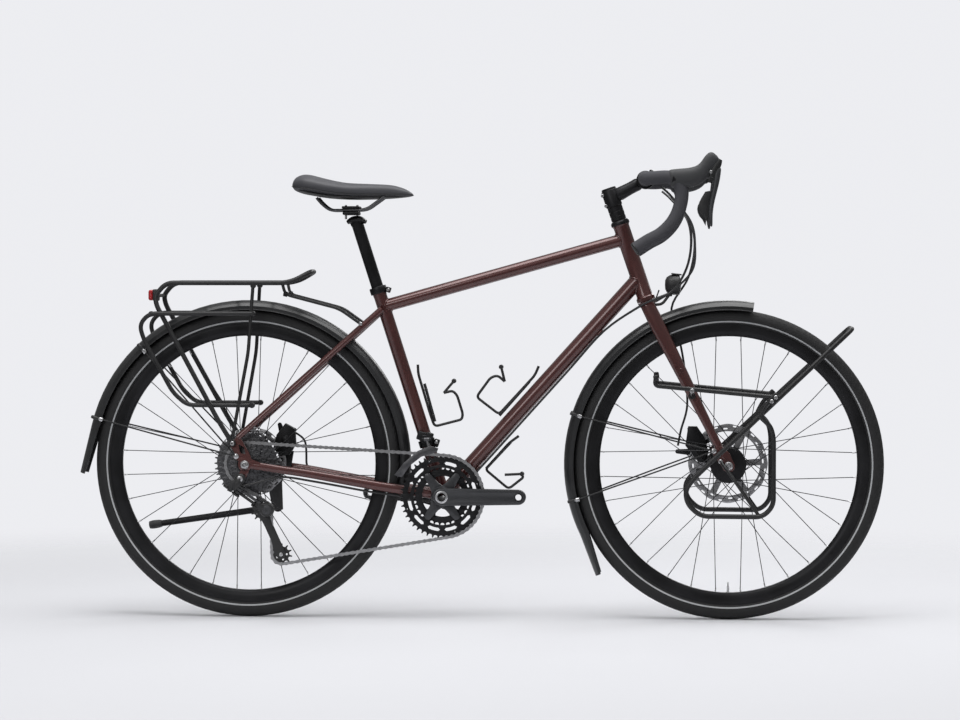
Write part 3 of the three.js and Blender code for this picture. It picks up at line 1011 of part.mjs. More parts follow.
// Rear rack: one tube over both sides with its front hoop, a side loop and a strut on each side
{
  const r = REAR_RACK;
  const at = (x, z, y) => from(REAR_AXLE, x, z, y);
  const right = [
    at(r.footX, r.footZ, r.halfFoot), at(r.ankleX, r.ankleZ, r.halfFoot - 1), at(r.shoulderX, r.shoulderZ, r.halfBend + 4),
    at(r.bendX, r.bendZ, r.halfBend), at(r.rearX, r.topZ, r.halfTop), at(r.frontX, r.topZ, r.halfTop), at(r.hoopX, r.hoopZ, r.halfHoop),
  ];
  const left = right.map((point) => point.clone().setY(-point.y)).reverse();
  const spine = tube([...right, ...left], RACK.tubeRadius, RACK.bend);
  const strutTube = tube([
    at(r.strutX, r.topZ, r.halfTop), at(r.strutKneeX, r.strutKneeZ, r.halfSide - 3), at(r.footX, r.footZ + 12, r.halfFoot - 2),
  ], RACK.braceRadius, 0);
  const side = tube([
    at(r.strutX, r.sideZ, r.halfSide - 4), at(r.sideRearX, r.sideZ, r.halfSide), at(r.sideCornerX, r.sideCornerZ, r.halfSide),
    at(r.sideLowX, r.sideLowZ, r.halfSide), at(r.lowRearX, r.lowZ, r.halfSide), at(r.lowFrontX, r.lowZ, r.halfSide),
  ], RACK.tubeRadius - 0.5, RACK.bend / 2);
  const foot = strut(at(r.footX, r.footZ, r.halfFoot - 6), at(r.footX, r.footZ, r.halfFoot + 3), RACK_EYE.radius, RACK_EYE.radius, 8);
  const sideLink = (x, z, y) => strut(at(x, z, y), at(x, z, r.halfSide), RACK.braceRadius, RACK.braceRadius, 5);
  const stayRod = tube([
    at(r.frontX - 18, r.topZ, r.halfTop - 6), at(r.frontX - 12, r.topZ - 26, r.halfTop - 12), at(r.frontX + 110, r.topZ - 58, 46),
    at(r.frontX + 158, r.topZ - 92, 42),
  ], 3.5, 0);
  const crossBars = [-120, -30, 60].map((x) => strut(at(x, r.topZ, -r.halfTop), at(x, r.topZ, r.halfTop), RACK.braceRadius, RACK.braceRadius, 5));
  const lampPlate = strut(at(r.bendX, r.bendZ, -r.halfBend), at(r.bendX, r.bendZ, r.halfBend), RACK.braceRadius, RACK.braceRadius, 6);
  const parts = fuse(strutTube, side, foot, stayRod, sideLink(-210, r.sideZ, r.halfBend), sideLink(-75, r.lowZ, r.halfFoot - 2), sideLink(-14, r.lowZ, r.halfFoot - 4));
  add("rear_rack", fuse(spine, pair(parts), crossBars, lampPlate), "blackTube");

  const lampFace = at(TAIL_LIGHT.x, TAIL_LIGHT.z, 0);
  const lampBack = lampFace.clone().add(v(TAIL_LIGHT.depth - GAP, 0, 0));
  const lamp = (y) => strut(lampFace.clone().setY(y), lampBack.clone().setY(y), TAIL_LIGHT.radius * 0.85, TAIL_LIGHT.radius, 10);
  const spread = TAIL_LIGHT.halfWidth - TAIL_LIGHT.radius;
  const middle = new THREE.BoxGeometry(TAIL_LIGHT.depth - GAP, spread * 2, TAIL_LIGHT.radius * 1.6).translate(lampFace.x + (TAIL_LIGHT.depth - GAP) / 2, 0, lampFace.z);
  add("tail_light", fuse(lamp(-spread), lamp(spread), middle), "lens");
}

// Front rack: one tube for both side loops and the hoop over the tyre, with arms and braces to the fork
{
  const r = FRONT_RACK;
  const at = (x, z, y) => from(FRONT_AXLE, x, z, y);
  const right = [
    at(r.joinX, r.joinZ, r.halfSide), at(r.shoulderX, r.shoulderZ, r.halfSide), at(r.frontX, r.shoulderZ - 25, r.halfSide),
    at(r.frontX, r.lowFrontZ, r.halfSide), at(r.toeX, r.lowZ, r.halfSide), at(r.heelX, r.lowZ, r.halfSide),
    at(r.rearX, r.rearLowZ, r.halfSide), at(r.cornerX, r.cornerZ, r.halfSide), at(r.elbowX, r.elbowZ, r.halfSide),
    at(r.joinX + 4, r.joinZ + 6, r.halfSide), at(r.hoopX, r.hoopZ, r.halfHoop),
  ];
  const left = right.map((point) => point.clone().setY(-point.y)).reverse();
  const spine = tube([...right, ...left], RACK.tubeRadius, RACK.bend);
  const arm = tube([
    at(r.armRearX, r.hookZ, r.halfSide), at(r.armRearX - 3, r.armRearZ, r.halfSide), at(r.armFrontX, r.armFrontZ, r.halfSide),
  ], RACK.tubeRadius - 0.5, 0);
  const boltY = BLADE_OUTER + GAP;
  const bolt = strut(at(r.boltX, r.boltZ, boltY), at(r.boltX, r.boltZ, r.halfSide + 3), 7, 7, 8);
  const hanger = plate([
    [-12, 16], [16, 14], [20, -4], [8, -10], [-8, -10],
  ].map(([x, z]) => [FRONT_AXLE.x + r.boltX + x, FRONT_AXLE.z + r.boltZ + z]), r.halfSide - 4, r.halfSide + 2);
  const joint = plate([[98, 168], [124, 158], [112, 140], [92, 146]].map(([x, z]) => [FRONT_AXLE.x + x, FRONT_AXLE.z + z]), r.halfSide - 3, r.halfSide + 3);
  const footY = FORK.dropoutHalfSpacing + FORK.dropoutThickness + GAP;
  const brace = loft([
    { at: at(r.braceTopX, r.braceTopZ, footY + 2.5 * Math.SQRT1_2), wide: 2.5, deep: 9 }, { at: at(r.braceTopX + 26, r.braceTopZ - 34, r.halfSide), wide: 2.5, deep: 9 },
    { at: at(r.braceLowX, r.braceLowZ, r.halfSide), wide: 2.5, deep: 9 },
  ], 4);
  add("front_rack", fuse(spine, pair(fuse(arm, bolt, hanger, joint, brace))), "blackTube");
}

// Kickstand: a plate on the left chainstay and a leg on a slanting pivot
{
  const st = STAND;
  const legWay = v(-st.legLength, 0, -44).normalize();
  const pivotWay = new THREE.Vector3().crossVectors(legWay, v(-0.46, 0.35, -0.815)).normalize().multiplyScalar(-1);
  const pivotPlace = from(REAR_AXLE, st.pivotX, st.pivotZ, st.pivotY);
  const alongPivot = (distance) => pivotPlace.clone().addScaledVector(pivotWay, distance);
  const outline = [[24, 4], [72, -8], [66, -50], [68, -112], [44, -112], [32, -50]].map(([x, z]) => [REAR_AXLE.x + x, REAR_AXLE.z + z]);
  const holder = plate(outline, st.plateInnerY, st.plateInnerY + st.plateThickness);
  const boss = strut(alongPivot(-10), alongPivot(0), st.discRadius, st.discRadius, 10);
  const discRoom = strut(alongPivot(0), alongPivot(st.discLength * 2), st.discRadius + GAP * 3);
  add("kickstand_bracket", fuse(carve(holder, discRoom), boss), "blackMetal");
  const disc = strut(alongPivot(GAP), alongPivot(st.discLength), st.discRadius, st.discRadius, 12);
  const start = alongPivot(st.discLength * 0.72);
  const end = start.clone().addScaledVector(legWay, st.legLength);
  const leg = loft([
    { at: start, wide: st.legRadius, deep: st.legRadius }, { at: start.clone().lerp(end, 0.8), wide: st.legRadius, deep: st.legRadius + 2 },
    { at: start.clone().lerp(end, 0.94), wide: st.footHalf * 0.6, deep: st.legRadius + 2.5 }, { at: end, wide: st.footHalf * 0.6, deep: st.legRadius },
  ], 8);
  add("kickstand_leg", fuse(disc, leg), "blackMetal");
}

// Calipers: a body that straddles the rotor, with its cable arm outside
function caliper(name, axlePlace, rotorY, rotorRadius, outline, armEnds, foot) {
  const shift = rotorY - FRONT_ROTOR_Y;
  const [inner, outer] = [CALIPER.innerY + shift, CALIPER.outerY + shift];
  const placed = (points) => points.map(([x, z]) => [axlePlace.x + x, axlePlace.z + z]);
  const body = fuse(
    plate(placed(outline), inner, outer), foot ? plate(placed(foot), outer - CALIPER.footThickness, outer - GAP) : [],
  );
  const clear = ROTOR.thickness / 2 + CALIPER.slotClearance;
  const slot = turned([[0, rotorY - clear], [rotorRadius + 3, rotorY - clear], [rotorRadius + 3, rotorY + clear], [0, rotorY + clear]], 24)
    .translate(axlePlace.x, 0, axlePlace.z);
  add(name + "_caliper", carve(body, slot), "blackMetal");
  const [pivot, end] = placed(armEnds);
  const arm = plate(linkOutline(pivot, CALIPER.armRadius, end, CALIPER.armRadius * 0.7, 4), outer + GAP, outer + GAP + CALIPER.armThickness);
  add(name + "_caliper_arm", arm, "blackMetal");
}
caliper("front", FRONT_AXLE, FRONT_ROTOR_Y, ROTOR.frontRadius,
  [[-90, 84], [-70, 84], [-52, 58], [-44, 26], [-48, 2], [-68, 4], [-96, 40]], [[-66, 24], [-114, 26]]);
caliper("rear", REAR_AXLE, REAR_ROTOR_Y, ROTOR.rearRadius,
  [[50, 30], [58, 62], [78, 88], [100, 76], [102, 40], [88, 16], [66, 14]], [[74, 48], [63, 84]],
  [[62, 24], [96, 24], [90, -12], [70, -10]]);

// Steerer spacers and stem
{
  const clampFrom = FRAME.headTubeLength + FORK.steererAboveHead - STEM.clampHeight;
  const clampTo = FRAME.headTubeLength + FORK.steererAboveHead;
  const foot = FRAME.headTubeLength + FRAME.upperCupHeight + GAP;
  const column = turnedAlong([
    [0, foot], [STEM.spacerRadius, foot], [STEM.spacerRadius, clampFrom], [STEM.clampRadius, clampFrom],
    [STEM.clampRadius, clampTo], [STEM.spacerRadius, clampTo + STEM.capHeight], [0, clampTo + STEM.capHeight],
  ], HEAD_BOTTOM, HEAD_WAY, 12);
  const root = onHead(clampTo - STEM.clampHeight / 2);
  const barRing = strut(
    BAR_CENTRE.clone().setY(-STEM.barHalfWidth), BAR_CENTRE.clone().setY(STEM.barHalfWidth),
    BAR.centreRadius + STEM.barWall, BAR.centreRadius + STEM.barWall, ROUND_SIDES,
  );
  const neck = strut(root, BAR_CENTRE, STEM.armRadius + 1, STEM.armRadius, 10);
  const barRoom = strut(BAR_CENTRE.clone().setY(-OVERRUN), BAR_CENTRE.clone().setY(OVERRUN), BAR.centreRadius + GAP, BAR.centreRadius + GAP, ROUND_SIDES);
  const steererRoom = strut(onHead(foot - GAP), onHead(clampTo + GAP), STEM.bore, STEM.bore, 12);
  add("stem", carve(fuse(column, barRing, neck), barRoom, steererRoom), "blackMetal");
}

// Handlebar with its tape
const BAR_PATH = [
  [0, 0, 52], [0, 0, 165], [6, -1, 188], [20, -1, 199], [52, 0, 204], [70, -9, 205.5], [80.7, -30, 207],
  [76, -66, 210], [61.5, -97, 214], [36.4, -122.8, 218], [7, -139.3, 222], [-19.5, -156.3, 226],
].map(([x, z, y]) => from(BAR_CENTRE, x, z, y));
{
  const centre = strut(
    BAR_CENTRE.clone().setY(-BAR.centreHalf), BAR_CENTRE.clone().setY(BAR.centreHalf), BAR.centreRadius, BAR.centreRadius, ROUND_SIDES,
  );
  add("handlebar", fuse(centre, pair(tube(BAR_PATH, BAR.tapeRadius, 0, 8))), "tape");
}

// Brake hoods, levers and shift paddles, drawn on the left and mirrored to the right
{
  const at = (x, z) => v(x, HOOD_Y, z);
  const hoodBody = loft([
    { at: at(436, 990), wide: 17.5, deep: 16 }, { at: at(462, 987), wide: 17.5, deep: 21 }, { at: at(488, 993), wide: 15.5, deep: 20 },
    { at: at(508, 1007), wide: 14.5, deep: 19 }, { at: at(521, 1024), wide: 13, deep: 17 }, { at: at(527, 1038), wide: 9, deep: 9 },
  ], 10);
  const barRoom = tube(BAR_PATH, BAR.tapeRadius + GAP, 0, 8);
  const slotHalf = LEVER.rootHalf + LEVER.slotClear;
  const pivot = [LEVER.pivotX, LEVER.pivotZ];
  const slotRadius = LEVER.rootRadius + LEVER.slotClear * 2;
  const slot = plate([
    ...arc(...pivot, slotRadius, 80, 230, 6), [pivot[0] + 4, pivot[1] - OVERRUN], [pivot[0] + OVERRUN * 1.5, pivot[1] - OVERRUN],
    [pivot[0] + OVERRUN * 1.5, pivot[1] + slotRadius + 2],
  ], HOOD_Y - slotHalf, HOOD_Y + slotHalf);
  const hood = carve(hoodBody, barRoom, slot);
  const root = plate([
    ...arc(...pivot, LEVER.rootRadius, 60, 270, 8), [pivot[0] + 18, pivot[1] - 16], [pivot[0] + 23, pivot[1] + 4], [pivot[0] + 16, pivot[1] + 9],
  ], HOOD_Y - LEVER.rootHalf, HOOD_Y + LEVER.rootHalf);
  const blade = loft([
    { at: at(531, 1000), wide: 8, deep: 5.5 }, { at: at(530.5, 974), wide: 8, deep: 5.5 }, { at: at(519.5, 938), wide: 7, deep: 4.5 },
    { at: at(517, 905), wide: 6.5, deep: 4.2 }, { at: at(518.5, 882), wide: 6, deep: 4 },
  ], 8);
  const lever = fuse(root, blade);
  const paddle = plate([
    [519.8, 961], [505, 958], [492, 935], [492, 920], [503, 903], [510.4, 889], [512.2, 905], [514.6, 938],
  ], HOOD_Y - 6, HOOD_Y + 1);
  for (const [side, shape] of [["left", (g) => g], ["right", mirrored]]) {
    add("hood_" + side, shape(hood), "rubber");
    add("brake_lever_" + side, shape(lever), "blackPlastic");
    add("shift_paddle_" + side, shape(paddle), "blackPlastic");
  }
}

// Seatpost with its clamp, the saddle's base with rails, and its cover
{
  const top = onSeat(FRAME.seatTubeLength + SEATPOST.above - 10);
  const post = strut(onSeat(FRAME.seatTubeLength - SEATPOST.below), top, SEATPOST.radius);
  const clampCentre = v(-291, 0, 921);
  const block = new THREE.BoxGeometry(42, 2 * SADDLE.railSpread + 14, 15).translate(clampCentre.x, 0, clampCentre.z - 3);
  const neck = strut(onSeat(FRAME.seatTubeLength + SEATPOST.above - 30), clampCentre, SEATPOST.radius, SEATPOST.radius, 10);
  const railPath = [[-368, 950], [-358, 938], [-338.8, 921.5], [-256, 922.7], [-214, 953]].map(([x, z]) => v(x, SADDLE.railSpread, z));
  const rail = tube(railPath, SADDLE.railRadius, 0, 6);
  const railRoom = tube(railPath, SADDLE.railRadius + GAP, 0, 6);
  add("seatpost", carve(fuse(post, block, neck), pair(railRoom)), "blackMetal");

  // Each row: x, height of the underside and of the top, half width of the cover
  const STATIONS = [
    [-422, 971, 983, 40], [-408, 962, 1003, 62], [-380, 955, 1002, 73], [-345, 949, 993, 68], [-300, 946, 984, 50],
    [-250, 946, 985, 32], [-200, 948, 980, 22], [-165, 951, 967, 18], [-151, 953, 959, 11],
  ];
  const ring = (x, low, high, halfWidth) => {
    const middle = (low + high) / 2;
    const half = (high - low) / 2;
    return Array.from({ length: 10 }, (_, k) => {
      const angle = ((k + 0.5) / 10) * 2 * Math.PI;
      const z = middle + half * Math.sin(angle);
      return v(x, halfWidth * Math.sign(Math.cos(angle)) * Math.abs(Math.cos(angle)) ** 0.8, z);
    });
  };
  const cover = skin(STATIONS.map(([x, low, high, halfWidth]) => ring(x, low + 9, high, halfWidth)));
  const basePan = skin(STATIONS.slice(1, -1).map(([x, low, , halfWidth]) => ring(x, low - 1, low + 16, halfWidth - 5)));
  const base = fuse(basePan, pair(rail));
  add("saddle_cover", carve(cover, skin(STATIONS.slice(1, -1).map(([x, low, , halfWidth]) => ring(x, low - 1 - GAP, low + 16 + GAP, halfWidth - 5 + GAP)))), "cover");
  add("saddle_base", base, "blackPlastic");
}

// Bottle cages: bent rods with a post to each boss
{
  const cage = (name, loop, prong, bosses, tubeStart, tubeEnd, tubeRadius) => {
    const rod = tube(sideways(loop, 0), CAGE.wire, 0, 5);
    const arm = tube(sideways(prong, 0), CAGE.wire, 0, 4);
    const knobPlace = prong[0];
    const knob = strut(v(knobPlace[0], -CAGE.knob, knobPlace[1]), v(knobPlace[0], CAGE.knob, knobPlace[1]), CAGE.knob * 1.6, CAGE.knob * 1.6, 8);
    const rail = tube(sideways(bosses, 0), CAGE.wire * 1.6, 0, 4);
    const room = clearOf(tubeStart, tubeEnd, tubeRadius);
    const tubeWay = tubeEnd.clone().sub(tubeStart).normalize();
    const posts = sideways(bosses, 0).map((boss) => {
      const root = tubeStart.clone().addScaledVector(tubeWay, boss.clone().sub(tubeStart).dot(tubeWay));
      return strut(boss, boss.clone().lerp(root, CAGE.postShare), CAGE.knob, CAGE.knob, 6);
    });
    add(name, carve(fuse(rod, arm, knob, rail, posts), room), "blackMetal");
  };
  cage("bottle_cage_seat_tube", [[-141, 573], [-140, 552], [-113, 461], [-103, 433], [-41, 449], [-39, 462], [-52, 504], [-62, 514], [-82, 509]],
    [[-82, 509], [-59, 536]], [[-126, 530], [-102, 444]], BOTTOM_BRACKET, SEAT_TOP, FRAME.seatTubeRadius);
  cage("bottle_cage_down_tube", [[133, 570], [124, 549], [43, 461], [-8, 500], [24, 544], [40, 549], [56, 535]],
    [[56, 535], [48, 568]], [[112, 535], [44, 458]], BOTTOM_BRACKET, DOWN_TUBE_FRONT, FRAME.downTubeRadius);
  cage("bottle_cage_under", [[88, 412], [66, 396], [12, 336], [65, 292], [98, 318], [95, 326]],
    [[56, 324], [95, 326]], [[70, 398], [14, 338]], BOTTOM_BRACKET, DOWN_TUBE_FRONT, FRAME.downTubeRadius);
}

// Headlight on its bracket
{
  const place = from(FRONT_AXLE, HEADLIGHT.x, HEADLIGHT.z);
  const body = turnedAlong([
    [0, 0], [HEADLIGHT.radius * 0.55, 0], [HEADLIGHT.radius, HEADLIGHT.depth * 0.6], [HEADLIGHT.radius, HEADLIGHT.depth],
    [HEADLIGHT.radius * 0.85, HEADLIGHT.depth * 1.25], [0, HEADLIGHT.depth * 1.3],
  ], place, v(1, 0, 0), 12);
  const bracketFoot = onHead(-FRAME.lowerCupHeight - FORK.crownDrop * 0.9, FORK.crownHalfDepth);
  const bracket = tube([bracketFoot, bracketFoot.clone().add(v(18, 0, 4)), place.clone().add(v(6, 0, -12))], 3.5, 0, 6);
  const crownRoom = strut(onHead(-FRAME.lowerCupHeight - FORK.crownDrop * 2), onHead(0), FORK.crownHalfDepth + GAP * 6);
  add("headlight", carve(fuse(body, bracket), crownRoom), "blackPlastic");
}

// Control cables: two from each hood, three of them under the down tube, and one down the fork
{
  const downWay = DOWN_TUBE_FRONT.clone().sub(BOTTOM_BRACKET).normalize();
  const underWay = new THREE.Vector3().crossVectors(ACROSS, downWay).normalize();
  const under = (along, side) => BOTTOM_BRACKET.clone().addScaledVector(downWay, along)
    .addScaledVector(underWay, CABLE.underTube).setY(side * CABLE.halfSpread);
  const cord = (points, side = 1) => tube(
    points.map((point) => (Array.isArray(point) ? v(point[0], side * point[1], point[2]) : point)), CABLE.radius, 0, 4,
  );
  const fromHood = (side) => [
    [410, 186, 968], [430, 172, 950], [466, 122, 905], [476, 74, 852], [466, 52, 792], [436, 50, 742], [396, 50, 722],
    [362, 40, 706],
  ].map(([x, y, z]) => v(x, side * y, z));
  const shellLow = BOTTOM_BRACKET.z - FRAME.shellRadius - CABLE.radius - GAP * 2;
  const toRear = (side) => [
    under(540, side), under(70, side), v(BOTTOM_BRACKET.x + 12, side * CABLE.halfSpread, shellLow),
    v(BOTTOM_BRACKET.x - 14, side * 16, shellLow), v(-168, side * 33, 275), v(-250, side * 44, 288), v(-372, side * 58, 311),
  ];
  const right = cord([...fromHood(-1), ...toRear(-1), v(-446, -64, 321)]);
  const left = cord([...fromHood(1), ...toRear(1), v(-396, 76, 322), v(-404, 80, 345), v(-406, 74, 392), v(-424, 68, 412)]);
  const frontBrake = cord([
    [410, 186, 968], [434, 176, 946], [474, 132, 894], [484, 90, 840], [470, 62, 770], [432, 58, 700], [462, 62, 560],
    [468, 60, 480], [454, 57, 424], [447, 57, 388],
  ]);
  const shift = cord([[-410, 0, 968], [430, -172, 950], [474, -132, 894], [484, -90, 840], [478, -62, 786], [436, -50, 742]].slice(1));
  const guide = new THREE.BoxGeometry(10, 2 * CABLE.halfSpread + 8, CABLE.radius * 2)
    .translate(BOTTOM_BRACKET.x, 0, shellLow);
  add("control_cables", fuse(right, left, frontBrake, shift, guide), "rubber");
}

export default bicycle;
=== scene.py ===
"""A touring bicycle, dressed over its fixed frame of solids.

Every shape is drawn in millimetres, in the solids' own frame: X forward, Y to the
rider's left, Z up. A finished piece is brought to metres when it is mounted.
"""

from __future__ import annotations

import json
import logging
import math
from dataclasses import dataclass, field
from enum import Enum
from typing import Any, Iterable, Sequence

import bmesh
import bpy
from mathutils import Matrix, Vector

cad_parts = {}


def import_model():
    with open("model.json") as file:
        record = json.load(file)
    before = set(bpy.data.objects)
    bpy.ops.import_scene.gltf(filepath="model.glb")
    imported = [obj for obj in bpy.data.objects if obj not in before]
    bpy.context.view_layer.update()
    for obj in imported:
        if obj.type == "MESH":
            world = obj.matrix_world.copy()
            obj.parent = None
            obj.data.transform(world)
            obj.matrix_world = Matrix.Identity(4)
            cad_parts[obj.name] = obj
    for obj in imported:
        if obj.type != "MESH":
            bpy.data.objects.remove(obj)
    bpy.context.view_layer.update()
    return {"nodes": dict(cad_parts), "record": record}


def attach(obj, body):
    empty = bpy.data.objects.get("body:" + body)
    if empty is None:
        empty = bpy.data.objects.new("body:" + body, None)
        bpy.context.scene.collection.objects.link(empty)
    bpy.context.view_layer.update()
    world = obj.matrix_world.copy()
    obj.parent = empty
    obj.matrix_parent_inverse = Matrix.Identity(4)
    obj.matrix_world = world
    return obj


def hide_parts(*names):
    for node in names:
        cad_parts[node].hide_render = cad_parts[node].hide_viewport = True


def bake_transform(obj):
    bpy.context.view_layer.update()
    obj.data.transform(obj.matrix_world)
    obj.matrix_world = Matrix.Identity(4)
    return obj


LOG = logging.getLogger("bicycle")
MM = 0.001
MERGE = 0.001
SMOOTH_ANGLE = 35
COAT_ROUGHNESS = 0.08
MADE: list[str] = []

Pair = tuple[float, float]
Triple = tuple[float, float, float]
Colour = tuple[float, float, float]
Obj = bpy.types.Object
Loop = Sequence[Pair]
Socket = bpy.types.NodeSocket


def unit(angle: float) -> Vector:
    """The side-view direction at an angle in degrees above forward."""
    return Vector((math.cos(math.radians(angle)), 0, math.sin(math.radians(angle))))


ACROSS = Vector((0, 1, 0))
FORWARD = Vector((1, 0, 0))
UP = Vector((0, 0, 1))
REAR_AXLE = Vector((-526, 0, 349))
FRONT_AXLE = Vector((560, 0, 349))
BRACKET = Vector((-82.308, 0, 277.6))
SEAT_WAY = unit(180 - 72.31)
HEAD_WAY = unit(180 - 71.27)
HEAD_FRONT = Vector((HEAD_WAY.z, 0, -HEAD_WAY.x))
HEAD_BOTTOM = Vector((372.395, 0, 726.658))
HEAD_LENGTH = 170.3
SEAT_LENGTH = 494.3
HEAD_RADIUS = 18
SEAT_RADIUS = 15
SHELL_RADIUS = 20.5
WELD_REACH = 90
HEAD_TOP = HEAD_BOTTOM + HEAD_WAY * HEAD_LENGTH
SEAT_TOP = BRACKET + SEAT_WAY * SEAT_LENGTH
BAR_CENTRE = HEAD_BOTTOM + HEAD_WAY * (HEAD_LENGTH + 64) + Vector((76.1, 0, 40.8))
GUIDE_WHEEL = Vector((-492, -38.3, 243))
TENSION_WHEEL = Vector((-447.514, -38.3, 144.58))
KNEE = Vector((-478.4, -38.3, 246.7))
BOLT_CIRCLE = 55
WELD_STEPS = 40
WELD_RIPPLE = 0.12
RING_HALF = 0.9
RING_BEVEL = 0.25
SMALL_RING_TEETH = 32
SMALL_RING_Y = -40
JOCKEY_HALF = 1.1
COG_HALF = 0.85
ROTOR_HALF = 0.95
LINK_HALF = 0.4
SENSOR_WIDTH = 36
VIEW_END = 60
FLOOR_RADIUS = 3.6
FADE_START = 1.1
FADE_END = 2.9


class Body(str, Enum):
    """The bodies that the pieces ride on."""

    FRAME = "frame"
    SEAT = "seat"
    STEERING = "steering"
    FRONT_WHEEL = "front_wheel"
    REAR_WHEEL = "rear_wheel"
    CASSETTE = "cassette"
    CRANKSET = "crankset"
    LINK = "derailleur_link"
    KNUCKLE = "derailleur_knuckle"
    CAGE = "derailleur_cage"
    JOCKEY_UPPER = "jockey_upper"
    JOCKEY_LOWER = "jockey_lower"
    FRONT_CAGE = "front_derailleur_cage"
    FRONT_ARM = "front_caliper_arm"
    REAR_ARM = "rear_caliper_arm"
    STAND = "kickstand_leg"


class Slot(str, Enum):
    """The material slots that a finish belongs to."""

    PAINT = "frame_paint"
    TYRE = "tyre_rubber"
    ANODISED = "black_anodised"
    TUBE = "black_tube"
    PLASTIC = "black_plastic"
    STEEL = "steel"
    RUBBER = "soft_rubber"
    TAPE = "bar_tape"
    SKIN = "saddle_skin"
    LENS = "red_lens"


class Side(Enum):
    """The rider's side of the bicycle that a piece is on, and its sign along Y."""

    LEFT = 1
    RIGHT = -1

    @property
    def word(self) -> str:
        """The side's name in a piece's name."""
        return self.name.lower()


# ---- bench


@dataclass(frozen=True)
class Station:
    """One oval ring of a loft: its middle, its half width along Y and its half depth."""

    centre: Vector
    wide: float
    deep: Vector

    @classmethod
    def between(cls, low: Pair, high: Pair, y: float, wide: float) -> "Station":
        """A ring between a lower and an upper (x, z) point of the side view."""
        a, b = Vector((low[0], y, low[1])), Vector((high[0], y, high[1]))
        return cls((a + b) / 2, wide, (b - a) / 2)

    def matrix(self) -> Matrix:
        """The map from a unit circle in XY to this ring."""
        normal = ACROSS.cross(self.deep).normalized()
        columns = (ACROSS * self.wide, self.deep, normal)
        turned_map = Matrix(columns).transposed().to_4x4()
        return Matrix.Translation(self.centre) @ turned_map


def smoothed(rows: Sequence[Sequence[float]], steps: int) -> list[tuple[float, ...]]:
    """Rows of numbers with smooth rows put between them, each span in so many steps."""
    result: list[tuple[float, ...]] = []
    last = len(rows) - 1
    for i in range(last):
        p0, p1, p2, p3 = (rows[max(0, min(last, i + k))] for k in (-1, 0, 1, 2))
        for k in range(steps):
            t = k / steps
            result.append(
                tuple(
                    0.5 * (
                        2 * b + (c - a) * t + (2 * a - 5 * b + 4 * c - d) * t * t
                        + (3 * b - a - 3 * c + d) * t ** 3
                    )
                    for a, b, c, d in zip(p0, p1, p2, p3)
                )
            )
    result.append(tuple(rows[last]))
    return result


def rounded(corners: Sequence[Vector], reach: float, steps: int = 6) -> list[Vector]:
    """A bent path: straight runs with a soft bend that reaches so far from each corner."""
    points = [corners[0].copy()]
    for before, corner, after in zip(corners, corners[1:], corners[2:]):
        near = min(reach, (before - corner).length * 0.48, (after - corner).length * 0.48)
        start = corner + (before - corner).normalized() * near
        end = corner + (after - corner).normalized() * near
        for k in range(steps + 1):
            t = k / steps
            points.append(start * (1 - t) ** 2 + corner * 2 * t * (1 - t) + end * t * t)
    points.append(corners[-1].copy())
    return points


def polar(centre: Pair, radius: float, angle: float) -> Pair:
    """The point at a radius from a centre, at an angle in radians."""
    return (centre[0] + radius * math.cos(angle), centre[1] + radius * math.sin(angle))


def ring(centre: Pair, radius: float, sides: int, start: float = 0) -> list[Pair]:
    """The corners of a round outline, with its first corner at an angle in degrees."""
    angles = [math.radians(start + 360 * i / sides) for i in range(sides)]
    return [polar(centre, radius, a) for a in angles]


def arc(centre: Pair, radius: float, first: float, last: float, steps: int) -> list[Pair]:
    """Points round a centre from one angle to another, in degrees."""
    angles = [math.radians(first + (last - first) * i / steps) for i in range(steps + 1)]
    return [polar(centre, radius, a) for a in angles]


def link_outline(a: Pair, radius_a: float, b: Pair, radius_b: float) -> list[Pair]:
    """The outline of a flat link with a round end at each of its two centres."""
    heading = math.degrees(math.atan2(b[1] - a[1], b[0] - a[0]))
    return (
        arc(a, radius_a, heading + 90, heading + 270, 10)
        + arc(b, radius_b, heading - 90, heading + 90, 10)
    )


def slot_outline(
    centre: Pair, radius: float, middle: float, half_angle: float, half_width: float
) -> list[Pair]:
    """The outline of a slot that follows a circle, with its angles in degrees."""
    outer = arc(centre, radius + half_width, middle - half_angle, middle + half_angle, 5)
    inner = arc(centre, radius - half_width, middle + half_angle, middle - half_angle, 5)
    tip = half_angle + math.degrees(half_width / radius)
    return (
        outer + arc(centre, radius, middle + tip, middle + tip, 1)[:1] + inner
        + arc(centre, radius, middle - tip, middle - tip, 1)[:1]
    )


def side_points(rows: Iterable[Sequence[float]]) -> list[Vector]:
    """Points written as (x, z, y), with y left out where it is zero."""
    return [Vector((r[0], r[2] if len(r) > 2 else 0, r[1])) for r in rows]


def bent(
    rows: Iterable[Sequence[float]], reach: float, radius: float, sides: int, steps: int = 6
) -> Obj:
    """A round bar bent through points written as (x, z, y)."""
    return tube(rounded(side_points(rows), reach, steps), radius, sides=sides)


def cable(points: Sequence[Sequence[float]], steps: int = 6) -> Obj:
    """A cable that passes smoothly through points written as (x, y, z)."""
    rows = smoothed(points, steps)
    return tube([Vector(r) for r in rows], CABLE_RADIUS, sides=10)


def clear() -> None:
    """Leaves edit mode and deselects everything."""
    if bpy.context.mode != "OBJECT":
        bpy.ops.object.mode_set(mode="OBJECT")
    bpy.ops.object.select_all(action="DESELECT")


def pick(*pieces: Obj) -> None:
    """Selects these pieces alone, with the first one active."""
    clear()
    for piece in pieces:
        piece.select_set(True)
    bpy.context.view_layer.objects.active = pieces[0]


def settle(piece: Obj, matrix: Matrix) -> Obj:
    """Places a piece by a matrix and applies it to the mesh."""
    pick(piece)
    piece.matrix_world = matrix
    bpy.ops.object.transform_apply(location=True, rotation=True, scale=True)
    return piece


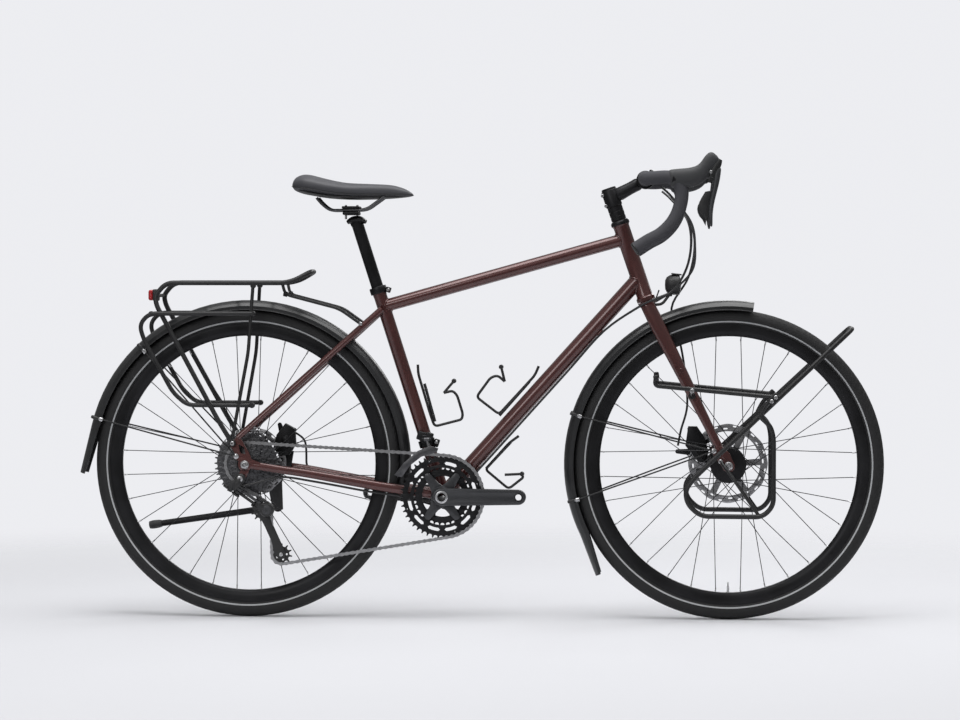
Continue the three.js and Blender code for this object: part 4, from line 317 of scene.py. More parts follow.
def outward(piece: Obj) -> Obj:
    """Merges a piece's doubled corners and turns its faces outwards."""
    pick(piece)
    bpy.ops.object.mode_set(mode="EDIT")
    bpy.ops.mesh.select_all(action="SELECT")
    bpy.ops.mesh.remove_doubles(threshold=MERGE)
    bpy.ops.mesh.normals_make_consistent(inside=False)
    bpy.ops.object.mode_set(mode="OBJECT")
    return piece


def modify(piece: Obj, kind: str, **settings: Any) -> Obj:
    """Adds a modifier with these settings and applies it."""
    pick(piece)
    modifier = piece.modifiers.new(kind.lower(), kind)
    for key, value in settings.items():
        setattr(modifier, key, value)
    bpy.ops.object.modifier_apply(modifier=modifier.name)
    return piece


def rounded_by(piece: Obj) -> Obj:
    """Rounds a piece by one step of subdivision."""
    return modify(piece, "SUBSURF", levels=1, render_levels=1)


def softened(piece: Obj, width: float, segments: int = 2) -> Obj:
    """Bevels a piece's sharp edges."""
    return modify(
        piece, "BEVEL", width=width, segments=segments, limit_method="ANGLE",
        angle_limit=math.radians(40)
    )


def join(parts: Sequence[Obj]) -> Obj:
    """Joins meshes into the first of them."""
    if len(parts) > 1:
        pick(*parts)
        bpy.ops.object.join()
    return parts[0]


def copies(piece: Obj, matrices: Iterable[Matrix]) -> list[Obj]:
    """Copies of a piece, each with its own mesh moved by a matrix; the piece itself goes."""
    made = []
    for matrix in matrices:
        twin = piece.copy()
        twin.data = piece.data.copy()
        twin.data.transform(matrix)
        if matrix.determinant() < 0:
            twin.data.flip_normals()
        bpy.context.collection.objects.link(twin)
        made.append(twin)
    bpy.data.objects.remove(piece)
    return made


def both(*parts: Obj) -> list[Obj]:
    """Each part with its mirror image on the bicycle's other side."""
    flip = Matrix.Scale(-1, 4, ACROSS)
    return [twin for part in parts for twin in copies(part, (Matrix.Identity(4), flip))]


def turned(profile: Sequence[Pair], place: Vector, way: Vector = ACROSS, steps: int = 32) -> Obj:
    """Spins a profile of (radius, distance along the axis) corners about an axis."""
    clear()
    bpy.ops.mesh.primitive_circle_add(vertices=len(profile), fill_type="NOTHING")
    piece = bpy.context.object
    for corner, (radius, along) in zip(piece.data.vertices, profile):
        corner.co = (radius, 0, along)
    bpy.ops.object.mode_set(mode="EDIT")
    bpy.ops.mesh.select_all(action="SELECT")
    bpy.ops.mesh.spin(steps=steps, angle=2 * math.pi, center=(0, 0, 0), axis=(0, 0, 1))
    outward(piece)
    turn = UP.rotation_difference(way).to_matrix().to_4x4()
    return settle(piece, Matrix.Translation(place) @ turn)


def tube(
    points: Sequence[Vector], radius: float, shares: Sequence[float] | None = None,
    sides: int = 12, cyclic: bool = False
) -> Obj:
    """A round bar along a path, with the share of its radius at each point if it changes."""
    clear()
    bpy.ops.curve.primitive_bezier_curve_add()
    piece = bpy.context.object
    curve = piece.data
    curve.splines.clear()
    spline = curve.splines.new("POLY")
    spline.points.add(len(points) - 1)
    for i, point in enumerate(points):
        spline.points[i].co = (*point, 1)
        spline.points[i].radius = shares[i] if shares else 1
    spline.use_cyclic_u = cyclic
    curve.dimensions = "3D"
    curve.bevel_depth = radius
    curve.bevel_resolution = max(0, (sides - 4) // 2)
    curve.use_fill_caps = not cyclic
    bpy.ops.object.convert(target="MESH")
    return outward(bpy.context.object)


def flat(loops: Sequence[Loop], low: float, high: float, bevel: float = 0) -> Obj:
    """A flat plate between two values of y: its (x, z) outline first, then its holes."""
    clear()
    bpy.ops.curve.primitive_bezier_curve_add()
    piece = bpy.context.object
    curve = piece.data
    curve.splines.clear()
    for loop in loops:
        spline = curve.splines.new("POLY")
        spline.points.add(len(loop) - 1)
        for point, (x, z) in zip(spline.points, loop):
            point.co = (x, z, 0, 1)
        spline.use_cyclic_u = True
    curve.dimensions = "2D"
    curve.fill_mode = "BOTH"
    curve.extrude = (high - low) / 2 - bevel
    curve.bevel_depth = bevel
    curve.bevel_resolution = 1
    curve.offset = -bevel
    bpy.ops.object.convert(target="MESH")
    outward(bpy.context.object)
    stand = Matrix.Translation((0, (low + high) / 2, 0)) @ Matrix.Rotation(math.pi / 2, 4, "X")
    return settle(bpy.context.object, stand)


def loft(stations: Sequence[Station], sides: int = 16, square: float = 1) -> Obj:
    """Extrudes a filled circle from ring to ring; below 1, square makes each ring squarer."""
    clear()
    bpy.ops.mesh.primitive_circle_add(vertices=sides, radius=1, fill_type="NGON")
    piece = bpy.context.object
    for corner in piece.data.vertices:
        x, y = corner.co.x, corner.co.y
        corner.co = (math.copysign(abs(x) ** square, x), math.copysign(abs(y) ** square, y), 0)
    bpy.ops.object.mode_set(mode="EDIT")
    bpy.ops.mesh.select_all(action="SELECT")
    mesh = bmesh.from_edit_mesh(piece.data)
    pose = stations[0].matrix()
    bmesh.ops.transform(mesh, matrix=pose, verts=mesh.verts[:])
    for station in stations[1:]:
        bmesh.update_edit_mesh(piece.data)
        bpy.ops.mesh.extrude_region_move()
        mesh = bmesh.from_edit_mesh(piece.data)
        picked = [corner for corner in mesh.verts if corner.select]
        following = station.matrix()
        bmesh.ops.transform(mesh, matrix=following @ pose.inverted(), verts=picked)
        pose = following
    bmesh.update_edit_mesh(piece.data)
    return outward(piece)


def blade(rows: Sequence[Sequence[float]], steps: int = 4, sides: int = 16) -> Obj:
    """An oval bar through rows of x, z, y, half width and half depth."""
    rows = smoothed(rows, steps)
    places = [Vector((x, y, z)) for x, z, y, _, _ in rows]
    stations = []
    for i, (_, _, _, wide, deep) in enumerate(rows):
        run = places[min(i + 1, len(places) - 1)] - places[max(i - 1, 0)]
        run.y = 0
        away = ACROSS.cross(run).normalized()
        stations.append(Station(places[i], wide, away * deep))
    return loft(stations, sides)


def rod(start: Vector, end: Vector, radius: float, sides: int = 16) -> Obj:
    """A straight round bar with its end edges eased."""
    length = (end - start).length
    ease = min(radius * 0.15, length * 0.1)
    profile = [
        (0, 0), (radius - ease, 0), (radius, ease), (radius, length - ease),
        (radius - ease, length), (0, length)
    ]
    return turned(profile, start, (end - start).normalized(), sides)


def bolt(place: Vector, way: Vector, radius: float, height: float) -> Obj:
    """A round bolt head with a socket in it."""
    socket, depth = radius * 0.45, height * 0.6
    profile = [
        (0, 0), (radius, 0), (radius, height * 0.7), (radius * 0.8, height), (socket, height),
        (socket, height - depth), (0, height - depth)
    ]
    return turned(profile, place, way, 12)


def block(centre: Vector, size: Triple, bevel: float, turn: float = 0) -> Obj:
    """A bevelled block, turned about Y by an angle in degrees."""
    clear()
    bpy.ops.mesh.primitive_cube_add(size=1)
    matrix = (
        Matrix.Translation(centre) @ Matrix.Rotation(math.radians(-turn), 4, "Y")
        @ Matrix.Diagonal((*size, 1))
    )
    return softened(settle(bpy.context.object, matrix), bevel, 3)


# ---- finishes


class NodeSheet:
    """One material's node tree, with short ways to add nodes to it."""

    def __init__(self, name: str) -> None:
        """Starts a material with its shader."""
        self.material = bpy.data.materials.new(name)
        self.material.use_nodes = True
        self.tree = self.material.node_tree
        self.shader = self.tree.nodes["Principled BSDF"]

    def node(self, kind: str, **settings: Any) -> bpy.types.Node:
        """Adds a node of a kind and sets its own properties."""
        node = self.tree.nodes.new(kind)
        for key, value in settings.items():
            setattr(node, key, value)
        return node

    def feed(self, node: bpy.types.Node, key: str | int, value: Any) -> None:
        """Links a socket, or writes a plain value, into a node's input."""
        if isinstance(value, Socket):
            self.tree.links.new(value, node.inputs[key])
        else:
            node.inputs[key].default_value = value

    def place(self, centre: Vector | None = None) -> Socket:
        """Object coordinates in metres, from a centre given in millimetres."""
        coordinates = self.node("ShaderNodeTexCoord").outputs["Object"]
        if centre is None:
            return coordinates
        mapping = self.node("ShaderNodeMapping")
        self.feed(mapping, "Vector", coordinates)
        mapping.inputs["Location"].default_value = -centre * MM
        return mapping.outputs["Vector"]

    def noise(self, place: Socket, scale: float, detail: float = 2) -> Socket:
        """Noise with so many cells in a metre."""
        node = self.node("ShaderNodeTexNoise")
        self.feed(node, "Vector", place)
        self.feed(node, "Scale", scale)
        self.feed(node, "Detail", detail)
        return node.outputs["Fac"]

    def sum(self, operation: str, a: Any, b: Any = 0) -> Socket:
        """One step of arithmetic on two values."""
        node = self.node("ShaderNodeMath", operation=operation)
        self.feed(node, 0, a)
        self.feed(node, 1, b)
        return node.outputs[0]

    def spread(self, value: Socket, low: float, high: float) -> Socket:
        """A value's middle range spread from low to high."""
        node = self.node("ShaderNodeMapRange")
        self.feed(node, "Value", value)
        self.feed(node, "From Min", 0.3)
        self.feed(node, "From Max", 0.7)
        self.feed(node, "To Min", low)
        self.feed(node, "To Max", high)
        return node.outputs["Result"]

    def blend(self, share: Socket, first: Any, second: Any) -> Socket:
        """Two colours mixed by a share."""
        node = self.node("ShaderNodeMix", data_type="RGBA")
        self.feed(node, 0, share)
        for key, value in ((6, first), (7, second)):
            plain = isinstance(value, tuple)
            self.feed(node, key, (*value, 1) if plain else value)
        return node.outputs[2]

    def surface(self, colour: Socket, patch: Socket, low: float, high: float) -> None:
        """Gives the shader its colour, and a roughness that a noise spreads."""
        self.feed(self.shader, "Base Color", colour)
        self.feed(self.shader, "Roughness", self.spread(patch, low, high))

    def axes(self, vector: Socket) -> Sequence[Socket]:
        """The three parts of a vector."""
        node = self.node("ShaderNodeSeparateXYZ")
        self.feed(node, "Vector", vector)
        return node.outputs

    def relief(self, height: Socket, strength: float, depth: float) -> None:
        """Gives the surface a relief, with its depth in millimetres."""
        node = self.node("ShaderNodeBump")
        self.feed(node, "Height", height)
        self.feed(node, "Strength", strength)
        self.feed(node, "Distance", depth * MM)
        self.feed(self.shader, "Normal", node.outputs["Normal"])


@dataclass(frozen=True)
class Finish:
    """A finish whose colour drifts a little, with its own grain and gloss. The colour goes towards
    the worn colour in soft patches, and the grain is fine relief with so many cells in a metre."""

    name: str
    colour: Colour
    worn: Colour
    roughness: float
    metallic: float = 0
    patches: float = 14
    grain: float = 900
    depth: float = 0.03
    coat: float = 0
    sheen: float = 0
    slot: Slot = Slot.PLASTIC

    def material(self) -> bpy.types.Material:
        """The finish's material, made once."""
        made = bpy.data.materials.get(self.name)
        if made:
            return made
        sheet = NodeSheet(self.name)
        for key, value in (
            ("Metallic", self.metallic), ("Coat Weight", self.coat),
            ("Coat Roughness", COAT_ROUGHNESS), ("Sheen Weight", self.sheen)
        ):
            sheet.shader.inputs[key].default_value = value
        place = sheet.place()
        patch = sheet.noise(place, self.patches, 3)
        share = sheet.spread(patch, 0, 1)
        self.dress(sheet, place, sheet.blend(share, self.colour, self.worn), patch)
        return sheet.material

    def dress(self, sheet: NodeSheet, place: Socket, colour: Socket, patch: Socket) -> None:
        """Feeds the shader its colour, roughness and relief."""
        grain = sheet.noise(place, self.grain, 2)
        sheet.surface(colour, patch, self.roughness - 0.05, self.roughness + 0.07)
        sheet.relief(grain, 0.35, self.depth)


@dataclass(frozen=True)
class FlakePaint(Finish):
    """Metallic paint: fine bright flakes under a clear coat."""

    slot: Slot = Slot.PAINT
    flake: Colour = (0.34, 0.13, 0.11)

    def dress(self, sheet: NodeSheet, place: Socket, colour: Socket, patch: Socket) -> None:
        """Feeds the shader the flaked colour under its clear coat."""
        cells = sheet.node("ShaderNodeTexVoronoi")
        sheet.feed(cells, "Vector", place)
        sheet.feed(cells, "Scale", 2600)
        lit = sheet.sum("LESS_THAN", cells.outputs["Distance"], 0.2)
        weak = sheet.sum("MULTIPLY", lit, 0.5)
        flaked = sheet.blend(weak, colour, self.flake)
        sheet.surface(flaked, patch, self.roughness - 0.04, self.roughness + 0.05)
        sheet.relief(sheet.noise(place, 220, 1), 0.12, 0.05)


@dataclass(frozen=True)
class TyreRubber(Finish):
    """Tyre rubber with a tread on the crown and a bright stripe on each wall."""

    slot: Slot = Slot.TYRE
    centre: Triple = (0, 0, 0)
    stripe: Colour = (0.42, 0.43, 0.44)
    stripe_low: float = 0.3206
    stripe_high: float = 0.3238
    tread_low: float = 0.3365

    def dress(self, sheet: NodeSheet, place: Socket, colour: Socket, patch: Socket) -> None:
        """Feeds the shader the walls' stripe and the crown's tread."""
        x, y, z = sheet.axes(sheet.place(Vector(self.centre)))
        square = sheet.sum("ADD", sheet.sum("MULTIPLY", x, x), sheet.sum("MULTIPLY", z, z))
        radius = sheet.sum("SQRT", square)
        inside = sheet.sum("GREATER_THAN", radius, self.stripe_low)
        stripe = sheet.sum("MULTIPLY", inside, sheet.sum("LESS_THAN", radius, self.stripe_high))
        striped = sheet.blend(stripe, colour, self.stripe)
        sheet.surface(striped, patch, self.roughness - 0.05, self.roughness + 0.07)
        turn = sheet.sum("MULTIPLY", sheet.sum("ARCTAN2", z, x), 130)
        slant = sheet.sum("MULTIPLY", sheet.sum("ABSOLUTE", y), 620)
        blocks = sheet.sum("SINE", sheet.sum("ADD", turn, slant))
        ribs = sheet.sum("COSINE", sheet.sum("MULTIPLY", y, 900))
        raised = sheet.sum("MINIMUM", sheet.sum("ADD", blocks, 0.55), sheet.sum("ADD", ribs, 0.9))
        height = sheet.sum("MINIMUM", sheet.sum("MAXIMUM", raised, 0), 0.6)
        crown = sheet.sum("GREATER_THAN", radius, self.tread_low)
        tread = sheet.sum("MULTIPLY", height, crown)
        wall = sheet.sum("MULTIPLY", sheet.noise(place, 1400), 0.12)
        sheet.relief(sheet.sum("ADD", tread, wall), 0.8, 1.2)


@dataclass(frozen=True)
class WrappedTape(Finish):
    """Cork tape wound round the bar in overlapping turns."""

    slot: Slot = Slot.TAPE
    turns: float = 26

    def dress(self, sheet: NodeSheet, place: Socket, colour: Socket, patch: Socket) -> None:
        """Feeds the shader a painted shade along each turn's edge, the step there and the tape's
        small pores.
        """
        axes = sheet.axes(sheet.node("ShaderNodeUVMap").outputs["UV"])
        along = sheet.sum("MULTIPLY", axes[0], self.turns)
        lap = sheet.sum("FRACT", sheet.sum("ADD", along, axes[1]))
        # painted shade: the colour darkens along each lap's edge, where the crease at the step
        # lies in shadow
        edge = sheet.sum("LESS_THAN", lap, 0.1)
        shade = sheet.sum("MULTIPLY", edge, 0.6)
        crease_shaded_colour = sheet.blend(shade, colour, (0.008, 0.008, 0.009))
        sheet.surface(crease_shaded_colour, patch, self.roughness - 0.05, self.roughness + 0.05)
        pores = sheet.sum("MULTIPLY", sheet.noise(place, self.grain), 0.25)
        sheet.relief(sheet.sum("ADD", sheet.sum("SQRT", lap), pores), 0.7, 0.9)


@dataclass(frozen=True)
class Lens(Finish):
    """A moulded lens with fine ribs inside it."""

    slot: Slot = Slot.LENS
    clear: float = 0.5
    ribs: float = 900

    def dress(self, sheet: NodeSheet, place: Socket, colour: Socket, patch: Socket) -> None:
        """Feeds the shader the tinted body and its ribs."""
        sheet.shader.inputs["Transmission Weight"].default_value = self.clear
        sheet.surface(colour, patch, self.roughness, self.roughness + 0.04)
        axes = sheet.axes(place)
        upright = sheet.sum("SINE", sheet.sum("MULTIPLY", axes[2], self.ribs * 2))
        level = sheet.sum("SINE", sheet.sum("MULTIPLY", axes[1], self.ribs * 2))
        sheet.relief(sheet.sum("MULTIPLY", upright, level), 0.4, 0.4)


PAINT = FlakePaint(
    "maroon_flake_paint", (0.062, 0.013, 0.012), (0.078, 0.018, 0.016), 0.34, metallic=0.45,
    patches=9, coat=0.9
)
ANODISED = Finish(
    "black_anodised_alloy", (0.014, 0.014, 0.015), (0.022, 0.022, 0.024), 0.38, metallic=0.75,
    grain=2200, depth=0.02, slot=Slot.ANODISED
)
CRANK_METAL = Finish(
    "grey_painted_alloy", (0.034, 0.035, 0.039), (0.044, 0.045, 0.049), 0.36, metallic=0.45,
    grain=1800, depth=0.015, coat=0.25, slot=Slot.ANODISED
)
RACK_COAT = Finish(
    "black_powder_coat", (0.011, 0.011, 0.012), (0.017, 0.017, 0.018), 0.42, metallic=0.1,
    grain=1500, depth=0.06, slot=Slot.TUBE
)
GUARD_PLASTIC = Finish(
    "satin_guard_plastic", (0.011, 0.0115, 0.0125), (0.016, 0.0165, 0.018), 0.34, grain=1200,
    depth=0.03, coat=0.15
)
MOULDED = Finish(
    "moulded_black_plastic", (0.013, 0.013, 0.014), (0.019, 0.019, 0.02), 0.46, grain=1600,
    depth=0.06
)
LEVER_RESIN = Finish(
    "lever_grey_resin", (0.04, 0.041, 0.045), (0.054, 0.055, 0.059), 0.4, metallic=0.2, grain=1500,
    depth=0.03
)
HOOD_RUBBER = Finish(
    "hood_rubber", (0.03, 0.031, 0.034), (0.04, 0.041, 0.044), 0.62, grain=1300, depth=0.12,
    sheen=0.1, slot=Slot.RUBBER
)
CABLE_JACKET = Finish(
    "cable_jacket", (0.014, 0.014, 0.015), (0.022, 0.022, 0.024), 0.42, grain=900, depth=0.03,
    slot=Slot.RUBBER
)
SADDLE_SKIN = Finish(
    "saddle_skin", (0.022, 0.0225, 0.025), (0.03, 0.0305, 0.034), 0.56, patches=22, grain=1100,
    depth=0.16, sheen=0.12, slot=Slot.SKIN
)
TAPE = WrappedTape("bar_tape", (0.022, 0.0225, 0.025), (0.031, 0.0315, 0.034), 0.66, grain=1800)
SILVER = Finish(
    "bright_steel", (0.56, 0.56, 0.57), (0.44, 0.44, 0.45), 0.28, metallic=1, patches=60,
    grain=2400, depth=0.02, slot=Slot.STEEL
)
CHAIN_STEEL = Finish(
    "chain_steel", (0.42, 0.42, 0.43), (0.3, 0.3, 0.31), 0.32, metallic=1, patches=120, grain=2400,
    depth=0.03, slot=Slot.STEEL
)
ROTOR_STEEL = Finish(
    "brushed_rotor_steel", (0.36, 0.36, 0.37), (0.28, 0.28, 0.29), 0.34, metallic=1, patches=80,
    grain=2600, depth=0.03, slot=Slot.STEEL
)
COG_STEEL = Finish(
    "dark_cog_steel", (0.12, 0.12, 0.125), (0.075, 0.075, 0.08), 0.36, metallic=0.95, patches=90,
    grain=2400, depth=0.03, slot=Slot.STEEL
)
SPOKE_BLACK = Finish(
    "black_spoke_steel", (0.02, 0.02, 0.022), (0.032, 0.032, 0.034), 0.34, metallic=0.7,
    patches=40, slot=Slot.ANODISED
)
RED_LENS = Lens("red_lamp_lens", (0.5, 0.012, 0.018), (0.62, 0.03, 0.035), 0.12, clear=0.35)
CLEAR_LENS = Lens(
    "clear_lamp_lens", (0.85, 0.87, 0.9), (0.9, 0.91, 0.93), 0.05, clear=0.85, ribs=500
)


def mount(
    name: str, parts: Sequence[Obj] | Obj, look: Finish, body: Body | str, node: str = "",
    angle: float = SMOOTH_ANGLE
) -> Obj:
    """Finishes a piece and sets it on its body."""
    piece = dressed(name, parts, look, node, angle)
    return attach(piece, body.value if isinstance(body, Body) else body)


def dressed(
    name: str, parts: Sequence[Obj] | Obj, look: Finish, node: str = "",
    angle: float = SMOOTH_ANGLE
) -> Obj:
    """Finishes a piece drawn in millimetres and leaves it loose, in metres."""
    piece = join([parts] if isinstance(parts, bpy.types.Object) else parts)
    settle(piece, Matrix.Scale(MM, 4))
    bpy.ops.object.shade_smooth_by_angle(angle=math.radians(angle))
    piece.name = name
    piece.data.name = name
    piece.data.materials.clear()
    piece.data.materials.append(look.material())
    if node:
        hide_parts(node)
    MADE.append(name)
    LOG.info("%s: %d faces", name, len(piece.data.polygons))
    return piece


# ---- wheels


@dataclass
class Wheel:
    """A spoked wheel with its tyre, rim, hub and brake rotor."""

    name: str
    axle: Vector
    body: Body
    flange: float
    shell: float
    left_flange: float
    right_flange: float
    hub_ends: Pair
    rotor_radius: float
    rotor_y: float
    valve_angle: float
    tyre_radius: float = 349
    tyre_half: float = 19
    spokes: int = 32
    cross: float = 66

    def build(self) -> None:
        """Builds and mounts the whole wheel."""
        self.build_tyre()
        self.build_rim()
        self.build_spokes()
        self.build_hub()
        self.build_rotor()

    def build_tyre(self) -> None:
        """Turns the tyre's carcass with its crown and beads."""
        middle = self.tyre_radius - self.tyre_half
        outer = [
            (
                middle + self.tyre_half * math.cos(math.radians(a)),
                self.tyre_half * math.sin(math.radians(a))
            )
            for a in range(-130, 131, 10)
        ]
        inner = [(315, 10), (311.4, 10), (middle + 8, 14)]
        inner += [(middle + 14, 6), (middle + 14, -6), (middle + 8, -14)]
        inner += [(311.4, -10), (315, -10)]
        tyre = turned(outer + inner, self.axle, ACROSS, 128)
        rubber = TyreRubber(
            self.name + "_tyre_rubber", (0.009, 0.009, 0.0095), (0.014, 0.014, 0.015), 0.72,
            grain=1500, centre=tuple(self.axle)
        )
        mount(self.name + "_tyre_casing", tyre, rubber, self.body, self.name + "_tyre", 50)

    def build_rim(self) -> None:
        """Turns the rim and adds its valve and spoke nipples."""
        profile = [
            (315.6, -12.5), (313, -12.8), (302, -12.4), (296, -10.8), (290.5, -7.6), (289, -5.5),
            (289, 5.5), (290.5, 7.6), (296, 10.8), (302, 12.4), (313, 12.8), (315.6, 12.5),
            (315.6, 10.8), (311, 10.8), (311, -10.8), (315.6, -10.8)
        ]
        rim = turned(profile, self.axle, ACROSS, 128)
        away = unit(self.valve_angle)
        stem = turned(
            [(0, 0), (1.7, 0), (1.9, 9), (2.7, 9.4), (2.7, 22), (4.2, 22), (4.2, 25), (0, 25)],
            self.axle + away * 266, away, 12
        )
        nipple = turned(
            [(0, 0), (1.5, 0), (1.7, 9.5), (2.8, 10.5), (0, 11.5)], self.axle + FORWARD * 279.5,
            FORWARD, 8
        )
        nipples = copies(nipple, [self.turn(a) for a in self.spoke_angles()])
        mount(self.name + "_rim_shell", [rim], ANODISED, self.body, self.name + "_rim")
        mount(self.name + "_nipples", nipples, SILVER, self.body, angle=50)
        mount(self.name + "_valve", stem, SILVER, self.body)

    def spoke_angles(self) -> list[float]:
        """The angle of each spoke's end at the rim, in degrees."""
        return [(i + 0.5) * 360 / self.spokes for i in range(self.spokes)]

    def turn(self, angle: float) -> Matrix:
        """The turn about the axle that takes forward to an angle in degrees."""
        return (
            Matrix.Translation(self.axle) @ Matrix.Rotation(math.radians(-angle), 4, "Y")
            @ Matrix.Translation(-self.axle)
        )

    def build_spokes(self) -> None:
        """Draws one spoke of each of the four kinds and copies it round the hub."""
        made: list[Obj] = []
        for kind in range(4):
            left = kind % 2 == 0
            lean = self.cross if kind < 2 else -self.cross
            y = self.left_flange if left else -self.right_flange
            head_y = y + (3 if kind < 2 else -3)
            foot = self.axle + unit(lean) * (self.flange - 4)
            tip = self.axle + FORWARD * 283
            path = [
                foot + ACROSS * head_y, foot + ACROSS * y + (tip - foot).normalized() * 4,
                tip + ACROSS * (1 if left else -1)
            ]
            spoke = tube(path, 1, sides=6)
            angles = self.spoke_angles()[kind::4]
            made += copies(spoke, [self.turn(a) for a in angles])
        mount(self.name + "_spokes", made, SPOKE_BLACK, self.body)

    def build_hub(self) -> None:
        """Turns the hub's shell, its flanges and its end caps."""
        right, left = self.hub_ends
        edge, shell = self.flange, self.shell
        profile = [
            (5.4, right), (11, right), (12.5, right + 1.5), (12.5, -self.right_flange - 7),
            (edge - 4, -self.right_flange - 3), (edge - 1, -self.right_flange - 2.6),
            (edge, -self.right_flange - 1.4), (edge, -self.right_flange + 1.4),
            (edge - 1, -self.right_flange + 2.6), (shell + 3, -self.right_flange + 4),
            (shell, -self.right_flange + 7), (shell, -2), (shell - 0.8, -1), (shell - 0.8, 1),
            (shell, 2), (shell, self.left_flange - 7), (shell + 3, self.left_flange - 4),
            (edge - 1, self.left_flange - 2.6), (edge, self.left_flange - 1.4),
            (edge, self.left_flange + 1.4), (edge - 1, self.left_flange + 2.6),
            (edge - 4, self.left_flange + 3), (17, self.left_flange + 5), (17, self.rotor_y + 2.5),
            (12.5, self.rotor_y + 3.5), (11, left), (5.4, left)
        ]
        hub = turned(profile, self.axle, ACROSS, 48)
        head = bolt(self.axle + FORWARD * (edge - 4), ACROSS, 1.9, 1.2)
        ends = [
            self.turn(a) @ Matrix.Translation(ACROSS * (self.left_flange + 2.4))
            for a in range(0, 360, 20)
        ]
        mount(self.name + "_hub_shell", [hub], ANODISED, self.body, self.name + "_hub")
        mount(self.name + "_spoke_heads", copies(head, ends), SILVER, self.body)

    def build_rotor(self) -> None:
        """Cuts the rotor's waved track, slots and arms, with its lock ring."""
        centre = (self.axle.x, self.axle.z)
        radius = self.rotor_radius
        edge = [
            polar(centre, radius - 0.8 + 0.8 * math.cos(12 * a), a)
            for a in (2 * math.pi * i / 144 for i in range(144))
        ]
        loops: list[Loop] = [edge, ring(centre, 17.4, 36)]
        for i in range(6):
            middle = i * 60 + 30
            window = arc(centre, radius - 17, middle - 21, middle + 27, 8)
            window += arc(centre, 27, middle + 18, middle - 14, 5)
            loops.append(window)
        for i in range(24):
            shift = 3 if i % 2 else -3
            loops.append(slot_outline(centre, radius - 8 + shift, i * 15 + 4, 2.6, 1.7))
        rotor = flat(loops, self.rotor_y - ROTOR_HALF, self.rotor_y + ROTOR_HALF, 0.15)
        lock = turned(
            [(9, 1), (20, 1), (21.5, 2), (21.5, 3.4), (18, 4.2), (9, 4.2)],
            self.axle + ACROSS * self.rotor_y, ACROSS, 24
        )
        mount(self.name + "_rotor_disc", rotor, ROTOR_STEEL, self.body, self.name + "_rotor")
        mount(self.name + "_lock_ring", lock, ANODISED, self.body)


@dataclass
class Axle:
    """A wheel's axle between its dropouts, with its nuts."""

    name: str
    place: Vector
    body: Body
    half_spacing: float
    thickness: float
    hub_half: float

    def build(self) -> None:
        """Builds and mounts the axle."""
        out = self.half_spacing + self.thickness + 0.3
        axle_rod = rod(self.place - ACROSS * out, self.place + ACROSS * out, 5)
        nuts = []
        for side in (1, -1):
            way = ACROSS * side
            face = self.place + way * out
            nuts.append(
                turned(
                    [
                        (4, 0), (9.6, 0), (9.6, 1.2), (8.8, 1.6), (8.8, 5), (7.6, 6.6), (4.6, 7),
                        (4, 5.4)
                    ],
                    face, way, 6 if side > 0 else 24
                )
            )
            nuts.append(
                turned([(0, 0), (3.6, 0), (3.6, 5.8), (2.8, 6.4), (0, 6.4)], face, way, 16)
            )
            nuts.append(
                turned(
                    [
                        (5, self.hub_half + 0.4), (8.8, self.hub_half + 0.4),
                        (8.8, self.half_spacing - 0.4), (5, self.half_spacing - 0.4)
                    ],
                    self.place, way, 20
                )
            )
        mount(self.name + "_axle_set", [axle_rod, *nuts], SILVER, self.body, self.name + "_axle")


# ---- frame

TOP_TUBE_RADIUS = 14.3
DOWN_TUBE_RADIUS = 17.5
WELD_RADIUS = 2.1
REAR_DROPOUT_LOW = 67.8
REAR_DROPOUT_HIGH = 74
TUBE_ENDS = {
    "top_rear": SEAT_TOP - SEAT_WAY * 46, "top_front": HEAD_TOP - HEAD_WAY * 32.7,
    "down_front": HEAD_BOTTOM + HEAD_WAY * 42.9, "stay_top": SEAT_TOP + Vector((12, 0, -50)),
    "stay_end": REAR_AXLE + Vector((-11.5, 0, 64.8))
}


def weld_seam(
    start: Vector, way: Vector, radius: float, at: Vector, along: Vector, main: float
) -> Obj:
    """Draws a weld bead where one tube, from a point outside, meets a main tube."""
    first = way.orthogonal().normalized()
    second = way.cross(first)
    points = []
    for i in range(WELD_STEPS):
        angle = 2 * math.pi * i / WELD_STEPS
        foot = start + (first * math.cos(angle) + second * math.sin(angle)) * radius
        offset = foot - at
        across = offset - along * offset.dot(along)
        run = way - along * way.dot(along)
        a, b, c = run.dot(run), 2 * across.dot(run), across.dot(across) - main ** 2
        root = max(0, b * b - 4 * a * c)
        points.append(foot + way * ((-b - math.sqrt(root)) / (2 * a)))
    shares = [1 + WELD_RIPPLE * (i % 2) for i in range(WELD_STEPS)]
    return tube(points, WELD_RADIUS, shares, sides=8, cyclic=True)


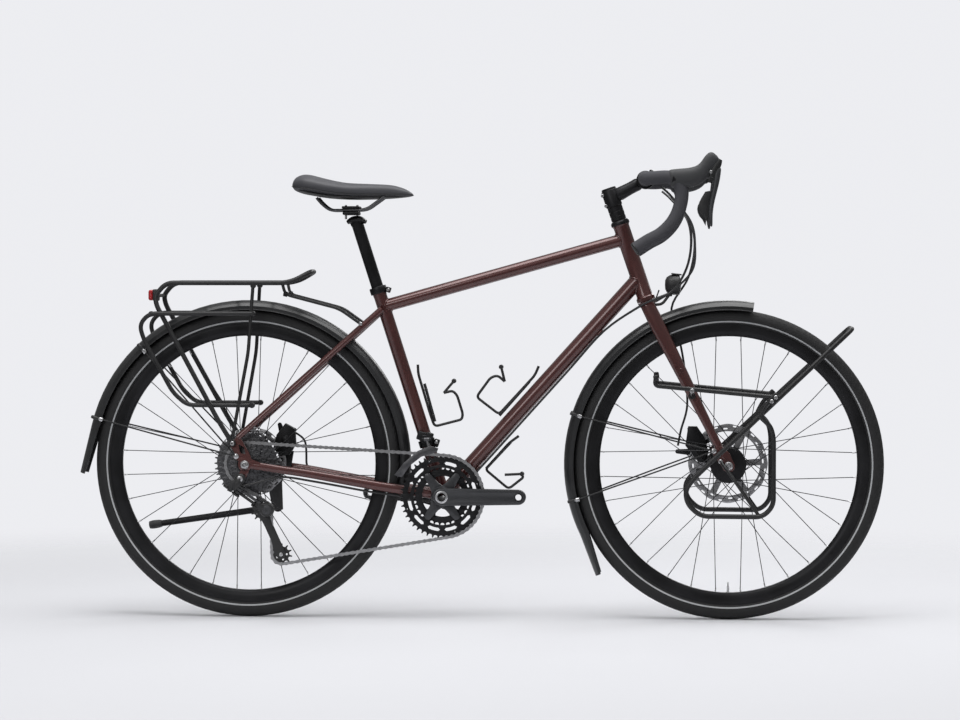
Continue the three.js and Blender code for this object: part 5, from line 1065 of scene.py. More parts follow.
def build_front_triangle() -> None:
    """Builds the head, top, down and seat tubes with their welds."""
    tops = TUBE_ENDS
    head = turned(
        [
            (15, -9.3), (20.2, -9.3), (21, -8.4), (21, -1.2), (20, -0.4), (19.4, 0.2), (18, 3.5),
            (18, HEAD_LENGTH - 3.5), (19.4, HEAD_LENGTH - 0.2), (20, HEAD_LENGTH + 0.4),
            (15, HEAD_LENGTH + 0.4)
        ],
        HEAD_BOTTOM, HEAD_WAY, 40
    )
    cup = turned(
        [(15, 0.6), (20.6, 0.6), (21.2, 2), (21.2, 6), (19.6, 9.6), (17.6, 10.9), (15, 10.9)],
        HEAD_TOP, HEAD_WAY, 40
    )
    down_way = (tops["down_front"] - BRACKET).normalized()
    top_way = (tops["top_front"] - tops["top_rear"]).normalized()
    top = rod(tops["top_rear"], tops["top_front"], TOP_TUBE_RADIUS, 32)
    down = rod(BRACKET, tops["down_front"], DOWN_TUBE_RADIUS, 32)
    seat = turned(
        [
            (13.9, SEAT_LENGTH), (13.9, 24), (0, 24), (0, 0), (15, 0), (15, SEAT_LENGTH - 22),
            (15.6, SEAT_LENGTH - 20), (15.6, SEAT_LENGTH - 0.6), (15, SEAT_LENGTH)
        ],
        BRACKET, SEAT_WAY, 32
    )
    shell = turned(
        [(17.3, -34), (19.9, -34), (20.5, -33.4), (20.5, 33.4), (19.9, 34), (17.3, 34)], BRACKET,
        ACROSS, 40
    )
    welds = [
        weld_seam(start - way * WELD_REACH, way, radius, at, along, main)
        for start, way, radius, at, along, main in (
            (tops["top_front"], top_way, TOP_TUBE_RADIUS, HEAD_TOP, HEAD_WAY, HEAD_RADIUS),
            (tops["top_rear"], -top_way, TOP_TUBE_RADIUS, SEAT_TOP, SEAT_WAY, SEAT_RADIUS),
            (tops["down_front"], down_way, DOWN_TUBE_RADIUS, HEAD_BOTTOM, HEAD_WAY, HEAD_RADIUS),
            (BRACKET, -down_way, DOWN_TUBE_RADIUS, BRACKET, ACROSS, SHELL_RADIUS),
            (BRACKET, -SEAT_WAY, SEAT_RADIUS, BRACKET, ACROSS, SHELL_RADIUS)
        )
    ]
    mount("head_tube_dressed", [head], PAINT, Body.FRAME, "head_tube")
    mount("upper_headset_cup", cup, ANODISED, Body.FRAME)
    mount("top_tube_dressed", [top], PAINT, Body.FRAME, "top_tube")
    mount("down_tube_dressed", [down], PAINT, Body.FRAME, "down_tube")
    mount("seat_tube_dressed", [seat, shell], PAINT, Body.FRAME, "seat_tube")
    mount("front_triangle_welds", welds, PAINT, Body.FRAME, angle=60)


def build_rear_triangle() -> None:
    """Builds the stays, bridges and dropouts."""
    x, z = REAR_AXLE.x, REAR_AXLE.z
    rows = [
        (434, -69, 26, 8, 10.5), (406, -65.5, 29, 8, 10.8), (358, -58.5, 33, 8, 11),
        (276, -45, 44, 8.5, 10.5), (146, -21, 60.5, 8, 9.5), (86, -12, 66.5, 7.2, 9),
        (40, -5, 70, 4.6, 8.8), (10, -1, 71, 3, 8)
    ]
    stay = blade([(x + a, z + b, y, w, d) for a, b, y, w, d in rows], 4, 20)
    top, end = TUBE_ENDS["stay_top"], TUBE_ENDS["stay_end"]
    way = (end - top).normalized()
    places = [
        top + ACROSS * 17, top.lerp(end, 0.24) + ACROSS * 35, top.lerp(end, 0.6) + ACROSS * 53.5,
        end + way * 6 + ACROSS * 71
    ]
    rows = smoothed([(*p, r) for p, r in zip(places, (1, 1, 0.98, 0.86))], 6)
    seatstay = tube([Vector(r[:3]) for r in rows], 8, [r[3] for r in rows], sides=20)
    knuckle = (x + stay_foot(way)[0], z + stay_foot(way)[1])
    outline = (
        arc((x, z), 15.5, 150, 350, 12)
        + [(x + 34, z - 12), (x + 38, z - 4), (x + 34, z + 5), (x + 16, z + 12)]
        + [(x + 8, z + 30), knuckle, (x - 13, z + 71)] + arc((x - 27, z + 48.6), 8.5, 70, 200, 6)
        + arc((x - 19, z + 19.3), 8, 120, 210, 5)
    )
    holes = [
        ring((x, z), 5.4, 20), ring((x - 27, z + 48.6), 2.8, 12),
        ring((x - 19, z + 19.3), 2.8, 12),
        [(x - 10, z + 26), (x + 2, z + 24), (x - 2, z + 40), (x - 14, z + 46)]
    ]
    plate = flat([outline, *holes], REAR_DROPOUT_LOW, REAR_DROPOUT_HIGH, 0.8)
    hanger = flat(
        [link_outline((x, z - 15), 9, (x - 9, z - 31), 9.5), ring((x - 9, z - 31), 4.8, 16)],
        -REAR_DROPOUT_HIGH, -REAR_DROPOUT_LOW, 0.8
    )
    bridge = rod(Vector((x + 378, -30, z - 62)), Vector((x + 378, 30, z - 62)), 5)
    seat_bridge = rod(top.lerp(end, 0.18) - ACROSS * 27, top.lerp(end, 0.18) + ACROSS * 27, 6)
    mount(
        "chainstays_dressed", [*both(stay, plate), hanger, bridge], PAINT, Body.FRAME, "chainstays"
    )
    mount("seatstays_dressed", [*both(seatstay), seat_bridge], PAINT, Body.FRAME, "seatstays")


def stay_foot(way: Vector) -> Pair:
    """Where the dropout's front edge meets the seatstay, from the axle."""
    edge = Vector((-way.z, 0, way.x)) * 8
    return (-11.5 + way.x * 2 + abs(edge.x), 64.8 + way.z * 2 - abs(edge.z))


def build_fittings() -> None:
    """Builds the bracket cups, the seat collar and the cable stops."""
    cups = []
    for side in (1, -1):
        profile = [
            (12.4, 34.3), (20.6, 34.3), (20.6, 36), (19.8, 36.6), (19.8, 40.2), (18.8, 41),
            (12.4, 41)
        ]
        cups.append(turned(profile, BRACKET, ACROSS * side, 16))
    foot = SEAT_TOP - SEAT_WAY * 15
    collar = turned(
        [(15.4, 0), (18.8, 0), (19.5, 1), (19.5, 13.6), (18.6, 15.2), (15.4, 15.2)], foot,
        SEAT_WAY, 32
    )
    lug = SEAT_TOP - SEAT_WAY * 7.5 + Vector((22.5, 0, 1))
    ears = [block(lug + ACROSS * y, (11, 6.5, 12), 1.6, -17.7) for y in (-5.2, 5.2)]
    screw = [
        bolt(lug + ACROSS * 8.6, ACROSS, 4.2, 3.6), rod(lug - ACROSS * 11, lug + ACROSS * 9, 2.6),
        bolt(lug - ACROSS * 8.6, -ACROSS, 4.2, 3.2)
    ]
    down_way = (TUBE_ENDS["down_front"] - BRACKET).normalized()
    stops = []
    for along in (510, 95):
        for side in (1, -1):
            centre = BRACKET + down_way * along
            way = Vector((down_way.z, 0, -down_way.x))
            stops.append(block(centre + way * 17 + ACROSS * 9 * side, (16, 7, 7), 2, 47))
    mount("bracket_cups", cups, ANODISED, Body.FRAME, "bottom_bracket")
    mount("seat_collar_band", [collar, *ears], ANODISED, Body.FRAME, "seat_collar")
    mount("seat_collar_bolt", screw, SILVER, Body.FRAME)
    mount("cable_stops", stops, PAINT, Body.FRAME)


# ---- fork

BLADE_SPREADS = (31, 37, 44, 50.5, 52.2)
FORK_DROPOUT_LOW = 50.3
FORK_DROPOUT_HIGH = 56.3


def build_fork() -> None:
    """Builds and mounts the fork."""
    crown = HEAD_BOTTOM - HEAD_WAY * 23.5
    tip = FRONT_AXLE + Vector((-9, 0, 16))
    shares = [(-0.03, 8, 8), (0.14, 8.5, 8.6), (0.5, 7.6, 6.6), (0.93, 6, 4.4), (1, 4.6, 3.8)]
    rows = []
    for (share, wide, deep), spread in zip(shares, BLADE_SPREADS):
        at = crown.lerp(tip, share)
        rows.append((at.x, at.z, spread, wide, deep * 1.9))
    blade_piece = blade(rows, 5, 24)
    steerer = rod(crown, HEAD_BOTTOM + HEAD_WAY * 250, 14.2, 32)
    race = turned(
        [(0, -14), (15.5, -14), (17.5, -11), (20.4, -2.6), (20.8, -0.6), (0, -0.6)],
        HEAD_BOTTOM - HEAD_WAY * 9.5, HEAD_WAY, 40
    )
    across = turned(
        [(0, -40), (8, -39.5), (11.6, -37), (13, -33), (13, 33), (11.6, 37), (8, 39.5), (0, 40)],
        crown, ACROSS, 32
    )
    x, z = FRONT_AXLE.x, FRONT_AXLE.z
    outline = (
        arc((x, z), 14.5, 195, 370, 12)
        + [(x + 9, z + 12), (x + 3, z + 28), (x - 14, z + 44), (x - 24, z + 46)]
        + arc((x - 33, z + 34), 6, 80, 220, 6)
    )
    holes = [ring((x, z), 5.4, 20), ring((x - 33, z + 34), 2.6, 12)]
    plate = flat([outline, *holes], FORK_DROPOUT_LOW, FORK_DROPOUT_HIGH, 0.8)
    eyes = [
        turned(
            [(2.6, 0), (5, 0), (5.4, 0.6), (5.4, 2.6), (4.6, 3.2), (2.6, 3.2)],
            crown.lerp(tip, share) + Vector((2, y, 0)), ACROSS, 16
        )
        for share, y in ((0.42, 48.6), (0.55, 51.4))
    ]
    mount(
        "fork_dressed", [steerer, race, across, *both(blade_piece, plate, *eyes)], PAINT,
        Body.STEERING, "fork"
    )


# ---- drive train


@dataclass
class ChainRun:
    """The line that the chain runs on, round the rings, the cog and the two jockeys."""

    pitch: float = 12.7
    ring_teeth: int = 46
    cog_teeth: int = 24
    jockey_teeth: int = 11
    ring_y: float = -47
    rear_y: float = -38.3
    parts: list[dict[str, Any]] = field(default_factory=list)

    def __post_init__(self) -> None:
        """Lays out the straight runs and the arcs."""
        cog, ring_, jockey = (
            self.radius(t) for t in (self.cog_teeth, self.ring_teeth, self.jockey_teeth)
        )
        r, f = self.rear_y, self.ring_y
        stops = [
            (REAR_AXLE, cog, 1), (BRACKET, ring_, 1), (TENSION_WHEEL, jockey, 1),
            (GUIDE_WHEEL, jockey, -1), (REAR_AXLE, cog, 1)
        ]
        ys = [(r, f), (f, r), (r, r), (r, r)]
        runs = [self.tangent(*a, *b) for a, b in zip(stops, stops[1:])]
        for i, run in enumerate(runs):
            self.parts.append({"run": run, "y": ys[i], "length": math.dist(*run)})
            centre, radius, sign = stops[i + 1]
            ends = (run[1], runs[(i + 1) % 4][0])
            start, stop = (math.atan2(p[1] - centre.z, p[0] - centre.x) for p in ends)
            sweep = (stop - start) * -sign % (2 * math.pi)
            self.parts.append(
                {
                    "centre": centre, "radius": radius, "start": start, "way": -sign,
                    "sweep": sweep, "y": (ys[i][1],) * 2, "length": sweep * radius
                }
            )

    @property
    def links(self) -> int:
        """How many links the chain has."""
        return 2 * round(self.length / self.pitch / 2)

    @property
    def length(self) -> float:
        """The line's length in millimetres."""
        return sum(part["length"] for part in self.parts)

    def radius(self, teeth: int) -> float:
        """The radius at which the chain runs on a wheel with so many teeth."""
        return teeth * self.pitch / (2 * math.pi)

    @staticmethod
    def tangent(
        a: Vector, radius_a: float, sign_a: int, b: Vector, radius_b: float, sign_b: int
    ) -> tuple[Pair, Pair]:
        """The straight run from one wheel to the next, each with its radius and its side."""
        dx, dz = b.x - a.x, b.z - a.z
        lean = math.asin((sign_a * radius_a - sign_b * radius_b) / math.hypot(dx, dz))
        normal = math.atan2(dz, dx) + math.pi / 2 - lean
        c, s = math.cos(normal), math.sin(normal)
        return (
            (a.x + sign_a * radius_a * c, a.z + sign_a * radius_a * s),
            (b.x + sign_b * radius_b * c, b.z + sign_b * radius_b * s)
        )

    def at(self, distance: float) -> Vector:
        """The point of the line at a distance along it."""
        rest = distance % self.length
        for part in self.parts:
            if rest > part["length"]:
                rest -= part["length"]
                continue
            share = rest / part["length"]
            y = part["y"][0] + (part["y"][1] - part["y"][0]) * share
            if "run" in part:
                (ax, az), (bx, bz) = part["run"]
                return Vector((ax + (bx - ax) * share, y, az + (bz - az) * share))
            angle = part["start"] + part["way"] * part["sweep"] * share
            return Vector(
                (
                    part["centre"].x + part["radius"] * math.cos(angle), y,
                    part["centre"].z + part["radius"] * math.sin(angle)
                )
            )
        return self.at(0)

    def phase(self, centre: Vector) -> float:
        """The angle of the first roller on a wheel, in radians."""
        step, passed = self.length / self.links, 0
        for part in self.parts:
            if part.get("centre") == centre:
                first = math.ceil(passed / step) * step - passed
                return part["start"] + part["way"] * first / part["radius"]
            passed += part["length"]
        return 0


CHAIN = ChainRun()
SPIDER_ANGLE = 54.5
CRANK_LENGTH = 172.5
COGS = (11, 13, 15, 17, 19, 21, 24, 28, 32, 36)
FIRST_COG_Y = -62
COG_SPACING = 3.95


def toothed(centre: Vector, count: int, phase: float = 0) -> list[Pair]:
    """The outline of a toothed wheel, with one roller at an angle in radians."""
    radius = CHAIN.radius(count)
    outline = []
    for i in range(count):
        middle = phase + (i + 0.5) / count * 2 * math.pi
        for along, out in (
            (-4.6, -4.3), (-2.5, -2.9), (-1.6, 0.6), (-0.8, 2.5), (0.8, 2.5), (1.6, 0.6),
            (2.5, -2.9), (4.6, -4.3)
        ):
            angle = middle + along / radius
            outline.append(polar((centre.x, centre.z), radius + out, angle))
    return outline


def arm_angles() -> list[float]:
    """The angles of the spider's four arms, in degrees."""
    a = SPIDER_ANGLE
    return [a, 180 - a, 180 + a, 360 - a]


def build_rings() -> None:
    """Cuts the two chainrings with their slots and shift pins."""
    centre = (BRACKET.x, BRACKET.z)
    tabs = arm_angles()
    inner: list[Pair] = []
    for i in range(72):
        angle = i * 5
        near = min(abs((angle - tab + 180) % 360 - 180) for tab in tabs)
        radius = 50.5 if near < 6 else 56 if near < 9 else 64.5
        inner += ring(centre, radius, 1, angle)
    loops: list[Loop] = [toothed(BRACKET, CHAIN.ring_teeth, CHAIN.phase(BRACKET)), inner]
    for tab in tabs:
        loops.append(ring(polar(centre, BOLT_CIRCLE, math.radians(tab)), 4.2, 14))
    for i in range(12):
        loops.append(slot_outline(centre, 75, i * 30 + 15, 8.2, 3.6))
    large = flat(loops, CHAIN.ring_y - RING_HALF, CHAIN.ring_y + RING_HALF, RING_BEVEL)
    small_inner: list[Pair] = []
    for i in range(72):
        near = min(abs((i * 5 - tab + 180) % 360 - 180) for tab in tabs)
        small_inner += ring(centre, 34 + (0 if near < 14 else 12), 1, i * 5)
    small = flat(
        [toothed(BRACKET, SMALL_RING_TEETH), small_inner], SMALL_RING_Y - RING_HALF,
        SMALL_RING_Y + RING_HALF, RING_BEVEL
    )
    pins = [
        bolt(BRACKET + unit(a) * 84 - ACROSS * 47.6, -ACROSS, 1.8, 1.2)
        for a in (20, 110, 200, 290)
    ]
    bolts = [
        bolt(BRACKET + unit(a) * BOLT_CIRCLE - ACROSS * 48.2, -ACROSS, 4.6, 2.4) for a in tabs
    ]
    mount("large_ring", [large], ANODISED, Body.CRANKSET, "chainring_large")
    mount("small_ring", [small], ANODISED, Body.CRANKSET, "chainring_small")
    mount("ring_pins", pins, SILVER, Body.CRANKSET)
    mount("ring_bolts", bolts, ANODISED, Body.CRANKSET)


def build_cranks() -> None:
    """Builds the right crank with its spider, the left crank and the spindle."""
    x, z = BRACKET.x, BRACKET.z
    arms = []
    for angle in arm_angles():
        way = unit(angle)
        side = Vector((-way.z, 0, way.x))
        corners = [
            way * 14 - side * 17, way * 30 - side * 11, way * 50 - side * 8.5, way * 60 - side * 7,
            way * 62.5 - side * 2.5, way * 62.5 + side * 2.5, way * 60 + side * 7,
            way * 50 + side * 8.5, way * 30 + side * 11, way * 14 + side * 17
        ]
        outline = [(x + c.x, z + c.z) for c in corners]
        arms.append(flat([outline], -53.6, -48.4, 1.2))
    hub = turned(
        [(12.2, -59), (21, -59), (24, -53), (25.5, -49), (22, -41.6), (12.2, -41.6)], BRACKET,
        ACROSS, 40
    )
    spindle = turned([(9.4, -71), (12, -71), (12, 71), (9.4, 71)], BRACKET, ACROSS, 32)
    collar = turned(
        [(9.6, -72.4), (13, -72.4), (14.2, -71.8), (14.2, -70), (9.6, -70)], BRACKET, ACROSS, 32
    )
    cap = turned(
        [(9.6, 72.4), (12.6, 72.4), (13.8, 71.6), (13.8, 69.6), (9.6, 69.6)], BRACKET, ACROSS, 32
    )
    mount("right_crank", [crank_arm(-1), *arms, hub], CRANK_METAL, Body.CRANKSET, "crank_right")
    mount("left_crank", [crank_arm(1)], CRANK_METAL, Body.CRANKSET, "crank_left")
    mount("crank_spindle", spindle, COG_STEEL, Body.CRANKSET)
    mount("crank_caps", [collar, cap], SILVER, Body.CRANKSET)
    rings = []
    for side in (-1, 1):
        end = BRACKET + FORWARD * CRANK_LENGTH * -side
        rings.append(
            turned(
                [(7, 71.2), (9.4, 71.2), (9.8, 71.8), (9, 72.2), (7, 72.2)], end, ACROSS * side, 28
            )
        )
    mount("pedal_hole_rims", rings, ANODISED, Body.CRANKSET)


def crank_arm(side: int) -> Obj:
    """One crank arm on a side, with bevelled edges."""
    x, z = BRACKET.x, BRACKET.z
    end = x + CRANK_LENGTH * -side
    outline = link_outline((x, z), 20, (end, z), 17)
    low, high = (57.5, 71.5) if side > 0 else (-71.5, -57.5)
    loops = [outline, ring((x, z), 12.1, 32), ring((end, z), 7.1, 24)]
    return flat(loops, low, high, 2.6)


def build_chain() -> None:
    """Models one inner and one outer link and copies them along the chain's line."""
    half = CHAIN.pitch / 2
    waist = [
        (-half, 4), (-half - 3.4, 2), (-half - 3.4, -2), (-half, -4), (0, -2.7), (half, -4),
        (half + 3.4, -2), (half + 3.4, 2), (half, 4), (0, 2.7)
    ]
    inner = [flat([waist], y - LINK_HALF, y + LINK_HALF) for y in (-1.65, 1.65)]
    for x in (-half, half):
        inner.append(
            turned([(0, -1.2), (3.8, -1.2), (3.8, 1.2), (0, 1.2)], Vector((x, 0, 0)), ACROSS, 8)
        )
    outer = [flat([waist], y - LINK_HALF, y + LINK_HALF) for y in (-2.6, 2.6)]
    for x in (-half, half):
        outer.append(
            turned([(0, -3.3), (1.7, -3.3), (1.7, 3.3), (0, 3.3)], Vector((x, 0, 0)), ACROSS, 6)
        )
    step = CHAIN.length / CHAIN.links
    made: list[Obj] = []
    for kind, parts in enumerate((inner, outer)):
        link = join(parts)
        places = []
        for i in range(kind, CHAIN.links, 2):
            a, b = CHAIN.at(i * step), CHAIN.at((i + 1) * step)
            way = (b - a).normalized()
            up = way.cross(ACROSS).normalized()
            columns = Matrix((way, up.cross(way), up)).transposed().to_4x4()
            places.append(Matrix.Translation((a + b) / 2) @ columns)
        made += copies(link, places)
    mount("chain_links", made, CHAIN_STEEL, Body.FRAME, "chain", 30)


def build_cassette() -> None:
    """Cuts the ten cogs with their lightening holes, spacers and lock ring."""
    centre = (REAR_AXLE.x, REAR_AXLE.z)
    cogs: list[Obj] = []
    for i, count in enumerate(COGS):
        y = FIRST_COG_Y + i * COG_SPACING
        phase = CHAIN.phase(REAR_AXLE) if count == CHAIN.cog_teeth else 0.3 * i
        loops: list[Loop] = [toothed(REAR_AXLE, count, phase), ring(centre, 19.1, 24)]
        root = CHAIN.radius(count) - 6.5
        if root > 33:
            holes = 6 if root < 45 else 9
            for k in range(holes):
                loops.append(
                    slot_outline(
                        centre, (root + 24) / 2 + 2, (k + 0.3 * i) * 360 / holes, 6.5,
                        (root - 26) / 4
                    )
                )
        cogs.append(flat(loops, y - COG_HALF, y + COG_HALF, 0.15))
    body = turned(
        [(19.2, -64), (21, -64), (22, -61), (22, -24.7), (19.2, -24.7)], REAR_AXLE, ACROSS, 32
    )
    lock = turned(
        [(9.5, -65.6), (14.5, -65.6), (17, -65), (18.8, -64), (18.8, -62.6), (9.5, -62.6)],
        REAR_AXLE, ACROSS, 24
    )
    mount("cassette_cogs", [*cogs, body], COG_STEEL, Body.CASSETTE, "cassette")
    mount("cassette_lock_ring", lock, ANODISED, Body.CASSETTE)


def build_rear_derailleur() -> None:
    """Builds the derailleur's mount, parallelogram, knuckle, cage and jockeys."""
    start, end = Vector((-540, -80, 291)), Vector((-499, -62, 262))
    hinge = Vector((0.577465, 0, 0.816416))
    hanger_place = Vector((-535, -74.4, 318))
    body = [
        turned(
            [(0, 0), (11, 0), (11.6, 1), (11.6, 9), (10.2, 11), (7, 12.4), (0, 12.4)],
            hanger_place, -ACROSS, 32
        ),
        blade(
            [
                (-535, 318, -83, 5, 9), (-541, 308, -85, 6, 9.5), (-547, 298, -84, 6.5, 8),
                (-548, 292, -82, 6.5, 6)
            ],
            3, 14
        ),
        rod(start - hinge * 12.4, start - hinge * 8.4, 10),
        rod(start + hinge * 8.4, start + hinge * 12.4, 10),
        flat(
            [
                [
                    (-556, 288), (-550, 302), (-544, 306), (-538, 314), (-548, 318), (-560, 306),
                    (-564, 292)
                ]
            ],
            -90, -84, 1.2
        )
    ]
    for piece in (body[2], body[3]):
        softened(piece, 1)
    guard = rod(Vector((-562, -80, 298)), Vector((-572, -72, 303)), 4.4)
    mount("derailleur_mount", [*body, guard], MOULDED, Body.FRAME, "derailleur_body")
    bolt_head = bolt(hanger_place - ACROSS * 12.2, -ACROSS, 6.6, 1.8)
    mount("derailleur_mount_bolt", bolt_head, SILVER, Body.FRAME)
    for name, offset in (("front", 4), ("rear", -4)):
        wall = [
            rod(start + hinge * (offset - 3.2), start + hinge * (offset + 3.2), 8.2),
            rod(end + hinge * (offset - 3.2), end + hinge * (offset + 3.2), 8.2),
            block((start + end) / 2 + hinge * offset, (44, 9, 6), 1.8, -35.3)
        ]
        nodes = "derailleur_link" if name == "front" else ""
        mount(
            f'derailleur_{name}_link', wall, LEVER_RESIN if name == "front" else MOULDED,
            Body.LINK, nodes
        )
    knuckle = [
        turned(
            [(0, 0), (15.2, 0), (16.4, 1.4), (16.4, 16), (14.8, 19), (11, 20.4), (0, 20.4)],
            Vector((KNEE.x, -45, KNEE.z)), -ACROSS, 40
        ),
        blade(
            [(-503, 260, -63, 7, 9), (-494, 255, -61, 8.5, 11), (-482, 249, -58, 8.5, 12)], 3, 14
        ),
        rod(end - hinge * 12.4, end - hinge * 8.4, 9.6),
        rod(end + hinge * 8.4, end + hinge * 12.4, 9.6)
    ]
    cap = turned(
        [(0, 0), (10.4, 0), (10.4, 0.8), (9.2, 1.6), (4, 1.6), (4, 0.4), (0, 0.4)],
        Vector((KNEE.x, -65.2, KNEE.z)), -ACROSS, 32
    )
    mount("derailleur_knee", knuckle, MOULDED, Body.KNUCKLE, "derailleur_knuckle")
    mount("derailleur_knee_cap", cap, LEVER_RESIN, Body.KNUCKLE)
    build_cage()


def build_cage() -> None:
    """Builds the derailleur's cage plates and its two jockey wheels."""
    g, t = GUIDE_WHEEL, TENSION_WHEEL
    way = (t - g).normalized()
    side = Vector((-way.z, 0, way.x))

    def at(along: float, across: float) -> Pair:
        """A point measured from the guide wheel towards the tension wheel."""
        place = g + way * along + side * across
        return (place.x, place.z)
    span = (t - g).length
    outer = (
        arc((g.x, g.z), 13.5, 60, 200, 8)
        + [at(16, -9), at(40, -7.5), at(66, -7), at(82, -9.5), at(94, -13)]
        + arc((t.x, t.z), 11, 215, 380, 8) + [at(90, 11), at(72, 9.5), at(40, 9), at(18, 12)]
    )
    plates = [
        flat([outer], -45.2, -43, 0.5),
        flat([link_outline((g.x, g.z), 9.5, (t.x, t.z), 9.5)], -33.6, -31.8, 0.4)
    ]
    for place in (g, t):
        plates.append(rod(Vector((place.x, -45.8, place.z)), Vector((place.x, -31.4, place.z)), 3))
    plates.append(
        turned(
            [(0, 0), (12.5, 0), (12.5, 2.4), (0, 2.4)], Vector((KNEE.x, -44.9, KNEE.z)), ACROSS, 24
        )
    )
    stop_x, stop_z = at(span * 0.5, -6)
    stop = rod(Vector((stop_x, -44, stop_z)), Vector((stop_x, -31.8, stop_z)), 1.8)
    mount("derailleur_cage_plates", [*plates, stop], MOULDED, Body.CAGE, "derailleur_cage")
    bolts = [bolt(Vector((place.x, -45.6, place.z)), -ACROSS, 4.4, 1.6) for place in (g, t)]
    mount("cage_bolts", bolts, SILVER, Body.CAGE)
    for name, place, body in (
        ("jockey_upper", g, Body.JOCKEY_UPPER), ("jockey_lower", t, Body.JOCKEY_LOWER)
    ):
        outline = toothed(place, CHAIN.jockey_teeth, CHAIN.phase(place))
        holes = [
            ring(polar((place.x, place.z), 12, a), 2.4, 10)
            for a in (2 * math.pi * i / 5 for i in range(5))
        ]
        wheel = flat(
            [outline, ring((place.x, place.z), 3.3, 16), *holes], CHAIN.rear_y - JOCKEY_HALF,
            CHAIN.rear_y + JOCKEY_HALF, 0.3
        )
        mount(name + "_wheel", wheel, MOULDED, body, name)


def build_front_derailleur() -> None:
    """Builds the front derailleur's band, body, and cage."""
    band_foot = BRACKET + SEAT_WAY * 116
    band = turned(
        [(15.3, 0), (18.4, 0), (19, 0.8), (19, 15.2), (18.4, 16), (15.3, 16)], band_foot, SEAT_WAY,
        32
    )
    hinge = Vector((-118.3, -34, 404.6))
    body = [
        block(Vector((-126, -22, 411)), (30, 16, 20), 2.5, -17.7),
        block(Vector((-112, -26, 414)), (16, 22, 12), 2.5, -17.7),
        rod(hinge + FORWARD * 7.3, hinge + FORWARD * 10.3, 6),
        rod(hinge - FORWARD * 10.3, hinge - FORWARD * 7.3, 6),
        rod(hinge + Vector((-10.3, 0, 8)), hinge + Vector((10.3, 0, 8)), 3.2),
        block(Vector((-98, -8, 396)), (12, 16, 18), 2.5, -17.7)
    ]
    screw = bolt(Vector((-98, -16, 398)), -ACROSS, 4.2, 2.6)
    mount("front_derailleur_body", [band, *body], ANODISED, Body.FRAME, "front_derailleur_clamp")
    mount("front_derailleur_screw", screw, SILVER, Body.FRAME)
    raw = [
        (-9, 108), (-28, 114), (-56, 102), (-88, 74), (-108, 48), (-91.2, 43), (-73, 69.2),
        (-46.8, 89.6), (-12.2, 100)
    ]
    outline = [(BRACKET.x + a, BRACKET.z + b) for a, b in raw]
    plates = [flat([outline], -52.8, -51.4, 0.35), flat([outline], -41.9, -40.5, 0.35)]
    bars = [
        block(BRACKET + Vector((-17, -46.7, 104.5)), (9, 12, 2.4), 0.8, 0),
        block(BRACKET + Vector((-97, -46.7, 48)), (12, 12, 2.6), 0.8, 50),
        rod(hinge - FORWARD * 7, hinge + FORWARD * 7, 6),
        rod(hinge, Vector((-112.3, -41, 385.6)), 4.6)
    ]
    mount(
        "front_cage_plates", [*plates, *bars], COG_STEEL, Body.FRONT_CAGE, "front_derailleur_cage"
    )


# ---- cockpit


def in_head(along: float) -> Vector:
    """A point of the steering's axis, so far above the head tube's lower end."""
    return HEAD_BOTTOM + HEAD_WAY * along


BAR_RADIUS = 15.9
BAR_CENTRE_HALF = 58
TAPE_RADIUS = 15
HOOD_Y = 206
LEVER_PIVOT = (510, 206, 994)


def build_cockpit() -> None:
    """Builds and mounts the whole cockpit."""
    build_stem()
    build_bar()
    for side in Side:
        build_hood(side)
        build_lever(side)
        build_paddle(side)


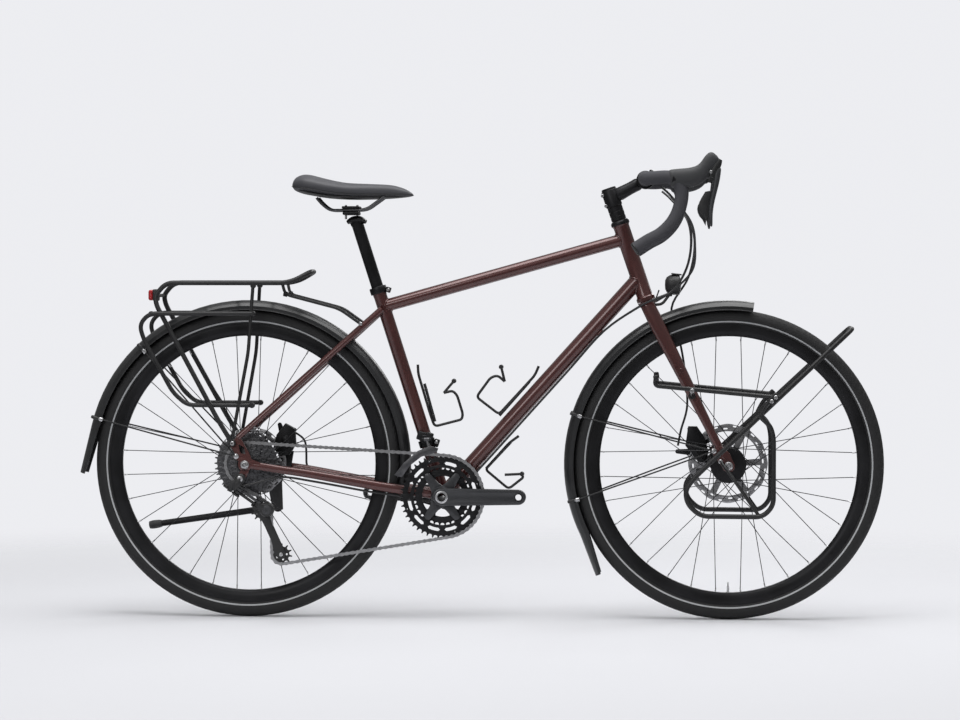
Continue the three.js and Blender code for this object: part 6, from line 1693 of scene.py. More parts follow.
def build_stem() -> None:
    """Builds the spacers, the stem with its face plate, and their bolts."""
    spacers = [
        turned(
            [
                (14.6, low), (16.5, low), (17, low + 0.6), (17, high - 0.6), (16.5, high),
                (14.6, high)
            ],
            HEAD_BOTTOM, HEAD_WAY, 36
        )
        for low, high in ((181.8, 191.6), (192, 202.6), (203, 214.2))
    ]
    clamp = turned(
        [(14.6, 214.6), (17.2, 214.6), (18.5, 216), (18.5, 252), (17.4, 253.8), (14.6, 253.8)],
        HEAD_BOTTOM, HEAD_WAY, 40
    )
    cap = turned(
        [
            (0, 254.2), (16.6, 254.2), (17, 255), (16.4, 257.4), (14.5, 258.3), (4.4, 258.3),
            (4.4, 255.6), (0, 255.6)
        ],
        HEAD_BOTTOM, HEAD_WAY, 40
    )
    start = in_head(234.3)
    way = (BAR_CENTRE - start).normalized()
    away = ACROSS.cross(way)
    rows = []
    length = (BAR_CENTRE - start).length
    for share, wide, deep in (
        (0.08, 17, 17.5), (0.4, 15.2, 14.2), (0.66, 16.5, 13.4), (0.86, 21, 16.5)
    ):
        rows.append(Station(start + way * length * share, wide, away * deep))
    arm = rounded_by(loft(rows, 24, 0.85))
    ring_ = turned(
        [(16.1, -23), (19.8, -23), (20.4, -22), (20.4, 22), (19.8, 23), (16.1, 23)], BAR_CENTRE,
        ACROSS, 40
    )
    plate = block(
        BAR_CENTRE + way * 19.5, (6, 42, 30), 2.4, math.degrees(math.atan2(way.z, way.x))
    )
    bolts = [
        bolt(BAR_CENTRE + way * 22.2 + away * up + ACROSS * y, way, 3.4, 2.6) for up in (-11, 11)
        for y in (-15, 15)
    ]
    for along in (222, 246):
        rear = in_head(along) - HEAD_FRONT * 17.5
        bolts.append(rod(rear - ACROSS * 11, rear + ACROSS * 11, 3.3))
        bolts.append(bolt(rear - ACROSS * 10.5, -ACROSS, 3.6, 2.2))
    lugs = [
        block(in_head(along) - HEAD_FRONT * 16.5, (8.5, 19, 9.5), 2.4, -18.7)
        for along in (222, 246)
    ]
    top_bolt = bolt(in_head(255.6), HEAD_WAY, 4.2, 3.2)
    mount(
        "stem_with_spacers", [*spacers, clamp, cap, arm, ring_, plate, *lugs], ANODISED,
        Body.STEERING, "stem"
    )
    mount("stem_bolts", [*bolts, top_bolt], SILVER, Body.STEERING)


def build_bar() -> None:
    """Builds the bar's bare middle and the tape wound round each side."""
    radius, half = BAR_RADIUS, BAR_CENTRE_HALF
    middle = turned(
        [
            (0, -half), (14, -half), (radius, -half + 10), (radius, half - 10), (14, half),
            (0, half)
        ],
        BAR_CENTRE, ACROSS, 32
    )
    mount("bar_middle", middle, ANODISED, Body.STEERING, "handlebar")
    offsets = [
        (0, 0, 52), (0, 0, 100), (0, 0, 165), (6, -1, 188), (20, -1, 199), (52, 0, 204),
        (70, -9, 205.5), (80.7, -30, 207), (76, -66, 210), (61.5, -97, 214), (36.4, -122.8, 218),
        (7, -139.3, 222), (-19.5, -156.3, 226)
    ]
    for side in Side:
        rows = smoothed([(o[0], o[1], o[2]) for o in offsets], 7)
        points = [BAR_CENTRE + Vector((x, y * side.value, z)) for x, z, y in rows]
        tape = tube(points, TAPE_RADIUS, sides=28)
        end_way = (points[-1] - points[-3]).normalized()
        plug = turned(
            [
                (0, -6), (11.4, -6), (11.4, 0.2), (15.2, 0.4), (15.6, 1.6), (13.5, 3.8), (7, 4.8),
                (0, 5)
            ],
            points[-1], end_way, 28
        )
        start_band = turned(
            [(14.6, 0), (16.2, 0.3), (16.3, 7.8), (14.6, 8)], points[0], ACROSS * side.value, 32
        )
        mount(f'bar_tape_{side.word}', tape, TAPE, Body.STEERING, "handlebar", 50)
        mount(f'bar_plug_{side.word}', [plug, start_band], MOULDED, Body.STEERING)


def build_hood(side: Side) -> None:
    """Lofts one rubber hood from the bar to its horn, with its moulded plastic nose."""
    y = HOOD_Y * side.value
    rows = (
        ((430, 966), (422, 1004.5), 13.5), ((438, 965.6), (430, 1006.8), 16),
        ((452, 966), (445, 1008.5), 17.2), ((476, 966), (466, 1009.6), 16.8),
        ((497, 974), (484, 1013), 15.6), ((509, 985), (494, 1020.5), 14.2),
        ((517, 998), (500, 1029.5), 13.2), ((526, 1011), (507, 1039.5), 12.2),
        ((534, 1021), (515, 1045.4), 10.6), ((538, 1029), (524, 1043.6), 7)
    )
    stations = [Station.between(low, high, y, wide) for low, high, wide in rows]
    hood = rounded_by(loft(stations, 20, 0.86))
    mount(f'hood_{side.word}_rubber', hood, HOOD_RUBBER, Body.STEERING, f'hood_{side.word}', 60)
    nose = blade(
        [
            (519, 989, y, 8.6, 9), (522, 1000, y, 9.6, 11), (527, 1011, y, 9.4, 10.5),
            (533, 1021, y, 8, 8.6), (537.5, 1028.5, y, 5.4, 5.2)
        ],
        3, 16
    )
    mount(f'hood_nose_{side.word}', nose, MOULDED, Body.STEERING)
    dot = bolt(Vector((517, y + side.value * 13.2, 1000.5)), ACROSS * side.value, 3.4, 2.6)
    band = turned(
        [(14.4, -4), (16.2, -3.6), (16.2, 3.6), (14.4, 4)], Vector((437.5, y, 986)),
        Vector((0.97, 0, -0.22)), 28
    )
    mount(f'hood_bolt_{side.word}', dot, SILVER, Body.STEERING)
    mount(f'hood_clamp_{side.word}', band, ANODISED, Body.STEERING)


def build_lever(side: Side) -> None:
    """Lofts one brake lever's blade with its pivot."""
    y = HOOD_Y * side.value
    rows = (
        (1012, 524.5, 541, 8), (1000, 523, 539, 8.4), (985, 522.5, 537.5, 8.2),
        (960, 519, 531.5, 7.6), (938, 513.8, 525.4, 7.2), (915, 511.3, 521.7, 7),
        (900, 512.4, 521.2, 6.8), (888, 514.4, 521.4, 6.4), (881, 516.6, 520.6, 4.2)
    )
    stations = [Station.between((low, z), (high, z), y, wide) for z, low, high, wide in rows]
    blade_piece = rounded_by(loft(stations, 16, 0.9))
    pivot = Vector((LEVER_PIVOT[0], y, LEVER_PIVOT[2]))
    barrel = rod(pivot - ACROSS * 4, pivot + ACROSS * 4, 7.6, 20)
    web = block(Vector((519, y, 996.5)), (16, 7.6, 13), 2, 12)
    mount(
        f'brake_lever_blade_{side.word}', [blade_piece, barrel, web], LEVER_RESIN,
        f'brake_lever_{side.word}', f'brake_lever_{side.word}', 60
    )


def build_paddle(side: Side) -> None:
    """Cuts one shift paddle behind the lever's blade."""
    outline = [
        (519.8, 961), (505, 958), (497, 945), (492, 935), (491, 928), (492, 920), (496, 911),
        (503, 903), (510.4, 889), (512.2, 905), (514.6, 938)
    ]
    low, high = (200.2, 206.8) if side is Side.LEFT else (-206.8, -200.2)
    paddle = flat([outline], low, high, 1.6)
    mount(
        f'shift_paddle_plate_{side.word}', paddle, MOULDED, f'shift_paddle_{side.word}',
        f'shift_paddle_{side.word}'
    )


# ---- seat

POST_RADIUS = 13.6
RAIL_RADIUS = 3.5


def build_post() -> None:
    """Turns the post and builds its head."""
    r = POST_RADIUS
    post = turned(
        [(0, 384.3), (r, 384.3), (r, 640), (r + 1.6, 645), (r + 1.6, 650), (0, 652)], BRACKET,
        SEAT_WAY, 36
    )
    head = BRACKET + SEAT_WAY * 652
    cradle = blade(
        [
            (head.x - 20, head.z - 4, 0, 17, 4.5), (head.x - 8, head.z + 1, 0, 19, 8.5),
            (head.x + 8, head.z + 2, 0, 19, 8.5), (head.x + 22, head.z - 3, 0, 17, 4.5)
        ],
        3, 20
    )
    mount("seatpost_tube", [post, cradle], ANODISED, Body.SEAT, "seatpost")


def build_base() -> None:
    """Builds the rails, their clamp and the saddle's moulded base."""
    path = side_points(
        [
            (-368, 950, 22), (-358, 938, 22), (-338.8, 921.5, 22), (-300, 921.8, 22),
            (-256, 922.7, 22), (-214, 953, 22)
        ]
    )
    rail = tube(rounded(path, 14), RAIL_RADIUS, sides=12)
    mount("saddle_rails", both(rail), COG_STEEL, Body.SEAT, "saddle_base")
    clamp = [
        block(Vector((-291, 0, 915)), (36, 58, 8), 2.6),
        block(Vector((-291, 0, 928)), (40, 56, 6), 2.4)
    ]
    bolts = [rod(Vector((-291 + x, 0, 902)), Vector((-291 + x, 0, 934)), 2.6) for x in (-13, 13)]
    mount("rail_clamp", clamp, ANODISED, Body.SEAT)
    mount("rail_clamp_bolts", bolts, SILVER, Body.SEAT)
    base = rounded_by(loft(base_rings(), 24, 0.8))
    mount("saddle_shell", base, MOULDED, Body.SEAT, "saddle_base")


def base_rings() -> list[Station]:
    """The rings of the shell under the padding."""
    rows = (
        (-419, 970.5, 976, 36), (-405, 961.5, 972, 58), (-378, 954.5, 966, 68),
        (-345, 948.5, 960, 62), (-300, 945.5, 956, 46), (-250, 945.5, 956, 29),
        (-200, 947.5, 957, 19), (-168, 950.5, 957, 15), (-155, 953, 956.5, 9)
    )
    return [Station.between((x, low), (x, high), 0, half) for x, low, high, half in rows]


def build_cover() -> None:
    """Lofts the padded top, presses its middle groove and sews its seam."""
    rows = smoothed(
        [
            (-422, 972, 982, 38), (-416, 965, 995, 54), (-400, 959, 1002.5, 67),
            (-380, 955, 1002, 73), (-345, 949.5, 993, 68), (-300, 946.5, 984.5, 50),
            (-250, 946.5, 982.5, 32), (-200, 948.5, 979, 22), (-170, 950.5, 970.5, 18.5),
            (-157, 952.5, 963, 14), (-151, 954.5, 958.5, 8)
        ],
        3
    )
    stations = [Station.between((x, low), (x, high), 0, half) for x, low, high, half in rows]
    cover = loft(stations, 40, 0.82)
    press_groove(cover)
    cover = rounded_by(cover)
    mount("saddle_padding", cover, SADDLE_SKIN, Body.SEAT, "saddle_cover", 60)
    rim = [Vector((s.centre.x, s.wide, s.centre.z - s.deep.z * 0.42)) for s in stations]
    seam = both(tube(rim, 0.9, sides=6))
    mount("saddle_piping", seam, MOULDED, Body.SEAT)


def press_groove(cover: Obj) -> None:
    """Presses the long groove and the tail's dip into the cover's top."""
    for corner in cover.data.vertices:
        x, y, z = corner.co
        top = max(0, min(1, (z - 965) / 14))
        groove = math.exp(-(y / 9) ** 2) * top
        reach = math.exp(-((x + 330) / 95) ** 4)
        corner.co.z -= 3.6 * groove * reach


# ---- mudguards


@dataclass
class Mudguard:
    """A bent guard with its flap, its two pairs of stays and their fittings."""

    name: str
    axle: Vector
    body: Body
    first: float
    last: float
    flap: float
    drop: float
    eye: Triple
    elbow: float
    clips: tuple[Pair, Pair]
    radius: float = 366
    half_width: float = 23.5
    wall: float = 1.6

    def section(self) -> list[Pair]:
        """The guard's cross-section as (y, outward) corners, all the way round."""
        half, wall = self.half_width, self.wall
        outer = [
            (-half, -17), (-half - 0.2, -9), (-20, -4.6), (-15, 0.4), (-9, 3), (0, 4), (9, 3),
            (15, 0.4), (20, -4.6), (half + 0.2, -9), (half, -17)
        ]
        inner = [(y * (half - wall) / half, out - wall * 0.9) for y, out in reversed(outer[1:-1])]
        return [*outer, (half - wall, -17), *inner, (wall - half, -17)]

    def build(self) -> None:
        """Bends the guard and builds its stays and fittings."""
        section = self.section()
        rings: list[list[Vector]] = []
        steps = 46
        for i in range(steps + 1):
            angle = self.first + (self.last - self.first) * i / steps
            out = unit(angle)
            rings.append([self.axle + out * (self.radius + o) + ACROSS * y for y, o in section])
        out = unit(self.last)
        run = Vector((-out.z, 0, out.x))
        for k in range(1, 7):
            share = k / 6
            widen = 1 + 0.12 * share
            rings.append(
                [
                    self.axle + out * (
                        self.radius + o * (1 - 0.35 * share) + self.drop * share
                    ) + run * self.flap * share + ACROSS * y * widen
                    for y, o in section
                ]
            )
        guard = self.skin(rings)
        beads = []
        for side in (1, -1):
            edge = [r[0 if side < 0 else 10] for r in rings[:steps + 1]]
            beads.append(tube(edge, 1.3, sides=6))
        eye = self.axle + Vector((self.eye[0], 0, self.eye[1]))
        stays, fittings, clips = [], [], []
        for x, z in self.clips:
            edge = self.axle + Vector((x, self.half_width + 2.4, z))
            tip = edge + Vector((x, 0, z)).normalized() * 12
            knee = eye.lerp(Vector((edge.x, 0, edge.z)), self.elbow)
            knee.y = self.eye[2]
            eye_at = Vector((eye.x, self.eye[2], eye.z))
            path = rounded([eye_at, knee, edge, tip], 22)
            stays.append(tube(path, 1.8, sides=10))
            way = (tip - edge).normalized()
            fittings.append(
                turned(
                    [(0, 0), (3.4, 0), (4, 2), (4, 15), (2.8, 17.5), (0, 17.5)], edge + way * 2,
                    way, 14
                )
            )
            clips.append(
                turned(
                    [(1.9, 0), (4.8, 0), (5.2, 1), (5.2, 7.4), (4.6, 8.2), (1.9, 8.2)],
                    edge - way * 8, way, 16
                )
            )
            clips.append(rod(edge - ACROSS * 4.6, edge + ACROSS * 3.6, 3, 12))
        eyes = turned(
            [(0, 0), (5.6, 0), (6, 0.8), (6, 4.6), (3.2, 5.4), (3.2, 7.6), (0, 8.2)],
            Vector((eye.x, self.eye[2] - 3.6, eye.z)), ACROSS, 16
        )
        mount(
            self.name + "_guard", [guard, *beads], GUARD_PLASTIC, self.body,
            self.name + "_mudguard", 40
        )
        mount(
            self.name + "_guard_stays", both(*stays), RACK_COAT, self.body, self.name + "_mudguard"
        )
        mount(self.name + "_guard_end_caps", both(*fittings), MOULDED, self.body)
        mount(self.name + "_guard_clips", both(*clips, eyes), SILVER, self.body)

    @staticmethod
    def skin(rings: Sequence[Sequence[Vector]]) -> Obj:
        """Extrudes one closed section from ring to ring."""
        clear()
        bpy.ops.mesh.primitive_circle_add(vertices=len(rings[0]), fill_type="NGON")
        piece = bpy.context.object
        for corner, place in zip(piece.data.vertices, rings[0]):
            corner.co = place
        bpy.ops.object.mode_set(mode="EDIT")
        bpy.ops.mesh.select_all(action="SELECT")
        previous = rings[0]
        for following in rings[1:]:
            bpy.ops.mesh.extrude_region_move()
            mesh = bmesh.from_edit_mesh(piece.data)
            for corner in (c for c in mesh.verts if c.select):
                nearest = min(range(len(previous)), key=lambda k: (previous[k] - corner.co).length)
                corner.co = following[nearest]
            bmesh.update_edit_mesh(piece.data)
            previous = following
        return outward(piece)


# ---- racks

RACK_TUBE = 5.5
DECK_Z = 758


def build_rear_rack() -> None:
    """Bends and mounts the rack."""
    spine_rows = [
        (-553, 397.6, 80), (-584, 447, 79), (-726, 707, 66), (-730, 729, 62), (-706, 758, 58),
        (-425, 758, 58), (-380, 783, 46)
    ]
    rows = spine_rows + [(x, z, -y) for x, z, y in reversed(spine_rows)]
    spine = bent(rows, 26, RACK_TUBE, 16, 8)
    strut = bent([(-508, 758, 58), (-518, 601, 70), (-553, 410, 78)], 18, 4, 12)
    loop = bent(
        [
            (-508, 689, 69), (-742, 689, 73), (-764, 664, 73), (-754, 630, 73), (-688, 511, 73),
            (-656, 483, 73), (-509, 483, 73)
        ],
        17, 5, 16, 8
    )
    links = [
        rod(Vector((-736, 62, 689)), Vector((-736, 73, 689)), 4),
        rod(Vector((-601, 78.3, 483)), Vector((-601, 73, 483)), 4),
        rod(Vector((-540, 76.3, 483)), Vector((-540, 73, 483)), 4)
    ]
    stay = bent([(-443, 758, 52), (-437, 732, 46), (-315, 700, 46), (-267, 666, 42)], 16, 3.5, 12)
    foot = turned(
        [(2.6, 0), (7.2, 0), (7.8, 0.8), (7.8, 8.2), (7.2, 9), (2.6, 9)],
        Vector((-553, 74.3, 397.6)), ACROSS, 20
    )
    bars = [rod(Vector((x, -58, DECK_Z)), Vector((x, 58, DECK_Z)), 4) for x in (-646, -556, -466)]
    bars.append(rod(Vector((-730, -62, 729)), Vector((-730, 62, 729)), 4))
    beads = []
    for x, z, y in ((-508, 689, 67), (-509, 483, 74), (-508, 752, 58), (-738, 688, 66)):
        beads.append(
            turned(
                [(0, -6), (5, -6), (6.4, -4), (6.4, 4), (5, 6), (0, 6)], Vector((x, y, z)), ACROSS,
                14
            )
        )
    mount(
        "rear_rack_tubes", [spine, *bars, *both(strut, loop, stay, foot, *links, *beads)],
        RACK_COAT, Body.FRAME, "rear_rack"
    )
    bolts = both(
        bolt(Vector((-553, 83.3, 397.6)), ACROSS, 4.8, 3.2),
        bolt(Vector((-267, 46, 666)), ACROSS, 4.4, 3)
    )
    clips = both(
        turned(
            [(3.6, -5), (6, -4.4), (6, 4.4), (3.6, 5)], Vector((-436, 46, 733)),
            Vector((0.97, 0, -0.25)), 16
        )
    )
    mount("rear_rack_bolts", bolts, SILVER, Body.FRAME)
    mount("rear_rack_stay_clamps", clips, ANODISED, Body.FRAME)


def build_front_rack() -> None:
    """Bends and mounts the rack."""
    rows = [
        (628, 463, 105), (652, 440, 105), (658.4, 414, 105), (658.4, 264, 105), (634.8, 239, 105),
        (496.6, 240, 105), (467.7, 267.3, 105), (463, 298.5, 105), (484.8, 326.8, 105),
        (833.7, 655.6, 62)
    ]
    rows += [(x, z, -y) for x, z, y in reversed(rows)]
    spine = bent(rows, 24, 5.5, 16, 8)
    arm = bent([(398, 551, 105), (395, 530, 105), (660, 505, 105)], 10, 5, 14)
    brace = bent([(542, 359, 58), (568, 325, 84), (626, 242, 103)], 14, 4, 12)
    joint = block(Vector((658.5, 105, 500)), (27, 13, 20), 3.2, 43)
    rest = block(Vector((398, 105, 547)), (12, 12, 14), 3, 8)
    lower = bent([(628, 463, 105), (640, 486, 105), (658, 505, 105)], 8, 5, 14)
    cross = rod(Vector((478, 50, 506)), Vector((478, 105, 518)), 4)
    plug = rod(Vector((478, 51, 506)), Vector((478, 58, 506)), 8)
    mount(
        "front_rack_tubes", [spine, *both(arm, brace, joint, rest, lower, cross, plug)], RACK_COAT,
        Body.STEERING, "front_rack"
    )
    bolts = both(
        bolt(Vector((478, 109, 519)), ACROSS, 5.2, 3.2),
        bolt(Vector((654, 111.5, 496)), ACROSS, 4.6, 3),
        bolt(Vector((663, 111.5, 505)), ACROSS, 4.6, 3), bolt(Vector((542, 60, 359)), ACROSS, 5, 3)
    )
    mount("front_rack_bolts", bolts, SILVER, Body.STEERING)


HEADLIGHT = Vector((426, 0, 754))


def build_lamps() -> None:
    """Builds and mounts both lamps."""
    shell = turned(
        [
            (0, -9), (10, -8.4), (17, -5), (21.4, 2), (23, 10), (23, 23), (21.6, 24.4),
            (20.6, 24.4), (20, 12), (0, 9)
        ],
        HEADLIGHT, FORWARD, 40
    )
    brim = block(HEADLIGHT + Vector((17, 0, 23.5)), (24, 26, 3.6), 1.6, -6)
    rear = in_head(-23.5) + HEAD_FRONT * 12
    bracket = [
        tube(
            rounded([rear, rear + Vector((20, 0, 2)), HEADLIGHT + Vector((0, 0, -24))], 8), 3.4,
            sides=10
        ),
        block(HEADLIGHT + Vector((1, 0, -22.5)), (13, 12, 8), 2)
    ]
    glass = turned(
        [(0, 10), (19.6, 13), (20.4, 22.4), (18, 25.2), (10, 27.2), (0, 27.8)], HEADLIGHT, FORWARD,
        40
    )
    mount("headlight_shell", [shell, brim, *bracket], MOULDED, Body.STEERING, "headlight")
    mount("headlight_glass", glass, CLEAR_LENS, Body.STEERING)
    lead = rounded(
        side_points(
            [(404, 742, 4), (396, 720, 10), (388, 690, 14), (398, 660, 16), (412, 640, 20)]
        ),
        12
    )
    wire = tube(lead, 1.6, sides=8)
    mount("headlight_lead", wire, CABLE_JACKET, Body.STEERING)
    base = block(Vector((-737.5, 0, 730)), (9, 50, 27), 3.2)
    plate = block(Vector((-733, 0, 730)), (3, 30, 20), 1)
    lens = block(Vector((-746.5, 0, 730)), (11.5, 47, 24), 4.6)
    mount("tail_lamp_body", [base, plate], MOULDED, Body.FRAME, "tail_light")
    mount("tail_lamp_lens", lens, RED_LENS, Body.FRAME, "tail_light")


# ---- brakes and the stand


def build_brakes() -> None:
    """Builds and mounts both calipers with their arms."""
    x, z = FRONT_AXLE.x, FRONT_AXLE.z
    outline = [
        (x - 90, z + 84), (x - 70, z + 84), (x - 52, z + 58), (x - 44, z + 26), (x - 48, z + 2),
        (x - 68, z + 4), (x - 96, z + 40)
    ]
    build_caliper("front", outline, 33, 54, 39, 43, Body.STEERING, Vector((x - 70, 0, z + 36)))
    bracket = flat(
        [[(x - 64, z + 64), (x - 46, z + 71), (x - 35.2, z + 51), (x - 50, z + 42)]], 46.5, 53.4,
        1.2
    )
    bracket_bolts = [
        bolt(Vector((x + a, 53, z + b)), ACROSS, 3.6, 2.6) for a, b in ((-49, 63), (-43, 51))
    ]
    mount("front_caliper_bracket", bracket, ANODISED, Body.STEERING)
    mount("front_bracket_bolts", bracket_bolts, SILVER, Body.STEERING)
    arm = flat([link_outline((x - 66, z + 24), 9, (x - 114, z + 26), 5)], 54.4, 58.2, 0.8)
    pivot = bolt(Vector((x - 66, 58, z + 24)), ACROSS, 6, 3.4)
    mount("front_brake_arm_plate", [arm, pivot], ANODISED, Body.FRONT_ARM, "front_caliper_arm")
    x, z = REAR_AXLE.x, REAR_AXLE.z
    outline = [
        (x + 50, z + 30), (x + 58, z + 62), (x + 78, z + 88), (x + 100, z + 76), (x + 102, z + 40),
        (x + 88, z + 16), (x + 66, z + 14)
    ]
    build_caliper("rear", outline, 38, 59, 44, 48, Body.FRAME, Vector((x + 80, 0, z + 50)))
    foot = flat(
        [[(x + 62, z + 24), (x + 96, z + 24), (x + 90, z - 12), (x + 70, z - 10)]], 52, 58.8, 1.2
    )
    mount("rear_caliper_foot", foot, ANODISED, Body.FRAME)
    arm = flat([link_outline((x + 74, z + 48), 9, (x + 63, z + 84), 5)], 59.4, 63.2, 0.8)
    pivot = bolt(Vector((x + 74, 63, z + 48)), ACROSS, 6, 3.4)
    mount("rear_brake_arm_plate", [arm, pivot], ANODISED, Body.REAR_ARM, "rear_caliper_arm")


def build_caliper(
    name: str, outline: Loop, low: float, high: float, gap_low: float, gap_high: float, body: Body,
    knob: Vector
) -> None:
    """Builds one cast caliper in two halves, either side of its rotor's slot."""
    halves = [flat([outline], low, gap_low, 1.8), flat([outline], gap_high, high, 2.6)]
    knob_piece = turned(
        [(0, low - 3), (9, low - 3), (10.5, low - 2), (10.5, low + 1), (0, low + 1)], knob, ACROSS,
        20
    )
    bolts = [
        bolt(
            Vector(
                (
                    outline[i][0] * 0.86 + knob.x * 0.14, high - 0.6,
                    outline[i][1] * 0.86 + knob.z * 0.14
                )
            ),
            ACROSS, 4.6, 3.4
        )
        for i in (0, 3)
    ]
    mount(name + "_caliper_halves", [*halves, knob_piece], ANODISED, body, name + "_caliper")
    mount(name + "_caliper_bolts", bolts, SILVER, body)


LEG_RADIUS = 7.5


def build_stand() -> None:
    """Builds and mounts the bracket and the leg."""
    x, z = REAR_AXLE.x, REAR_AXLE.z
    outline = [
        (x + 24, z + 4), (x + 40, z + 1), (x + 72, z - 8), (x + 70, z - 30), (x + 66, z - 50),
        (x + 68, z - 112), (x + 44, z - 112), (x + 32, z - 50), (x + 24, z - 22)
    ]
    bracket = flat([outline], 74.5, 81.2, 1.4)
    bolts = [bolt(Vector((x + a, 81, z + b)), ACROSS, 4.8, 3.6) for a, b in ((38, -8), (58, -13))]
    mount("stand_bracket", bracket, MOULDED, Body.FRAME, "kickstand_bracket")
    mount("stand_bolts", bolts, SILVER, Body.FRAME)
    pivot = Vector((-471, 86, 243))
    axis = Vector((0.0625, -0.9038, -0.4234)).normalized()
    disc = turned(
        [(0, -5.8), (10, -5.8), (11, -4.8), (11, 4.8), (10, 5.8), (4, 6), (0, 6)], pivot, axis, 28
    )
    way = Vector((-0.989, 0, -0.1457)).normalized()
    leg = tube(
        [pivot + way * along for along in (4, 20, 40, 120, 250, 286, 292, 299)], LEG_RADIUS,
        (0.9, 1, 1, 0.98, 0.95, 0.95, 1.05, 1), sides=20
    )
    foot = blade(
        [
            (pivot.x + way.x * a, pivot.z + way.z * a, pivot.y, w, d)
            for a, w, d in ((272, 8.2, 8.2), (280, 9.4, 9.4), (292, 11.5, 9.8), (300, 12, 8.6))
        ],
        2, 16
    )
    mount("stand_leg_tube", [disc, leg], ANODISED, Body.STAND, "kickstand_leg")
    mount("stand_foot", foot, HOOD_RUBBER, Body.STAND)


# ---- bottle cages


@dataclass
class BottleCage:
    """A bottle cage bent from rod, on its two bosses."""

    name: str
    loop: tuple[Pair, ...]
    prong: tuple[Pair, Pair]
    rail: tuple[Pair, Pair]
    node: str
    wire: float = 3

    def build(self) -> None:
        """Bends and mounts the cage."""
        wire = bent(self.loop, 9, self.wire, 12)
        tip = tube(side_points(self.prong), self.wire, sides=12)
        rail = tube(side_points(self.rail), self.wire * 1.1, sides=12)
        a, b = side_points(self.rail)
        cross = [
            rod(a.lerp(b, t) - ACROSS * 7, a.lerp(b, t) + ACROSS * 7, 3.4, 12)
            for t in (0.16, 0.84)
        ]
        knobs = [
            turned([(0, -8), (4, -7.6), (5.4, -5), (5.4, 5), (4, 7.6), (0, 8)], p, ACROSS, 14)
            for p in side_points((self.prong[1],))
        ]
        mount(
            self.name + "_cage", [wire, tip, rail, *cross, *knobs], RACK_COAT, Body.FRAME,
            self.node
        )


# ---- cables

CABLE_RADIUS = 2.5


def under_tube(along: float, y: float) -> Vector:
    """A point under the down tube, so far from the bottom bracket."""
    top = HEAD_BOTTOM + HEAD_WAY * 42.9
    way = (top - BRACKET).normalized()
    below = Vector((way.z, 0, -way.x))
    return BRACKET + way * along + below * 20.5 + ACROSS * y


def build_cables() -> None:
    """Draws and dresses the cables, and leaves them loose."""
    top = [
        (410, 968, 186), (430, 950, 172), (466, 905, 122), (476, 852, 74), (466, 792, 52),
        (436, 742, 50), (396, 722, 50), (362, 706, 40)
    ]
    made = []
    for side in (1, -1):
        points = [Vector((x, y * side, z)) for x, z, y in top]
        points += [under_tube(a, 13 * side) for a in (520, 400, 280, 160, 70)]
        points += [
            Vector((BRACKET.x + 12, 13 * side, 254)), Vector((BRACKET.x - 14, 16 * side, 254)),
            Vector((-168, 33 * side, 275)), Vector((-250, 44 * side, 288)),
            Vector((-372, 58 * side, 311))
        ]
        if side < 0:
            points += [
                Vector((-446, -64, 321)), Vector((-500, -74, 308)), Vector((-530, -81, 302))
            ]
        else:
            points += [Vector((-396, 76, 322)), Vector((-404, 80, 345))]
        made.append(cable([tuple(p) for p in points], 5))
    extra = [
        (430, -172, 950), (474, -132, 894), (484, -90, 840), (478, -62, 786), (436, -50, 742),
        (396, -44, 716)
    ]
    made.append(cable(extra))
    lines = dressed("gear_and_brake_cables", made, CABLE_JACKET, "control_cables", 60)
    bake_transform(lines)
    front = [
        (410, 186, 968), (434, 176, 946), (474, 132, 894), (484, 90, 840), (470, 62, 770),
        (432, 58, 700), (452, 60, 620), (462, 62, 560), (468, 60, 480), (454, 57, 424),
        (447, 57, 388)
    ]
    hose = dressed("front_brake_cable", cable(front), CABLE_JACKET, "control_cables", 60)
    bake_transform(hose)
    rear = [(-404, 80, 345), (-406, 74, 392), (-424, 68, 412), (-450, 62, 424)]
    end = dressed("rear_brake_cable", cable(rear), CABLE_JACKET, "control_cables", 60)
    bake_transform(end)


# ---- studio

EYE = (0.43, -7.133, 0.787)
TARGET = (0, 0, 0.5836)
CAMERA_LENS = 118.57
PALE = (0.845, 0.85, 0.88)
GROUND = (0.7, 0.705, 0.735)


def build_studio() -> None:
    """Sets up the whole studio."""
    build_camera()
    build_world()
    build_studio_lamps()
    build_floor()


def build_camera() -> None:
    """Places the camera where the photograph was taken from."""
    bpy.ops.object.camera_add(location=EYE)
    camera = bpy.context.object
    camera.name = "camera"
    camera.data.lens = CAMERA_LENS
    camera.data.sensor_width = SENSOR_WIDTH
    camera.data.clip_end = VIEW_END
    way = Vector(TARGET) - Vector(EYE)
    camera.rotation_euler = way.to_track_quat("-Z", "Y").to_euler()
    bpy.context.scene.camera = camera


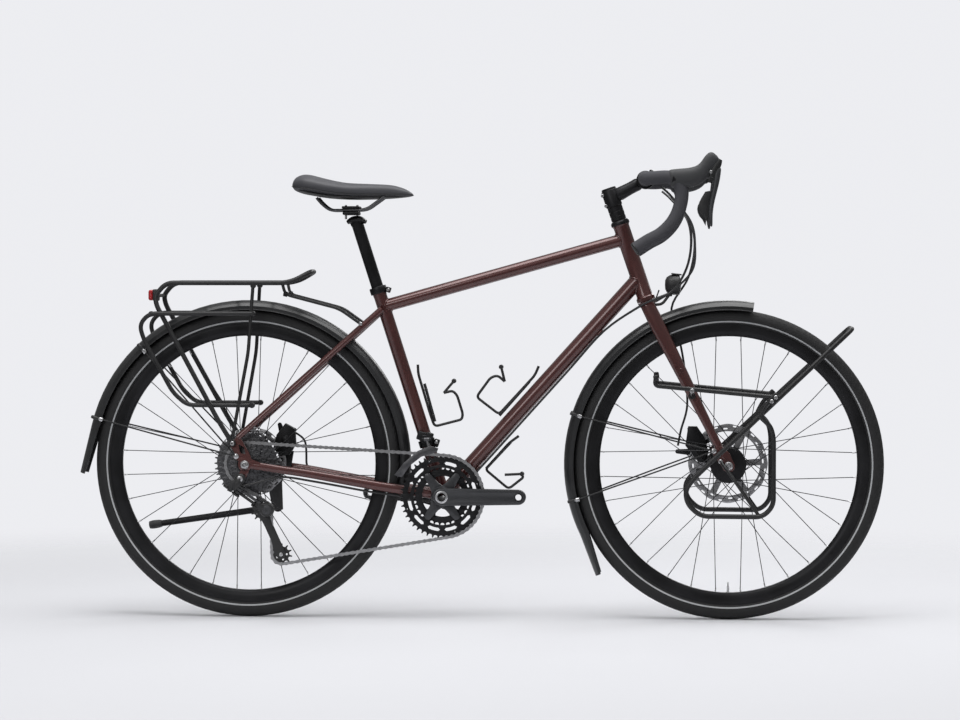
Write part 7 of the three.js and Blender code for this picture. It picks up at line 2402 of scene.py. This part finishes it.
def build_world() -> None:
    """Shows the camera a pale background and lights the scene by a soft gradient."""
    world = bpy.data.worlds.new("studio_world")
    world.use_nodes = True
    bpy.context.scene.world = world
    tree = world.node_tree
    tree.nodes.clear()
    place = tree.nodes.new("ShaderNodeTexCoord")
    split = tree.nodes.new("ShaderNodeSeparateXYZ")
    ramp = tree.nodes.new("ShaderNodeMapRange")
    for key, value in (("From Min", -0.35), ("From Max", 0.9), ("To Min", 0.1), ("To Max", 0.5)):
        ramp.inputs[key].default_value = value
    light = tree.nodes.new("ShaderNodeBackground")
    light.inputs["Color"].default_value = (1, 1, 1, 1)
    shown = tree.nodes.new("ShaderNodeBackground")
    shown.inputs["Color"].default_value = (*PALE, 1)
    path = tree.nodes.new("ShaderNodeLightPath")
    mix = tree.nodes.new("ShaderNodeMixShader")
    output = tree.nodes.new("ShaderNodeOutputWorld")
    links = tree.links
    links.new(place.outputs["Generated"], split.inputs[0])
    links.new(split.outputs[2], ramp.inputs["Value"])
    links.new(ramp.outputs["Result"], light.inputs["Strength"])
    links.new(path.outputs["Is Camera Ray"], mix.inputs[0])
    links.new(light.outputs[0], mix.inputs[1])
    links.new(shown.outputs[0], mix.inputs[2])
    links.new(mix.outputs[0], output.inputs["Surface"])
    bpy.context.scene.view_settings.view_transform = "Standard"


def build_studio_lamps() -> None:
    """Hangs a large softbox over the bicycle and smaller ones before and behind it."""
    rows = (
        ("overhead_lamp", (0.2, -0.4, 3.6), (0, 0, 0.4), 4, 2.2, 120),
        ("front_lamp", (-2.2, -5.2, 2.6), (0, 0, 0.6), 2.4, 1.6, 45),
        ("back_lamp", (1.6, 3.8, 2.6), (0, 0, 0.6), 2.6, 1.4, 40)
    )
    for name, place, target, size, depth, power in rows:
        bpy.ops.object.light_add(type="AREA", location=place)
        lamp = bpy.context.object
        lamp.name = name
        lamp.data.shape = "RECTANGLE"
        lamp.data.size = size
        lamp.data.size_y = depth
        lamp.data.energy = power
        way = Vector(target) - Vector(place)
        lamp.rotation_euler = way.to_track_quat("-Z", "Y").to_euler()


def build_floor() -> Obj:
    """Lays a round floor whose edge fades into the background."""
    clear()
    bpy.ops.mesh.primitive_circle_add(vertices=96, radius=FLOOR_RADIUS, fill_type="NGON")
    floor = bpy.context.object
    floor.name = "studio_floor"
    sheet = NodeSheet("studio_floor")
    sheet.shader.inputs["Base Color"].default_value = (*GROUND, 1)
    sheet.shader.inputs["Roughness"].default_value = 0.9
    sheet.shader.inputs["Specular IOR Level"].default_value = 0.1
    away = sheet.node("ShaderNodeVectorMath", operation="LENGTH")
    sheet.feed(away, 0, sheet.place())
    fade = sheet.node("ShaderNodeMapRange")
    sheet.feed(fade, "Value", away.outputs["Value"])
    sheet.feed(fade, "From Min", FADE_START)
    sheet.feed(fade, "From Max", FADE_END)
    fade.interpolation_type = "SMOOTHSTEP"
    clear_shader = sheet.node("ShaderNodeBsdfTransparent")
    mix = sheet.node("ShaderNodeMixShader")
    sheet.feed(mix, 0, fade.outputs["Result"])
    sheet.feed(mix, 1, sheet.shader.outputs[0])
    sheet.feed(mix, 2, clear_shader.outputs[0])
    output = sheet.tree.nodes["Material Output"]
    sheet.tree.links.new(mix.outputs[0], output.inputs["Surface"])
    floor.data.materials.append(sheet.material)
    return floor


SLOT_LOOKS: dict[str, Finish] = {
    Slot.PAINT.value: PAINT, Slot.TYRE.value: MOULDED, Slot.ANODISED.value: ANODISED,
    Slot.TUBE.value: RACK_COAT, Slot.PLASTIC.value: MOULDED, Slot.STEEL.value: SILVER,
    Slot.RUBBER.value: HOOD_RUBBER, Slot.TAPE.value: HOOD_RUBBER, Slot.SKIN.value: SADDLE_SKIN,
    Slot.LENS.value: RED_LENS
}


def dress_solids(loaded: dict[str, Any]) -> None:
    """Gives every solid the finish of its slot, for those that are still shown."""
    slots = {row["node"]: row["material_slot"] for row in loaded["record"]["subparts"]}
    for name, node in loaded["nodes"].items():
        node.data.materials.clear()
        node.data.materials.append(SLOT_LOOKS[slots[name]].material())


def main() -> None:
    """Builds the bicycle over its solids."""
    logging.basicConfig(level=logging.INFO, format="%(name)s: %(message)s")
    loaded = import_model()
    dress_solids(loaded)
    steps = (
        Wheel("front", FRONT_AXLE, Body.FRONT_WHEEL, 40, 33, 31, 31, (-47, 47), 90, 41, -90).build,
        Wheel("rear", REAR_AXLE, Body.REAR_WHEEL, 27, 18, 34, 20, (-64, 64), 80, 46, 90).build,
        Axle("front", FRONT_AXLE, Body.STEERING, 50.3, 6, 47).build,
        Axle("rear", REAR_AXLE, Body.FRAME, 67.8, 6.2, 64).build, build_front_triangle,
        build_rear_triangle, build_fittings, build_fork, build_cranks, build_rings, build_chain,
        build_cassette, build_rear_derailleur, build_front_derailleur, build_cockpit, build_post,
        build_base, build_cover,
        Mudguard(
            "front", FRONT_AXLE, Body.STEERING, 81, 206, 96, 10, (-33, 34, 62), 0.36,
            ((-337, 110), (-342, -80))
        ).build,
        Mudguard(
            "rear", REAR_AXLE, Body.FRAME, -13, 166, 114, 0.4, (-19, 19.3, 78), 0.14,
            ((-237, 256), (-338, 100))
        ).build,
        build_rear_rack, build_front_rack, build_lamps, build_brakes, build_stand,
        BottleCage(
            "seat_tube",
            (
                (-141, 573), (-140, 552), (-113, 461), (-103, 433), (-41, 449), (-39, 462),
                (-52, 504), (-62, 514), (-82, 509)
            ),
            ((-82, 509), (-59, 536)), ((-126, 530), (-102, 444)), "bottle_cage_seat_tube"
        ).build,
        BottleCage(
            "down_tube",
            ((133, 570), (124, 549), (43, 461), (-8, 500), (24, 544), (40, 549), (56, 535)),
            ((56, 535), (48, 568)), ((112, 535), (44, 458)), "bottle_cage_down_tube"
        ).build,
        BottleCage(
            "under_tube", ((88, 412), (66, 396), (12, 336), (65, 292), (98, 318), (95, 326)),
            ((56, 324), (95, 326)), ((70, 398), (14, 338)), "bottle_cage_under"
        ).build,
        build_cables
    )
    for step in steps:
        step()
    build_studio()
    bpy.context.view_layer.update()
    LOG.info("mounted %d pieces", len(MADE))


if __name__ == "__main__":
    main()
